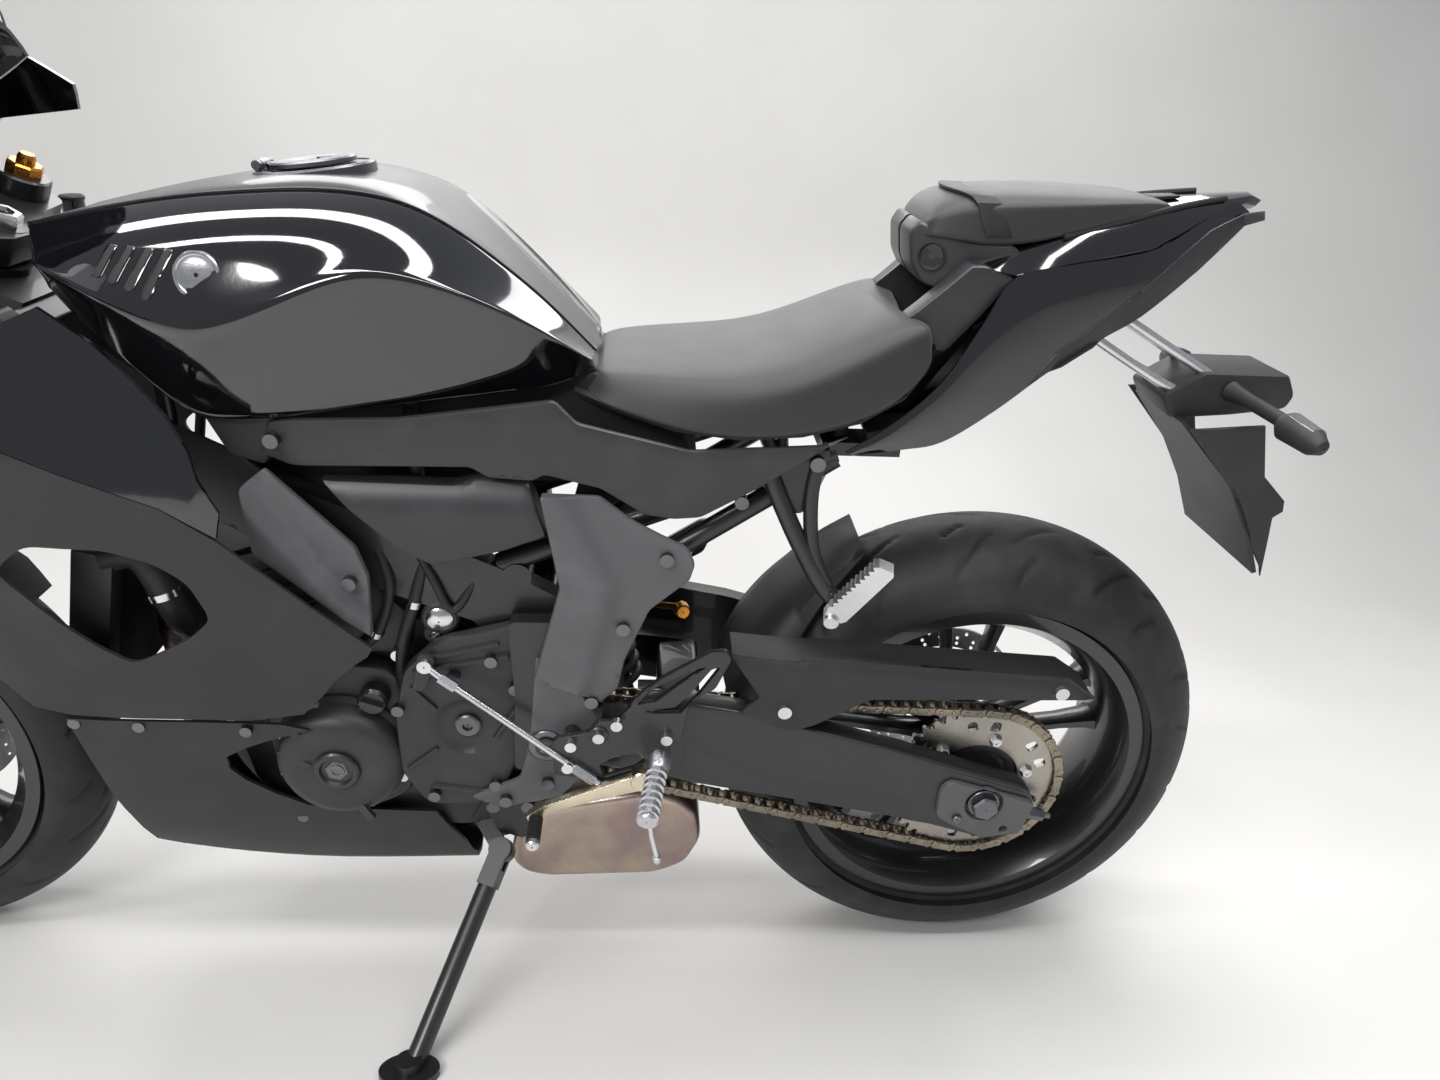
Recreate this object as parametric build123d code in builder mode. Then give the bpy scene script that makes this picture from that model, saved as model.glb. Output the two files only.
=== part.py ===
from build123d import *
import os
from math import asin, atan2, cos, degrees, hypot, pi, radians, sin, sqrt

# A sport bike, leaning on its side stand. It is modelled upright, in millimetres: X runs to the rear,
# -Y is the left side with the stand, Z is up, and the ground below the middle of the wheelbase is the
# origin. At the end every piece is leaned onto the stand and set on the floor by one placing.

# Driving dimensions of the chassis
WHEELBASE = 1395.0
FRONT_R = 300.0
REAR_R = 315.0
CASTER = 23.67
TRAIL = 90.0
LEAN = 10.62
PIVOT_X, PIVOT_Z = 170.0, 398.0

# Tyres and rims
RIM_SEAT_R = 216.0
RIM_FLANGE_R = 229.0
RIM_WALL = 7.0
FRONT_TYRE_W, FRONT_RIM_W, FRONT_CROWN_R = 120.0, 89.0, 62.0
REAR_TYRE_W, REAR_RIM_W, REAR_CROWN_R = 180.0, 140.0, 95.0
SPOKES = 10
SPOKE_PAIR_ANGLE = 22.0
SPOKE_W, SPOKE_DEPTH = 15.0, 30.0
HUB_R = 36.0

# Axles, brakes and chain
AXLE_R = 12.5
AXLE_FIT = 0.08
FRONT_DISC_R, FRONT_DISC_BAND, FRONT_DISC_Y = 149.0, 34.0, 66.0
REAR_DISC_R, REAR_DISC_BAND, REAR_DISC_Y = 110.0, 30.0, 84.0
DISC_T = 4.5
DISC_GAP = 6.0
CHAIN_PITCH = 15.875
REAR_TEETH, FRONT_TEETH = 42, 16
CHAIN_Y = -106.0
SPROCKET_T = 7.0
CHAIN_PLATE_H, CHAIN_PLATE_T, CHAIN_INNER_W = 15.0, 4.0, 12.0
FRONT_SPROCKET_X, FRONT_SPROCKET_Z = 84.0, 404.0

# Fork and steering
FORK_Y = 105.0
FORK_UPPER_R, FORK_LOWER_R = 27.0, 20.5
STEM_R = 16.0
HEAD_TUBE_R = 34.0
HEAD_LOW, HEAD_HIGH = 800.0, 985.0
CLAMP_T = 30.0
HEAD_GAP = 5.5
PIN_FIT = 0.08
SEAT_GAP = 0.3
FORK_TOP, FORK_JOIN = 1040.0, 560.0
BAR_H = 985.0
BAR_TIP_Y = 340.0
GRIP_R, BAR_R = 16.5, 11.0

# Bodywork
PANEL_T = 4.0
PANEL_GAP = 0.8
FRAME_Y = 118.0
FRAME_T = 26.0
ARM_Y, ARM_T = 148.0, 26.0
STAND_PIVOT = (107.0, -122.0, 214.0)
STAND_FOOT = (22.0, -313.0)
STAND_R = 12.0
CAP_R = 42.0
CAP_GAP = 0.6

# Worked out from the driving dimensions
caster_s, caster_c = sin(radians(CASTER)), cos(radians(CASTER))
lean_s, lean_c = sin(radians(LEAN)), cos(radians(LEAN))
FRONT_X, REAR_X = -WHEELBASE / 2, WHEELBASE / 2
STEER_FOOT_X = FRONT_X - TRAIL
FORK_OFFSET = FRONT_R * caster_s - TRAIL * caster_c
FRONT_AXLE_H = TRAIL * caster_s + FRONT_R * caster_c
REAR_PITCH_R = CHAIN_PITCH / 2 / sin(pi / REAR_TEETH)
FRONT_PITCH_R = CHAIN_PITCH / 2 / sin(pi / FRONT_TEETH)

# Leaning lifts each tyre off the floor by the crown's share, and the lift levels both
front_lift = FRONT_CROWN_R * (1 - lean_c)
rear_lift = REAR_CROWN_R * (1 - lean_c)
settle_pitch = -degrees(asin((rear_lift - front_lift) / WHEELBASE))
settle_lift = (rear_lift + front_lift) / 2
ORIGIN_SHIFT = (-7.4, 183.8, 0.0)
PARKED = (Location((*ORIGIN_SHIFT[:2], settle_lift)) * Location((0, 0, 0), (0, settle_pitch, 0))
          * Location((0, 0, 0), (LEAN, 0, 0)))

os.makedirs("parts", exist_ok=True)


def across(x):
    """The plane across the bike at x; its own x is the bike's Y and its own y is Z."""
    return Plane(origin=(x, 0, 0), x_dir=(0, 1, 0), z_dir=(1, 0, 0))


def side(y):
    """The side-view plane at y; its own x is the bike's X and its own y is Z; it faces left."""
    return Plane(origin=(0, y, 0), x_dir=(1, 0, 0), z_dir=(0, -1, 0))


def steered(h, y=0.0, ahead=0.0):
    """The plane square to the steering axis at h along it, ahead of it and off to one side."""
    return Plane(origin=(STEER_FOOT_X + h * caster_s - ahead * caster_c, y, h * caster_c + ahead * caster_s),
                 x_dir=(caster_c, 0, -caster_s), z_dir=(caster_s, 0, caster_c))


def behind(h, back):
    """The side-view point at h along the steering axis and a distance behind it."""
    return (STEER_FOOT_X + h * caster_s + back * caster_c, h * caster_c - back * caster_s)


def outline(plane, points, corner=0.0):
    """A closed outline of straight edges with its corners rounded."""
    with BuildSketch(plane) as drawn:
        with BuildLine():
            Polyline(*points, close=True)
        make_face()
        if corner:
            fillet(drawn.vertices(), corner)
    return drawn.sketch


def disc(plane, radius, centre=(0, 0)):
    """A round outline on the plane."""
    with BuildSketch(plane) as drawn:
        with Locations(centre):
            Circle(radius)
    return drawn.sketch


def mirrored(half):
    """A cross-section's right-hand points followed by their left-hand twins."""
    return list(half) + [(-y, z) for y, z in reversed(half) if y > 0]


def tube(start, end, radius):
    """A round bar from start to end."""
    axis = Vector(*end) - Vector(*start)
    return extrude(disc(Plane(origin=start, z_dir=axis), radius), amount=axis.length)


def save(piece, label):
    """Park the finished piece on the stand, label it and write it."""
    parked = piece.part.moved(PARKED)
    parked.label = label
    export_step(parked, f"parts/{label}.step")


# Wheels

def make_rim(x, axle_z, width, label):
    """A cast rim: barrel with its well and flanges, hub, and paired spokes."""
    half, flange = width / 2, width / 2 + 7
    spoke_reach = RIM_SEAT_R - 18
    with BuildPart() as rim:
        with BuildSketch(Plane(origin=(x, 0, axle_z), x_dir=(0, 1, 0), z_dir=(-1, 0, 0))):
            with BuildLine():
                Polyline((-flange, RIM_FLANGE_R), (-half, RIM_FLANGE_R - 1), (-half, RIM_SEAT_R),
                         (-half + 14, RIM_SEAT_R - 2), (-half * 0.55, RIM_SEAT_R - 20),
                         (half * 0.55, RIM_SEAT_R - 20), (half - 14, RIM_SEAT_R - 2),
                         (half, RIM_SEAT_R), (half, RIM_FLANGE_R - 1), (flange, RIM_FLANGE_R),
                         (flange, RIM_SEAT_R - RIM_WALL), (half * 0.6, RIM_SEAT_R - 20 - RIM_WALL),
                         (-half * 0.6, RIM_SEAT_R - 20 - RIM_WALL), (-flange, RIM_SEAT_R - RIM_WALL),
                         close=True)
            make_face()
        revolve(axis=Axis((x, 0, axle_z), (0, 1, 0)))
        hub = disc(Plane(origin=(x, 0, axle_z), x_dir=(1, 0, 0), z_dir=(0, 1, 0)), HUB_R)
        extrude(hub, amount=44, both=True)
        for pair in range(SPOKES // 2):
            for lean in (-1, 1):
                angle = radians(90 + 360 * pair / (SPOKES // 2) + lean * SPOKE_PAIR_ANGLE / 2)
                inner = radians(90 + 360 * pair / (SPOKES // 2) + lean * SPOKE_PAIR_ANGLE * 0.9)
                tip = (x + spoke_reach * cos(angle), axle_z + spoke_reach * sin(angle))
                root = (x + (HUB_R - 10) * cos(inner), axle_z + (HUB_R - 10) * sin(inner))
                run = hypot(tip[0] - root[0], tip[1] - root[1])
                with BuildSketch(Plane(origin=(root[0], SPOKE_DEPTH / 2, root[1]),
                                       x_dir=(tip[0] - root[0], 0, tip[1] - root[1]), z_dir=(0, -1, 0))) as spoke:
                    with BuildLine():
                        Polyline((0, -SPOKE_W * 0.7), (run, -SPOKE_W / 2), (run, SPOKE_W / 2),
                                 (0, SPOKE_W * 0.7), close=True)
                    make_face()
                extrude(spoke.sketch, amount=SPOKE_DEPTH)
        bore = disc(Plane(origin=(x, 0, axle_z), x_dir=(1, 0, 0), z_dir=(0, 1, 0)), AXLE_R + AXLE_FIT)
        extrude(bore, amount=60, both=True, mode=Mode.SUBTRACT)
    save(rim, label)


def make_tyre(x, axle_z, outer_r, width, rim_width, crown_r, label):
    """A tyre seated on its rim, with a round crown and straight walls to the beads."""
    half_bead = rim_width / 2 - 0.3
    shoulder_y = width / 2
    shoulder_r = outer_r - crown_r + sqrt(max(crown_r ** 2 - shoulder_y ** 2, 0.0))
    with BuildPart() as tyre:
        with BuildSketch(Plane(origin=(x, 0, axle_z), x_dir=(0, 1, 0), z_dir=(-1, 0, 0))):
            with BuildLine():
                ThreePointArc((-shoulder_y, shoulder_r), (0, outer_r), (shoulder_y, shoulder_r))
                Line((shoulder_y, shoulder_r), (half_bead, RIM_FLANGE_R + 4))
                Line((half_bead, RIM_FLANGE_R + 4), (half_bead, RIM_SEAT_R + 0.3))
                Line((half_bead, RIM_SEAT_R + 0.3), (half_bead - 12, RIM_SEAT_R + 0.3))
                Line((half_bead - 12, RIM_SEAT_R + 0.3), (shoulder_y - 12, shoulder_r - 4))
                ThreePointArc((shoulder_y - 12, shoulder_r - 4), (0, outer_r - 12),
                              (-shoulder_y + 12, shoulder_r - 4))
                Line((-shoulder_y + 12, shoulder_r - 4), (-half_bead + 12, RIM_SEAT_R + 0.3))
                Line((-half_bead + 12, RIM_SEAT_R + 0.3), (-half_bead, RIM_SEAT_R + 0.3))
                Line((-half_bead, RIM_SEAT_R + 0.3), (-half_bead, RIM_FLANGE_R + 4))
                Line((-half_bead, RIM_FLANGE_R + 4), (-shoulder_y, shoulder_r))
            make_face()
        revolve(axis=Axis((x, 0, axle_z), (0, 1, 0)))
    save(tyre, label)


def ring(x, z, y, thickness, outer, inner):
    """A flat ring round an axle, centred on y."""
    with BuildSketch(side(y + thickness / 2)) as drawn:
        with Locations((x, z)):
            Circle(outer)
            Circle(inner, mode=Mode.SUBTRACT)
    return extrude(drawn.sketch, amount=thickness)


def wheel_spider(x, z, y, thickness, outer, arm_w, count):
    """Flat arms from the hub out to a ring, as on a brake disc or sprocket."""
    with BuildSketch(side(y + thickness / 2)) as drawn:
        with Locations((x, z)):
            with PolarLocations(0, count):
                with Locations((outer / 2 + 8, 0)):
                    Rectangle(outer - 10, arm_w)
            Circle(HUB_R - 0.5)
            Circle(AXLE_R + 8, mode=Mode.SUBTRACT)
    return extrude(drawn.sketch, amount=thickness)


make_rim(FRONT_X, FRONT_R, FRONT_RIM_W, "front_rim")
make_rim(REAR_X, REAR_R, REAR_RIM_W, "rear_rim")
make_tyre(FRONT_X, FRONT_R, FRONT_R, FRONT_TYRE_W, FRONT_RIM_W, FRONT_CROWN_R, "front_tyre")
make_tyre(REAR_X, REAR_R, REAR_R, REAR_TYRE_W, REAR_RIM_W, REAR_CROWN_R, "rear_tyre")

with BuildPart() as front_discs:
    for y in (-FRONT_DISC_Y, FRONT_DISC_Y):
        ring(FRONT_X, FRONT_R, y, DISC_T, FRONT_DISC_R, FRONT_DISC_R - FRONT_DISC_BAND)
        wheel_spider(FRONT_X, FRONT_R, y, DISC_T, FRONT_DISC_R - FRONT_DISC_BAND, 16, 5)
        carrier = disc(side(0), HUB_R - 1, (FRONT_X, FRONT_R))
        carrier_hole = disc(side(0), AXLE_R + 8, (FRONT_X, FRONT_R))
        reach = FRONT_DISC_Y - DISC_T / 2 - 44
        with BuildSketch(side(y - (DISC_T / 2 + reach) * (1 if y > 0 else -1))) as seat:
            with Locations((FRONT_X, FRONT_R)):
                Circle(HUB_R - 2)
                Circle(AXLE_R + 8, mode=Mode.SUBTRACT)
        extrude(seat.sketch, amount=-reach if y > 0 else reach)
save(front_discs, "front_discs")

with BuildPart() as rear_disc:
    ring(REAR_X, REAR_R, REAR_DISC_Y, DISC_T, REAR_DISC_R, REAR_DISC_R - REAR_DISC_BAND)
    wheel_spider(REAR_X, REAR_R, REAR_DISC_Y, DISC_T, REAR_DISC_R - REAR_DISC_BAND, 16, 5)
    with BuildSketch(side(44)) as seat:
        with Locations((REAR_X, REAR_R)):
            Circle(HUB_R - 2)
            Circle(AXLE_R + 8, mode=Mode.SUBTRACT)
    extrude(seat.sketch, amount=-(REAR_DISC_Y - DISC_T / 2 - 44))
save(rear_disc, "rear_disc")

ROLLER_R = 5.0
SPROCKET_RIM_R = REAR_PITCH_R - ROLLER_R - 0.5
with BuildPart() as rear_sprocket:
    ring(REAR_X, REAR_R, CHAIN_Y, SPROCKET_T, SPROCKET_RIM_R, SPROCKET_RIM_R - 22)
    wheel_spider(REAR_X, REAR_R, CHAIN_Y, SPROCKET_T, SPROCKET_RIM_R - 22, 20, 6)
    with BuildSketch(side(-44)) as seat:
        with Locations((REAR_X, REAR_R)):
            Circle(62)
            Circle(AXLE_R + 8, mode=Mode.SUBTRACT)
    extrude(seat.sketch, amount=-CHAIN_Y - SPROCKET_T / 2 - 44)
save(rear_sprocket, "rear_sprocket")

# Frame, engine and what they carry

def pair(drawing, thickness):
    """A plate on the left, from its outer face inwards, with its twin on the right."""
    left = extrude(drawing, amount=-thickness)
    mirror(left, about=Plane.XZ)


TANK_STATIONS = (
    # x, half_bottom, z_bottom, half_crease, z_crease, half_seam, z_seam, z_top
    (-330, 96, 895, 116, 914, 70, 931, 938),
    (-240, 146, 868, 168, 905, 88, 952, 965),
    (-140, 146, 776, 185, 893, 98, 975, 992),
    (-10, 132, 790, 190, 925, 98, 990, 1008),
    (100, 112, 808, 165, 905, 82, 940, 958),
    (190, 88, 820, 120, 846, 60, 858, 873),
    (222, 78, 824, 95, 831, 50, 834, 839),
)


def tank_bottom(x):
    """The height of the tank's underside at x, between the stations on either side."""
    for low, high in zip(TANK_STATIONS, TANK_STATIONS[1:]):
        if low[0] <= x <= high[0]:
            return low[2] + (high[2] - low[2]) * (x - low[0]) / (high[0] - low[0])
    return TANK_STATIONS[-1][2]


INNER_Y = FRAME_Y - FRAME_T
ENGINE_HALF = INNER_Y - 6
SPAR = [(-377, 797), (-342, 877), (-332, 870), (-230, 770), (-60, 690), (120, 612), (212, 560),
        (212, 486), (140, 486), (90, 545), (-120, 625), (-300, 735)]
PIVOT_PLATE = [(132, 560), (212, 560), (220, 470), (216, 384), (180, 352), (132, 362), (136, 470)]
PIVOT_PLATE_Y, PIVOT_PLATE_T = 146.0, 20.0
SUBFRAME_LUGS = ((140, 600, 16), (202, 554, 18))
ENGINE_HANGERS = (((90, 545), (142, 500), (118, 455), (80, 470)), ((-192, 662), (-130, 640), (-140, 600), (-186, 588)))
TANK_REST_R = 8.0
TANK_RESTS = ((-200, 740), (40, 635))
HEAD_GUSSET = [(-373, 797), (-342, 868), (-316, 850), (-352, 776)]
NECK_HALF = 66.0
# The neck joins the head tube to the gusset between the clamps, inside the sweep of the fork legs
NECK = [behind(850, 12), behind(977, 12), behind(977, 64), behind(890, 64)]
CROSS_TUBES = (
    # x, z, radius
    (170, 525, 16),
    (-60, 655, 14),
    (202, 554, 13),
)

# The stand swings about a slanted bolt, from out to the left and down, back under the engine
stand_foot_z = (-settle_lift - STAND_FOOT[1] * lean_s) / lean_c
stand_leg = Vector(STAND_FOOT[0], STAND_FOOT[1], stand_foot_z) - Vector(*STAND_PIVOT)
stand_down = stand_leg.normalized()
stand_stowed = Vector(0.985, -0.13, 0.06).normalized()
stand_axis = stand_down.cross(stand_stowed).normalized()
STAND_LUG_R, STAND_LUG_T, STAND_CHEEK_T, STAND_CHEEK_GAP = 15.0, 12.0, 7.0, 0.5
STAND_PIN_R, STAND_PIN_FIT = 5.0, 0.06
stand_plane = Plane(origin=STAND_PIVOT, x_dir=stand_down, z_dir=stand_axis)
stand_arm_angle = (180 + degrees(stand_down.get_angle(stand_stowed) * pi / 180) / 2)

with BuildPart() as main_frame:
    for sign in (-1, 1):
        extrude(outline(side(sign * FRAME_Y), SPAR, 8), amount=sign * FRAME_T)
        extrude(outline(side(sign * PIVOT_PLATE_Y), PIVOT_PLATE, 8), amount=sign * PIVOT_PLATE_T)
        joint = outline(side(sign * PIVOT_PLATE_Y), [(142, 555), (206, 555), (206, 492), (142, 492)], 6)
        extrude(joint, amount=sign * (PIVOT_PLATE_Y - INNER_Y))
        for x, z, radius in SUBFRAME_LUGS:
            extrude(disc(side(sign * FRAME_Y), radius, (x, z)), amount=sign * FRAME_T)
    extrude(disc(steered(HEAD_LOW), HEAD_TUBE_R), amount=HEAD_HIGH - HEAD_LOW)
    extrude(outline(side(INNER_Y), HEAD_GUSSET, 5), amount=2 * INNER_Y)
    extrude(outline(side(NECK_HALF), NECK), amount=2 * NECK_HALF)
    for x, z, radius in CROSS_TUBES:
        extrude(disc(side(INNER_Y), radius, (x, z)), amount=2 * INNER_Y)
    for hanger in ENGINE_HANGERS:
        for sign in (-1, 1):
            extrude(outline(side(sign * INNER_Y), hanger, 5), amount=sign * (INNER_Y - ENGINE_HALF - SEAT_GAP))
    for x, foot in TANK_RESTS:
        rest = min(tank_bottom(x - TANK_REST_R), tank_bottom(x + TANK_REST_R)) - SEAT_GAP
        for sign in (-1, 1):
            post = disc(Plane.XY.offset(foot), TANK_REST_R, (x, sign * (FRAME_Y - FRAME_T / 2)))
            extrude(post, amount=rest - foot)
    stand_plate = [(66, 240), (84, 208), (112, 214), (146, 280), (146, 345), (118, 352), (100, 300)]
    extrude(outline(side(-94), stand_plate, 5), amount=-7)
    stand_strap = [(150, 422), (190, 422), (192, 380), (146, 320), (120, 330), (130, 390)]
    extrude(outline(side(-94), stand_strap, 5), amount=-3.6)
    with BuildSketch(stand_plane.offset(-STAND_LUG_T / 2)) as lug:
        Circle(STAND_LUG_R)
        with Locations(Location((0, 0), stand_arm_angle)):
            with Locations((23, 0)):
                Rectangle(46, 20)
    extrude(lug.sketch, amount=STAND_LUG_T)
    pin_reach = STAND_LUG_T / 2 + STAND_CHEEK_GAP + STAND_CHEEK_T
    extrude(disc(stand_plane, STAND_PIN_R), amount=pin_reach, both=True)
    extrude(disc(steered(HEAD_LOW), STEM_R + PIN_FIT), amount=HEAD_HIGH - HEAD_LOW, mode=Mode.SUBTRACT)
    extrude(disc(side(PIVOT_PLATE_Y + 8), AXLE_R - AXLE_FIT, (PIVOT_X, PIVOT_Z)), amount=2 * PIVOT_PLATE_Y + 16)
save(main_frame, "main_frame")

ENGINE = [(-190, 300), (-150, 240), (100, 240), (122, 330), (122, 480), (60, 530), (-40, 520),
          (-95, 650), (-240, 606), (-212, 430)]
with BuildPart() as engine_block:
    extrude(outline(side(ENGINE_HALF), ENGINE, 10), amount=2 * ENGINE_HALF)
save(engine_block, "engine_block")

ALTERNATOR = (-70.0, 361.0)
ALTERNATOR_R, ALTERNATOR_Y = 72.0, 150.0
CLUTCH = (20.0, 372.0)
CLUTCH_R, CLUTCH_Y = 84.0, 146.0
SPROCKET_COVER = [(29, 548), (86, 524), (118, 500), (128, 380), (97, 308), (24, 300), (14, 383), (14, 480)]
with BuildPart() as engine_covers:
    start = ENGINE_HALF + 0.3
    extrude(disc(side(-start), ALTERNATOR_R, ALTERNATOR), amount=ALTERNATOR_Y - start - 14)
    extrude(disc(side(-start), ALTERNATOR_R - 12, ALTERNATOR), amount=ALTERNATOR_Y - start)
    extrude(outline(side(-start), [(-146, 400), (-100, 470), (6, 470), (6, 300), (-60, 285), (-140, 320)], 8),
            amount=24)
    extrude(outline(side(-132), SPROCKET_COVER, 8), amount=-5)
    for x, z in ((36, 522), (34, 318), (66, 500)):
        extrude(disc(side(-start), 8, (x, z)), amount=132 - start)
    extrude(disc(side(start + 34), CLUTCH_R, CLUTCH), amount=34)
    extrude(disc(side(CLUTCH_Y), CLUTCH_R - 14, CLUTCH), amount=CLUTCH_Y - start)
save(engine_covers, "engine_covers")

RADIATOR = [(-340, 440), (-310, 440), (-262, 640), (-292, 640)]
RADIATOR_HALF = 150.0
with BuildPart() as radiator:
    extrude(outline(side(RADIATOR_HALF), RADIATOR, 4), amount=2 * RADIATOR_HALF)
    for sign in (-1, 1):
        tube((-277, sign * 102, 634), (-258, sign * 102, 722), 6)
    extrude(offset(outline(side(FRAME_Y + 1), SPAR, 8), amount=SEAT_GAP), amount=2 * FRAME_Y + 2, mode=Mode.SUBTRACT)
save(radiator, "radiator")

SILENCER = [(112, 172), (150, 150), (300, 156), (350, 196), (356, 262), (300, 292), (150, 262), (118, 222)]
PIPE_R = 19.0
with BuildPart() as exhaust:
    extrude(outline(side(104), SILENCER, 12), amount=196)
    for y in (-42, 42):
        route = [(-236, y, 545), (-268, y, 500), (-262, y, 330), (-200, y * 0.8, 205), (-60, y * 0.7, 192),
                 (130, y * 0.7, 200)]
        for start, end in zip(route, route[1:]):
            tube(start, end, PIPE_R)
        for joint in route[1:-1]:
            with Locations(joint):
                Sphere(PIPE_R)
    extrude(offset(outline(side(ENGINE_HALF + 2), ENGINE, 10), amount=0.3), amount=2 * ENGINE_HALF + 4,
            mode=Mode.SUBTRACT)
    extrude(disc(Plane(origin=(318, 96, 232), z_dir=(0.5, 0.82, 0.12)), 28), amount=72)
save(exhaust, "exhaust")

# Bodywork skins: one outer shape, parted into panels where the real ones meet
FAIRING_STATIONS = (
    # x, then y and z from the middle of the top down to the keel
    (70, ((0, 900), (80, 895), (150, 860), (182, 560), (150, 430), (75, 165), (0, 150))),
    (-150, ((0, 930), (90, 920), (162, 870), (208, 640), (158, 430), (75, 165), (0, 150))),
    (-330, ((0, 1120), (90, 1090), (150, 1010), (214, 690), (165, 430), (84, 200), (0, 182))),
    (-420, ((0, 1152), (90, 1125), (148, 1035), (206, 710), (160, 470), (84, 260), (0, 240))),
    (-560, ((0, 1040), (80, 1015), (128, 950), (165, 770), (130, 600), (80, 480), (0, 460))),
    (-650, ((0, 915), (52, 900), (84, 860), (112, 770), (92, 680), (50, 620), (0, 610))),
    (-705, ((0, 800), (14, 796), (24, 784), (34, 755), (26, 725), (14, 708), (0, 704))),
)


def fairing_shape(shrink):
    """The fairing's closed outer shape, made smaller all round by the wall."""
    with BuildPart() as shape:
        sections = []
        for x, half in FAIRING_STATIONS:
            with BuildSketch(across(x)) as section:
                with BuildLine():
                    Polyline(*mirrored(half), close=True)
                make_face()
                if shrink:
                    offset(amount=-shrink, kind=Kind.INTERSECTION, mode=Mode.REPLACE)
            sections.append(section.sketch)
        loft(sections, ruled=True)
    return shape.part


with BuildPart() as skin:
    add(fairing_shape(0))
    add(fairing_shape(PANEL_T), mode=Mode.SUBTRACT)


def panel_of_skin(edge, holes=()):
    """The part of the skin inside an outline in the side view, without its holes."""
    with BuildPart() as panel:
        add(skin.part)
        extrude(outline(side(400), edge), amount=800, mode=Mode.INTERSECT)
        for hole in holes:
            extrude(outline(side(400), hole), amount=800, mode=Mode.SUBTRACT)
    return panel


SPLIT = [(-720, 640), (-640, 690), (-560, 752), (-400, 790), (-307, 768), (-260, 747), (-178, 714)]
FAIRING_TIP = [(-131, 683), (-126, 707)]
SCREEN_EDGE = [(-640, 903), (-530, 985), (-436, 1052), (-384, 1084)]
nose_edge = (SPLIT + [FAIRING_TIP[0], FAIRING_TIP[1], (-148, 763), (-182, 822), (-219, 862), (-262, 893),
             (-290, 880), (-298, 828), (-400, 822), (-440, 835), (-565, 850), (-590, 880), (-575, 925), (-455, 1005), (-436, 1021),
             (-350, 1034), (-344, 1060)] + list(reversed(SCREEN_EDGE)) + [(-665, 885), (-720, 860)])
nose_fairing = panel_of_skin(nose_edge, holes=())
LAMP_OPENING = [(-46, 742), (46, 742), (30, 800), (-30, 800)]
lamp_plane = Plane(origin=(-720, 0, 0), x_dir=(0, 1, 0), z_dir=(1, 0, 0))
with BuildPart() as nose_cut:
    add(nose_fairing.part)
    extrude(outline(lamp_plane, LAMP_OPENING, 6), amount=120, mode=Mode.SUBTRACT)
save(nose_cut, "nose_fairing")

with BuildPart() as headlamp:
    add(fairing_shape(1))
    extrude(offset(outline(lamp_plane, LAMP_OPENING, 6), amount=-SEAT_GAP), amount=110, mode=Mode.INTERSECT)
save(headlamp, "headlamp")

screen_edge_up = [(x - PANEL_GAP / 2, z + PANEL_GAP / 2) for x, z in SCREEN_EDGE]
windscreen = panel_of_skin(screen_edge_up + [(-400, 1170), (-560, 1080), (-660, 920)])
save(windscreen, "windscreen")

split_down = [(x, z - PANEL_GAP) for x, z in SPLIT[1:]]
WINDOW = [(-338, 649), (-304, 676), (-232, 672), (-189, 657), (-164, 636), (-150, 593), (-177, 567),
          (-220, 542), (-242, 532), (-267, 554), (-304, 599)]
side_panels = panel_of_skin(split_down + [(-133, 681), (-1, 551), (-21, 530), (-70, 480), (-97, 466),
                              (-264, 470), (-375, 504), (-470, 585), (-570, 665)], holes=(WINDOW,))
FAIRING_BOSSES = (
    # x, z, inner end
    (-312, 497, RADIATOR_HALF + SEAT_GAP),
    (-128, 640, FRAME_Y + SEAT_GAP),
)
with BuildPart() as side_fairings:
    for x, z, inner in FAIRING_BOSSES:
        for sign in (-1, 1):
            extrude(disc(side(sign * inner), 6, (x, z)), amount=-sign * 80)
    add(fairing_shape(1), mode=Mode.INTERSECT)
    add(side_panels.part)
save(side_fairings, "side_fairings")

BELLY = [(-336, 425), (-296, 432), (-119, 430), (-93, 420), (-138, 404), (-192, 376), (-182, 333),
         (-122, 281), (28, 265), (38, 238), (55, 200), (66, 140), (-200, 140), (-325, 170), (-338, 300)]
belly_panel = panel_of_skin(BELLY)
with BuildPart() as belly_pan:
    for x, z in ((-104, 262), (4, 254)):
        for sign in (-1, 1):
            extrude(disc(side(sign * (ENGINE_HALF + SEAT_GAP)), 8, (x, z)), amount=-sign * 30)
    add(fairing_shape(1), mode=Mode.INTERSECT)
    add(belly_panel.part)
save(belly_pan, "belly_pan")

with BuildPart() as instrument_panel:
    face = Plane(origin=(-509, 0, 1000), x_dir=(0, 1, 0), z_dir=(0.86, 0, 0.5))
    with BuildSketch(face) as bezel:
        RectangleRounded(150, 64, 10)
    extrude(bezel.sketch, amount=-20)
    tube((-440, 0, 858), (-528, 0, 905), 11)
    tube((-528, 0, 905), (-522, 0, 992), 11)
    extrude(disc(steered(HEAD_LOW), HEAD_TUBE_R + 0.3), amount=HEAD_HIGH - HEAD_LOW, mode=Mode.SUBTRACT)
save(instrument_panel, "instrument_panel")

with BuildPart() as mirrors:
    for sign in (-1, 1):
        tube((-578, sign * 108, 922), (-540, sign * 262, 1100), 7)
        glass = Plane(origin=(-522, sign * 272, 1112), x_dir=(0, 1, 0), z_dir=(1, 0, 0.05))
        with BuildSketch(glass) as back:
            RectangleRounded(158, 74, 26)
        with BuildSketch(glass.offset(-34)) as crown:
            RectangleRounded(110, 40, 18)
        loft([back.sketch, crown.sketch])
    add(fairing_shape(-SEAT_GAP), mode=Mode.SUBTRACT)
save(mirrors, "mirrors")

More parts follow.
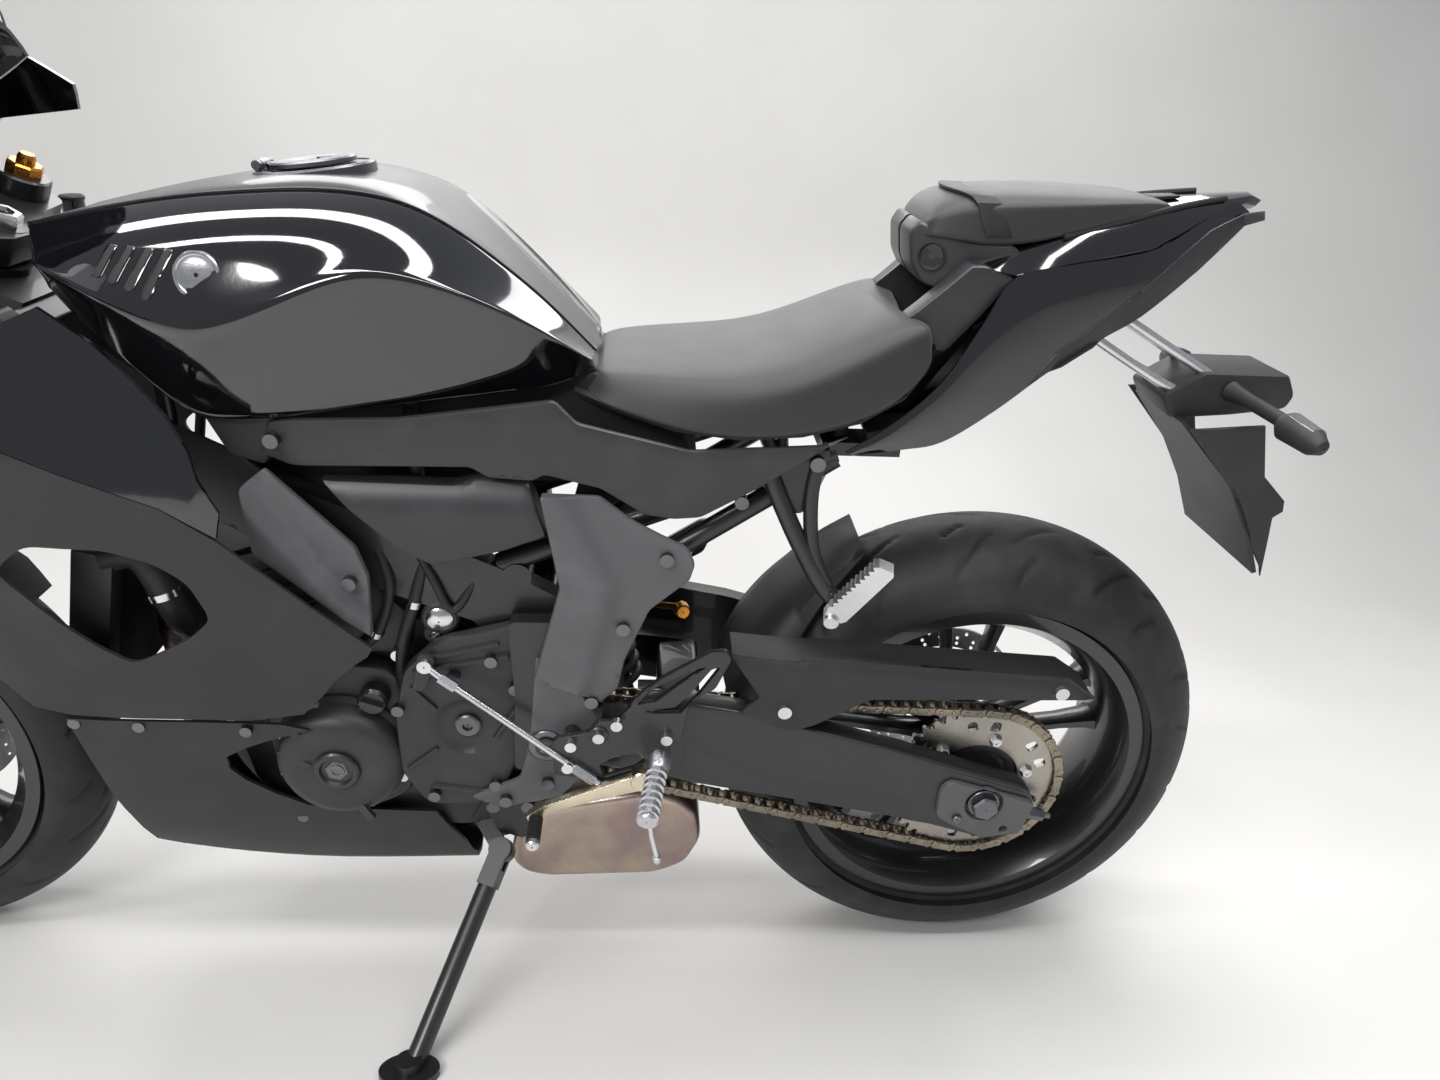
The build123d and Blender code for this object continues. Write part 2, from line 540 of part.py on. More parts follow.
# Tank, seats and tail
with BuildPart() as fuel_tank:
    loft([outline(across(x), [(hb, zb), (hc, zc), (hs, zs), (-hs, zs), (-hc, zc), (-hb, zb)])
          for x, hb, zb, hc, zc, hs, zs, zt in TANK_STATIONS], ruled=True)
save(fuel_tank, "fuel_tank")

CAP_X, CAP_Z, CAP_TILT = -60.0, 1003.2, 7.5
CAP_T, CAP_RING_R = 6.0, 54.0
cap_plane = Plane(origin=(CAP_X, 0, CAP_Z), x_dir=(cos(radians(CAP_TILT)), 0, sin(radians(CAP_TILT))),
                  z_dir=(-sin(radians(CAP_TILT)), 0, cos(radians(CAP_TILT))))
CAP_HINGE_AHEAD, CAP_HINGE_UP, CAP_PIN_R, CAP_BARREL_R = 50.0, 5.8, 2.5, 5.0
cap_hinge = cap_plane.origin - cap_plane.x_dir * CAP_HINGE_AHEAD + cap_plane.z_dir * CAP_HINGE_UP
with BuildPart() as tank_top_cover:
    loft([outline(across(x), [(hs, zs + 0.6), (hs * 0.7, zs + 0.8 * (zt - zs)), (0, zt),
                              (-hs * 0.7, zs + 0.8 * (zt - zs)), (-hs, zs + 0.6)])
          for x, hb, zb, hc, zc, hs, zs, zt in TANK_STATIONS], ruled=True)
    extrude(disc(cap_plane, CAP_RING_R + 6), amount=-12)
    for sign in (-1, 1):
        ear = Plane(origin=cap_hinge + Vector(0, sign * 13.5, 0), x_dir=(1, 0, 0), z_dir=(0, sign, 0))
        extrude(disc(ear, CAP_BARREL_R), amount=6)
        foot = Plane(origin=cap_hinge + Vector(0, sign * 16.5, 0), x_dir=(1, 0, 0), z_dir=-cap_plane.z_dir)
        with BuildSketch(foot) as stem:
            Rectangle(10, 6)
        extrude(stem.sketch, amount=CAP_HINGE_UP + 2)
    extrude(disc(Plane(origin=cap_hinge, x_dir=(1, 0, 0), z_dir=(0, 1, 0)), CAP_PIN_R), amount=15, both=True)
save(tank_top_cover, "tank_top_cover")

with BuildPart() as fuel_cap:
    extrude(disc(cap_plane.offset(CAP_GAP), CAP_R), amount=CAP_T)
    tongue = Plane(origin=cap_plane.origin + cap_plane.z_dir * (CAP_GAP + 2), x_dir=cap_plane.x_dir,
                   z_dir=cap_plane.z_dir)
    with BuildSketch(tongue) as strap:
        with Locations((-CAP_HINGE_AHEAD + 8, 0)):
            Rectangle(16, 24)
    extrude(strap.sketch, amount=CAP_T - 2)
    extrude(disc(Plane(origin=cap_hinge, x_dir=(1, 0, 0), z_dir=(0, 1, 0)), CAP_BARREL_R), amount=12, both=True)
    extrude(disc(Plane(origin=cap_hinge, x_dir=(1, 0, 0), z_dir=(0, 1, 0)), CAP_PIN_R + 0.08), amount=14,
            both=True, mode=Mode.SUBTRACT)
save(fuel_cap, "fuel_cap")

SEAT_STATIONS = (
    # x, half_bottom, z_bottom, half_widest, z_widest, half_top, z_top
    (226, 60, 806, 84, 817, 56, 827),
    (270, 92, 788, 116, 808, 74, 829),
    (340, 122, 774, 148, 804, 96, 830),
    (440, 126, 784, 155, 828, 112, 857),
    (515, 112, 812, 146, 862, 116, 890),
    (554, 96, 850, 126, 882, 100, 899),
)
with BuildPart() as rider_seat:
    loft([outline(across(x), [(hb, zb), (hw, zw), (ht, zt), (-ht, zt), (-hw, zw), (-hb, zb)])
          for x, hb, zb, hw, zw, ht, zt in SEAT_STATIONS], ruled=True)
    for sign in (-1, 1):
        extrude(disc(Plane.XY.offset(761.5 + SEAT_GAP), 12, (482, sign * 80)), amount=44)
save(rider_seat, "rider_seat")

PILLION_SIDE = [(541, 969), (548, 937), (567, 920), (592, 921), (613.5, 914), (650, 953.6), (731, 983.6), (811, 998),
                (812, 1011), (777, 1016), (705, 1017), (624, 1013), (569, 1007)]
PILLION_PLAN = [(541, -50), (575, -66), (650, -80), (720, -78), (812, -46),
                (812, 46), (720, 78), (650, 80), (575, 66), (541, 50)]
TAIL_SIDE = [(494, 764), (551, 789), (600, 850), (614, 912), (650, 953), (731, 983), (815, 998),
             (895, 1013), (930, 1010), (892, 990), (824, 921), (782, 899), (696, 852), (634, 808),
             (589, 772), (540, 762)]
TAIL_PLAN = [(490, -156), (640, -132), (790, -84), (930, -26), (930, 26), (790, 84), (640, 132), (490, 156)]
with BuildPart() as pillion_seat:
    extrude(outline(side(100), PILLION_SIDE, 2), amount=200)
    extrude(outline(Plane.XY, PILLION_PLAN), amount=1200, mode=Mode.INTERSECT)
save(pillion_seat, "pillion_seat")

with BuildPart() as tail_cowl:
    extrude(outline(side(200), TAIL_SIDE), amount=400)
    extrude(outline(Plane.XY, TAIL_PLAN), amount=1200, mode=Mode.INTERSECT)
save(tail_cowl, "tail_cowl")

SIDE_COVER_Y = 142.0
SIDE_COVER = [(-105, 745), (-92, 780.4), (-70, 782), (34, 788), (187, 810), (208, 786), (322, 766), (484, 782), (336, 689),
              (278, 690), (232, 720), (176, 733), (102, 739), (-74, 734)]
with BuildPart() as side_covers:
    pair(outline(side(-SIDE_COVER_Y), SIDE_COVER, 3), PANEL_T)
save(side_covers, "side_covers")

AIRBOX_COVER = [(-51, 719), (84, 717), (162, 717), (177, 665), (133, 647), (59, 628), (25, 645), (-21, 689)]
SPAR_COVER = [(-122, 715), (-97, 733), (-18, 650), (-8, 616), (-11, 545), (-118, 645)]
PIVOT_COVER = [(172, 714), (232, 713), (265, 687), (294, 671), (324, 656), (332, 637), (327, 618), (285, 581),
               (259, 517), (245, 465), (222, 432), (160, 496), (190, 610)]
with BuildPart() as frame_covers:
    pair(outline(side(-FRAME_Y - 26), AIRBOX_COVER, 6), 26 - SEAT_GAP)
    pair(outline(side(-FRAME_Y - 40), SPAR_COVER, 4), PANEL_T)
    boss = extrude(disc(side(-FRAME_Y - 38), 6, (-26, 612)), amount=-38 + SEAT_GAP)
    mirror(boss, about=Plane.XZ)
    pair(outline(side(-PIVOT_PLATE_Y - 4.3), PIVOT_COVER, 4), PANEL_T)
save(frame_covers, "frame_covers")

RAIL_Y, RAIL_R = 96.0, 12.0
with BuildPart() as subframe:
    for sign in (-1, 1):
        tube((120, sign * (FRAME_Y - FRAME_T / 2), 610), (480, sign * RAIL_Y, 748), RAIL_R)
        tube((206, sign * (FRAME_Y - FRAME_T / 2), 560), (480, sign * RAIL_Y, 742), RAIL_R)
    with BuildSketch(Plane.XY.offset(747)) as shelf:
        with Locations((505, 0)):
            Rectangle(84, 2 * RAIL_Y + 20)
        with Locations((505, 0)):
            Rectangle(50, 120, mode=Mode.SUBTRACT)
    extrude(shelf.sketch, amount=14.5)
    extrude(offset(outline(side(FRAME_Y + 9), SPAR, 8), amount=0.3), amount=2 * FRAME_Y + 18, mode=Mode.SUBTRACT)
    for x, z, radius in SUBFRAME_LUGS:
        extrude(disc(side(FRAME_Y + 9), radius + 0.3, (x, z)), amount=2 * FRAME_Y + 18, mode=Mode.SUBTRACT)
save(subframe, "subframe")

STRUT = [(728, 880), (770, 904), (912, 824), (868, 806)]
BRACKET_BODY = [(852, 803), (868, 777), (938, 783), (1000, 795), (1006, 815), (990, 833), (896, 832)]
BLADE = [(880, 779), (935, 712), (967, 660), (988, 597), (1000, 597), (988, 676), (1006, 684),
         (1004, 697), (972, 726), (955, 786)]
with BuildPart() as plate_bracket:
    for sign in (-1, 1):
        extrude(outline(side(sign * 34), STRUT, 3), amount=sign * 10)
    extrude(outline(side(42), BRACKET_BODY, 4), amount=84)
    extrude(outline(side(84), BLADE, 3), amount=168)
    extrude(offset(outline(side(60), TAIL_SIDE), amount=SEAT_GAP), amount=120, mode=Mode.SUBTRACT)
save(plate_bracket, "plate_bracket")

with BuildPart() as rear_lamps:
    extrude(outline(side(40), [(830.3, 926.7), (884.3, 981.5), (891, 975), (837, 920)], 2), amount=80)
    for sign in (-1, 1):
        tube((930, sign * 44.5, 812), (958, sign * 150, 798), 8)
        tube((952, sign * 118, 801), (964, sign * 172, 794), 14)
save(rear_lamps, "rear_lamps")

# Swingarm, chain and the rear brake
ARM = [(262, 452), (310, 462), (391, 447), (584, 391), (REAR_X + 55.5, 334), (REAR_X + 68.5, 311),
       (REAR_X + 44.5, 268), (REAR_X + 12.5, 254), (REAR_X - 60.5, 277), (447, 318), (337, 340), (262, 360)]
LUG = [(150, 372), (205, 364), (330, 345), (330, 412), (262, 420), (205, 426), (150, 420)]
LUG_Y, LUG_T = 90.0, 26.0
BOBBIN = (REAR_X + 30.5, 276.0)
BOBBIN_R, BOBBIN_DEPTH = 4.0, 16.0
with BuildPart() as swingarm:
    for sign in (-1, 1):
        extrude(outline(side(sign * ARM_Y), ARM, 8), amount=sign * ARM_T)
        extrude(outline(side(sign * LUG_Y), LUG, 5), amount=sign * LUG_T)
        elbow = [(232, 366), (330, 349), (330, 410), (262, 418), (232, 420)]
        extrude(outline(side(sign * (ARM_Y - 2)), elbow, 5), amount=sign * (ARM_Y - 2 - LUG_Y + LUG_T))
    inner = LUG_Y - LUG_T
    extrude(outline(side(inner), [(296, 352), (350, 352), (350, 410), (296, 410)], 8), amount=2 * inner)
    extrude(outline(side(20), [(272, 352), (300, 352), (300, 376), (272, 376)]), amount=40)
    extrude(disc(side(LUG_Y - 1), 28, (PIVOT_X, PIVOT_Z)), amount=2 * (LUG_Y - 1))
    extrude(disc(side(LUG_Y + 5), AXLE_R, (PIVOT_X, PIVOT_Z)), amount=2 * (LUG_Y + 5), mode=Mode.SUBTRACT)
    extrude(disc(side(200), AXLE_R + AXLE_FIT, (REAR_X, REAR_R)), amount=400, mode=Mode.SUBTRACT)
    for sign in (-1, 1):
        extrude(disc(side(sign * ARM_Y), BOBBIN_R, BOBBIN), amount=sign * BOBBIN_DEPTH, mode=Mode.SUBTRACT)
save(swingarm, "swingarm")

with BuildPart() as rear_axle:
    extrude(disc(side(ARM_Y + 16), AXLE_R, (REAR_X, REAR_R)), amount=2 * (ARM_Y + 16))
    for face, reach in ((ARM_Y + 14.3, 14), (-ARM_Y - 0.3, 14), (ARM_Y - ARM_T - 0.3, 24),
                        (CHAIN_Y - SPROCKET_T / 2 - 6, 6)):
        extrude(disc(side(face), 18, (REAR_X, REAR_R)), amount=reach)
save(rear_axle, "rear_axle")

chain_dx, chain_dz = REAR_X - FRONT_SPROCKET_X, REAR_R - FRONT_SPROCKET_Z
chain_span = hypot(chain_dx, chain_dz)
chain_tilt = degrees(atan2(chain_dz, chain_dx))
chain_wrap = degrees(asin((REAR_PITCH_R - FRONT_PITCH_R) / chain_span))


def chain_outline(plane, grow):
    """The belt line round both sprockets, moved out by grow."""
    small, large = FRONT_PITCH_R + grow, REAR_PITCH_R + grow
    slope = radians(chain_wrap)

    def at(radius, centre, angle):
        return (centre + radius * cos(angle), radius * sin(angle))

    with BuildSketch(plane) as drawn:
        with BuildLine():
            up, down = pi / 2 + slope, -pi / 2 - slope
            Line(at(small, 0, up), at(large, chain_span, up))
            ThreePointArc(at(large, chain_span, up), at(large, chain_span, 0), at(large, chain_span, down))
            Line(at(large, chain_span, down), at(small, 0, down))
            ThreePointArc(at(small, 0, down), at(small, 0, pi), at(small, 0, up))
        make_face()
    return drawn.sketch


def chain_plane(y):
    """The side plane at y with its origin on the front sprocket and its x along the sprockets' centres."""
    return Plane(origin=(FRONT_SPROCKET_X, y, FRONT_SPROCKET_Z), x_dir=(chain_dx, 0, chain_dz), z_dir=(0, -1, 0))


with BuildPart() as chain:
    for offset_y in (-CHAIN_INNER_W / 2, CHAIN_INNER_W / 2 + CHAIN_PLATE_T):
        face = chain_plane(CHAIN_Y + offset_y)
        loop = extrude(chain_outline(face, CHAIN_PLATE_H / 2), amount=CHAIN_PLATE_T)
        extrude(chain_outline(face, -CHAIN_PLATE_H / 2), amount=CHAIN_PLATE_T, mode=Mode.SUBTRACT)
    for run in (1, -1):
        angle = run * (pi / 2 + radians(chain_wrap))
        start = Vector(FRONT_PITCH_R * cos(angle), FRONT_PITCH_R * sin(angle))
        end = Vector(chain_span + REAR_PITCH_R * cos(angle), REAR_PITCH_R * sin(angle))
        steps = int((end - start).length / CHAIN_PITCH / 4)
        for step in range(1, steps):
            spot = start + (end - start) * (step / steps)
            extrude(disc(chain_plane(CHAIN_Y + CHAIN_INNER_W / 2), ROLLER_R, (spot.X, spot.Y)), amount=CHAIN_INNER_W)
    for centre, radius, first, last, count in ((chain_span, REAR_PITCH_R, -80, 80, 7), (0, FRONT_PITCH_R, 110, 250, 5)):
        for step in range(count):
            angle = radians(first + (last - first) * step / (count - 1))
            spot = (centre + radius * cos(angle), radius * sin(angle))
            extrude(disc(chain_plane(CHAIN_Y + CHAIN_INNER_W / 2), ROLLER_R, spot), amount=CHAIN_INNER_W)
save(chain, "chain")

GUARD = [(375, 512), (460, 512), (768, 487), (807, 462), (644, 458), (545, 460), (482, 428), (450, 416),
         (392, 440)]
GUARD_TOP = [(366, 513), (460, 513), (768, 490), (807, 465), (803, 461), (766, 486), (460, 509), (366, 509)]
HUGGER_R, HUGGER_T = 329.0, 4.0
with BuildPart() as chain_guard:
    extrude(outline(side(-ARM_Y - 0.3), GUARD, 4), amount=4)
    extrude(outline(side(-97), GUARD_TOP), amount=ARM_Y - 97 + 4)
    extrude(outline(side(84), [(366, 513), (432, 513), (432, 509), (366, 509)]), amount=84 + ARM_Y)
    first = radians(152)
    ray = Vector(cos(first), 0, sin(first))
    with BuildSketch(Plane(origin=(REAR_X, 0, REAR_R), x_dir=(0, 1, 0), z_dir=(ray.Z, 0, -ray.X))) as arch:
        with Locations((0, HUGGER_R + HUGGER_T / 2)):
            Rectangle(168, HUGGER_T)
    revolve(arch.sketch, axis=Axis((REAR_X, 0, REAR_R), (0, 1, 0)), revolution_arc=34)
save(chain_guard, "chain_guard")

with BuildPart() as rear_caliper:
    turn = Plane(origin=(REAR_X, REAR_DISC_Y, REAR_R), x_dir=(-0.94, 0, 0.34), z_dir=(0, -1, 0))
    with BuildSketch(turn.offset(-22)) as block:
        with Locations((101, 0)):
            RectangleRounded(58, 84, 8)
    extrude(block.sketch, amount=44)
    with BuildSketch(turn.offset(-DISC_T / 2 - DISC_GAP)) as slot:
        with Locations((80, 0)):
            Rectangle(74, 100)
    extrude(slot.sketch, amount=DISC_T + 2 * DISC_GAP, mode=Mode.SUBTRACT)
    with BuildSketch(turn.offset(-22)) as boss:
        with Locations((90, 0)):
            Circle(12)
    extrude(boss.sketch, amount=-(ARM_Y - ARM_T - 0.3 - REAR_DISC_Y - 22))
save(rear_caliper, "rear_caliper")

with BuildPart() as shock_absorber:
    top, low = Vector(216, 0, 530), Vector(259.5, 0, 352)
    run = low - top
    base = Plane(origin=top, z_dir=run)
    extrude(disc(base, 12), amount=run.length)
    for step in range(7):
        extrude(disc(base.offset(22 + step * 17), 29), amount=10)
    extrude(disc(base.offset(18), 22), amount=120)
save(shock_absorber, "shock_absorber")

# Footrests and the side stand
REST_Y, REST_T = 172.0, 7.0
REST_PLATE = [(180, 372), (200, 360), (262, 370), (300, 350), (318, 368), (318, 408), (336, 428), (394, 503),
              (380, 524), (342, 516), (231, 436), (184, 425)]
for name, sign in (("footrest_left", -1), ("footrest_right", 1)):
    with BuildPart() as footrest:
        extrude(outline(side(sign * REST_Y), REST_PLATE, 4), amount=sign * REST_T)
        for x, z in ((200, 420), (196, 390)):
            boss = disc(side(sign * (REST_Y - REST_T)), 8, (x, z))
            extrude(boss, amount=sign * (REST_Y - REST_T - PIVOT_PLATE_Y - 0.3))
        extrude(disc(side(sign * REST_Y), 12, (302, 385)), amount=-sign * 86)
        lever = [(150, 296), (168, 288), (262, 346), (300, 352), (300, 366), (258, 362)]
        extrude(outline(side(sign * (REST_Y + 8)), lever, 3), amount=sign * 8.5)
        extrude(disc(side(sign * REST_Y), 9, (161, 297)), amount=-sign * 48)
        if sign < 0:
            tube((252, -REST_Y - 4, 360), (70, -142, 500), 4)
    save(footrest, name)

with BuildPart() as passenger_footrests:
    for sign in (-1, 1):
        extrude(outline(side(sign * 120), [(392, 728), (400, 746), (462, 758), (458, 732), (436, 706), (420, 700)], 4),
                amount=sign * 9.2)
        tube((425, sign * 120, 722), (486, sign * 136, 598), 9)
        tube((486, sign * 130, 600), (520, sign * 214, 622), 13)
save(passenger_footrests, "passenger_footrests")

with BuildPart() as side_stand:
    leg_run = stand_leg.length
    cheek_face = STAND_LUG_T / 2 + STAND_CHEEK_GAP
    for level in (cheek_face, -cheek_face - STAND_CHEEK_T):
        with BuildSketch(stand_plane.offset(level)) as cheek:
            Circle(STAND_LUG_R - 1)
            with Locations((18, 0)):
                Rectangle(36, 22)
        extrude(cheek.sketch, amount=STAND_CHEEK_T)
    with BuildSketch(stand_plane.offset(-cheek_face - STAND_CHEEK_T)) as bridge:
        with Locations((34, 0)):
            Rectangle(22, 22)
    extrude(bridge.sketch, amount=2 * (cheek_face + STAND_CHEEK_T))
    tube(Vector(*STAND_PIVOT) + stand_down * 40, Vector(*STAND_PIVOT) + stand_down * (leg_run - 14), STAND_R)
    floor = Plane(origin=(STAND_FOOT[0], STAND_FOOT[1], stand_foot_z), x_dir=(1, 0, 0), z_dir=(0, lean_s, lean_c))
    with BuildSketch(floor) as pad:
        Ellipse(34, 24)
    extrude(pad.sketch, amount=9)
    with BuildSketch(floor) as neck:
        Circle(15)
    extrude(neck.sketch, amount=22)
    extrude(disc(stand_plane, STAND_PIN_R + STAND_PIN_FIT), amount=40, both=True, mode=Mode.SUBTRACT)
save(side_stand, "side_stand")

# Steering: fork, axle, bars, mudguard and calipers
CLAMP_PLATE = [(25, -32), (25, 32), (-14, 128), (-38, 136), (-66, 130), (-66, -130), (-38, -136), (-14, -128)]
with BuildPart() as front_fork:
    for sign in (-1, 1):
        leg_y = sign * FORK_Y
        extrude(disc(steered(FORK_JOIN, leg_y, FORK_OFFSET), FORK_UPPER_R), amount=FORK_TOP - FORK_JOIN)
        extrude(disc(steered(FRONT_AXLE_H, leg_y, FORK_OFFSET), FORK_LOWER_R), amount=FORK_JOIN - FRONT_AXLE_H)
        extrude(disc(steered(FORK_TOP, leg_y, FORK_OFFSET), 17), amount=24)
        extrude(disc(side(leg_y + FORK_LOWER_R), 27, (FRONT_X, FRONT_R)), amount=2 * FORK_LOWER_R)
        extrude(disc(side(leg_y + 30), AXLE_R + AXLE_FIT, (FRONT_X, FRONT_R)), amount=60, mode=Mode.SUBTRACT)
    for level in (HEAD_LOW - HEAD_GAP - CLAMP_T, HEAD_HIGH + HEAD_GAP):
        extrude(outline(steered(level), CLAMP_PLATE, 6), amount=CLAMP_T)
    extrude(disc(steered(HEAD_LOW - HEAD_GAP - CLAMP_T), STEM_R),
            amount=HEAD_HIGH - HEAD_LOW + 2 * HEAD_GAP + 2 * CLAMP_T + 16)
save(front_fork, "front_fork")

with BuildPart() as front_axle:
    extrude(disc(side(FORK_Y + 28), AXLE_R, (FRONT_X, FRONT_R)), amount=2 * (FORK_Y + 28))
    for face in (FORK_Y - FORK_LOWER_R - 0.3, -FRONT_DISC_Y - DISC_T / 2 - 6):
        extrude(disc(side(face), 18, (FRONT_X, FRONT_R)), amount=FORK_Y - FORK_LOWER_R - 0.3 - FRONT_DISC_Y - DISC_T / 2 - 6)
save(front_axle, "front_axle")

MUDGUARD_R, MUDGUARD_T, MUDGUARD_HALF = 309.0, 4.0, 68.0
with BuildPart() as front_mudguard:
    first = radians(142)
    ray = Vector(cos(first), 0, sin(first))
    with BuildSketch(Plane(origin=(FRONT_X, 0, FRONT_R), x_dir=(0, 1, 0), z_dir=(ray.Z, 0, -ray.X))) as guard:
        with BuildLine():
            half, reach, thick = MUDGUARD_HALF, MUDGUARD_R, MUDGUARD_T
            Polyline((-half, reach - 42), (-half, reach - 12), (-half + 30, reach + thick),
                     (half - 30, reach + thick), (half, reach - 12), (half, reach - 42),
                     (half - thick, reach - 42), (half - thick, reach - 14), (half - 32, reach),
                     (-half + 32, reach), (-half + thick, reach - 14), (-half + thick, reach - 42), close=True)
        make_face()
    revolve(guard.sketch, axis=Axis((FRONT_X, 0, FRONT_R), (0, 1, 0)), revolution_arc=104)
    seat = (FRONT_X + caster_s * 285, FRONT_R + caster_c * 285)
    for sign in (-1, 1):
        extrude(disc(side(sign * (FORK_Y - FORK_UPPER_R - 0.3)), 15, seat),
                amount=sign * (FORK_Y - FORK_UPPER_R - 0.3 - MUDGUARD_HALF + 2))
save(front_mudguard, "front_mudguard")

with BuildPart() as handlebars:
    for sign in (-1, 1):
        collar = steered(BAR_H - 24, sign * FORK_Y, FORK_OFFSET)
        extrude(disc(collar, FORK_UPPER_R + 9), amount=24)
        root = tuple(collar.origin + collar.z_dir * 12)
        tip = (-372, sign * BAR_TIP_Y, 872)
        tube(root, tip, BAR_R)
        run = Vector(*tip) - Vector(*root)
        tube(Vector(*root) + run * 0.48, tip, GRIP_R)
        tube(Vector(*root) + run * 0.25, Vector(*root) + run * 0.42, 19)
        perch = Vector(*root) + run * 0.33
        tube(perch, perch + Vector(-52, 0, 8), 9)
        tube(perch + Vector(-48, 0, 8), perch + Vector(-32, sign * 135, -4), 6)
        extrude(disc(collar, FORK_UPPER_R + 0.05), amount=24, mode=Mode.SUBTRACT)
save(handlebars, "handlebars")

with BuildPart() as front_calipers:
    for sign in (-1, 1):
        turn = Plane(origin=(FRONT_X, sign * FRONT_DISC_Y, FRONT_R), x_dir=(0.73, 0, 0.68), z_dir=(0, sign, 0))
        with BuildSketch(turn.offset(-24)) as block:
            with Locations((138, 0)):
                RectangleRounded(66, 92, 8)
        extrude(block.sketch, amount=48)
        with BuildSketch(turn.offset(-DISC_T / 2 - DISC_GAP)) as slot:
            with Locations((105, 0)):
                Rectangle(100, 110)
        extrude(slot.sketch, amount=DISC_T + 2 * DISC_GAP, mode=Mode.SUBTRACT)
        tip = turn.origin + turn.x_dir * 150 + Vector(0, sign * 20, 0)
        fork_spot = Vector(FRONT_X, sign * FORK_Y, FRONT_R) + Vector(caster_s, 0, caster_c) * 150
        tube(tip, fork_spot, 10)
        extrude(disc(steered(FRONT_AXLE_H, sign * FORK_Y, FORK_OFFSET), FORK_LOWER_R + 0.3), amount=300,
                mode=Mode.SUBTRACT)
save(front_calipers, "front_calipers")
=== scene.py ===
"""Looks for a parked sport bike: tank, seats, panels, wheels, chain, engine covers and their finishes.

Every shape is written in the bike's own upright frame, in millimetres, with X to the rear, -Y to the
stand's side and Z up, and is leaned onto the stand by one placing when its mesh is finished.
"""
from __future__ import annotations

import logging
import math
from dataclasses import dataclass
from enum import Enum
from typing import Callable, Sequence

import bmesh
import bpy
from mathutils import Matrix, Vector
from mathutils.bvhtree import BVHTree
from mathutils.geometry import delaunay_2d_cdt

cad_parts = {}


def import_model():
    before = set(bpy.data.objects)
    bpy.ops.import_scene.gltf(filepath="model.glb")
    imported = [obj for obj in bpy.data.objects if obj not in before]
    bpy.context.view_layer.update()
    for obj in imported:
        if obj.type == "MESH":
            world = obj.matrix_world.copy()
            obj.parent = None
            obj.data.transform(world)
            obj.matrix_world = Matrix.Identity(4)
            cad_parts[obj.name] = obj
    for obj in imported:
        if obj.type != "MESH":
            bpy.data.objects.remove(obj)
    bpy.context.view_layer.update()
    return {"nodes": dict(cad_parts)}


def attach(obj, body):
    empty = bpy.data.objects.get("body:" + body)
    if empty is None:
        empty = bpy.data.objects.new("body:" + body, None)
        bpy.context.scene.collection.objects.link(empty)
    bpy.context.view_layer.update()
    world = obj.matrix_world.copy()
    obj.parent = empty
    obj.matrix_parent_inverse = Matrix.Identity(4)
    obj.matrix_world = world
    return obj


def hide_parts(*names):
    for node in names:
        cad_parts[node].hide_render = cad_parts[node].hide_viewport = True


LOG = logging.getLogger("sport_bike")
Point2 = tuple[float, float]
Point3 = tuple[float, float, float]
Colour = tuple[float, float, float]

LEAN = math.radians(10.62)
WHEELBASE = 1395.0
FRONT_LIFT = 62.0 * (1 - math.cos(LEAN))
REAR_LIFT = 95.0 * (1 - math.cos(LEAN))
PARK = (Matrix.Scale(0.001, 4)
        @ Matrix.Translation((-7.4, 183.8, (FRONT_LIFT + REAR_LIFT) / 2))
        @ Matrix.Rotation(-math.asin((REAR_LIFT - FRONT_LIFT) / WHEELBASE), 4, "Y")
        @ Matrix.Rotation(LEAN, 4, "X"))
FRONT_X, REAR_X = -WHEELBASE / 2, WHEELBASE / 2
FRONT_R, REAR_R = 300.0, 315.0
FRONT_HUB, REAR_HUB = (FRONT_X, 0.0, FRONT_R), (REAR_X, 0.0, REAR_R)
STEER_FOOT_X, STEER_RAKE = -787.5, math.radians(23.67)
LEG_Y, LEG_AHEAD = 105.0, 37.99
BAR_TIP = (-372.0, 340.0, 872.0)


class Body(Enum):
    """The moving bodies that a piece can ride on."""

    ROOT = "root"
    STEERING = "steering"
    FRONT_WHEEL = "front_wheel"
    REAR_WHEEL = "rear_wheel"
    STAND = "side_stand"
    CAP = "fuel_cap"


class Side(Enum):
    """Which side of the bike a piece is on; the value is its sign in Y."""

    LEFT = -1
    RIGHT = 1


# Shader maths and finishes


class Socket:
    """A shader socket that adds Math nodes when it is used in an expression."""

    def __init__(self, tree: "Shader", link: bpy.types.NodeSocket) -> None:
        """Wrap a socket.

        Args:
            tree: the shader that the socket belongs to.
            link: the socket itself.
        """
        self.tree = tree
        self.link = link

    def _math(self, operation: str, *values: "Socket | float") -> "Socket":
        """Add one Math node over the values."""
        return self.tree.node("ShaderNodeMath", {"operation": operation}, values)

    def __add__(self, other: "Socket | float") -> "Socket":
        """Sum."""
        return self._math("ADD", self, other)

    __radd__ = __add__

    def __mul__(self, other: "Socket | float") -> "Socket":
        """Product."""
        return self._math("MULTIPLY", self, other)

    __rmul__ = __mul__

    def above(self, level: float) -> "Socket":
        """One where the value is above the level."""
        return self._math("GREATER_THAN", self, level)

    def sine(self) -> "Socket":
        """The sine."""
        return self._math("SINE", self)

    def within(self, low: float, high: float) -> "Socket":
        """The value's place between low and high, kept to 0..1 with soft ends.

        Args:
            low: the value that gives 0.
            high: the value that gives 1.

        Returns:
            The place as a socket.
        """
        return self.tree.node("ShaderNodeMapRange", {"interpolation_type": "SMOOTHSTEP"}, (self, low, high))


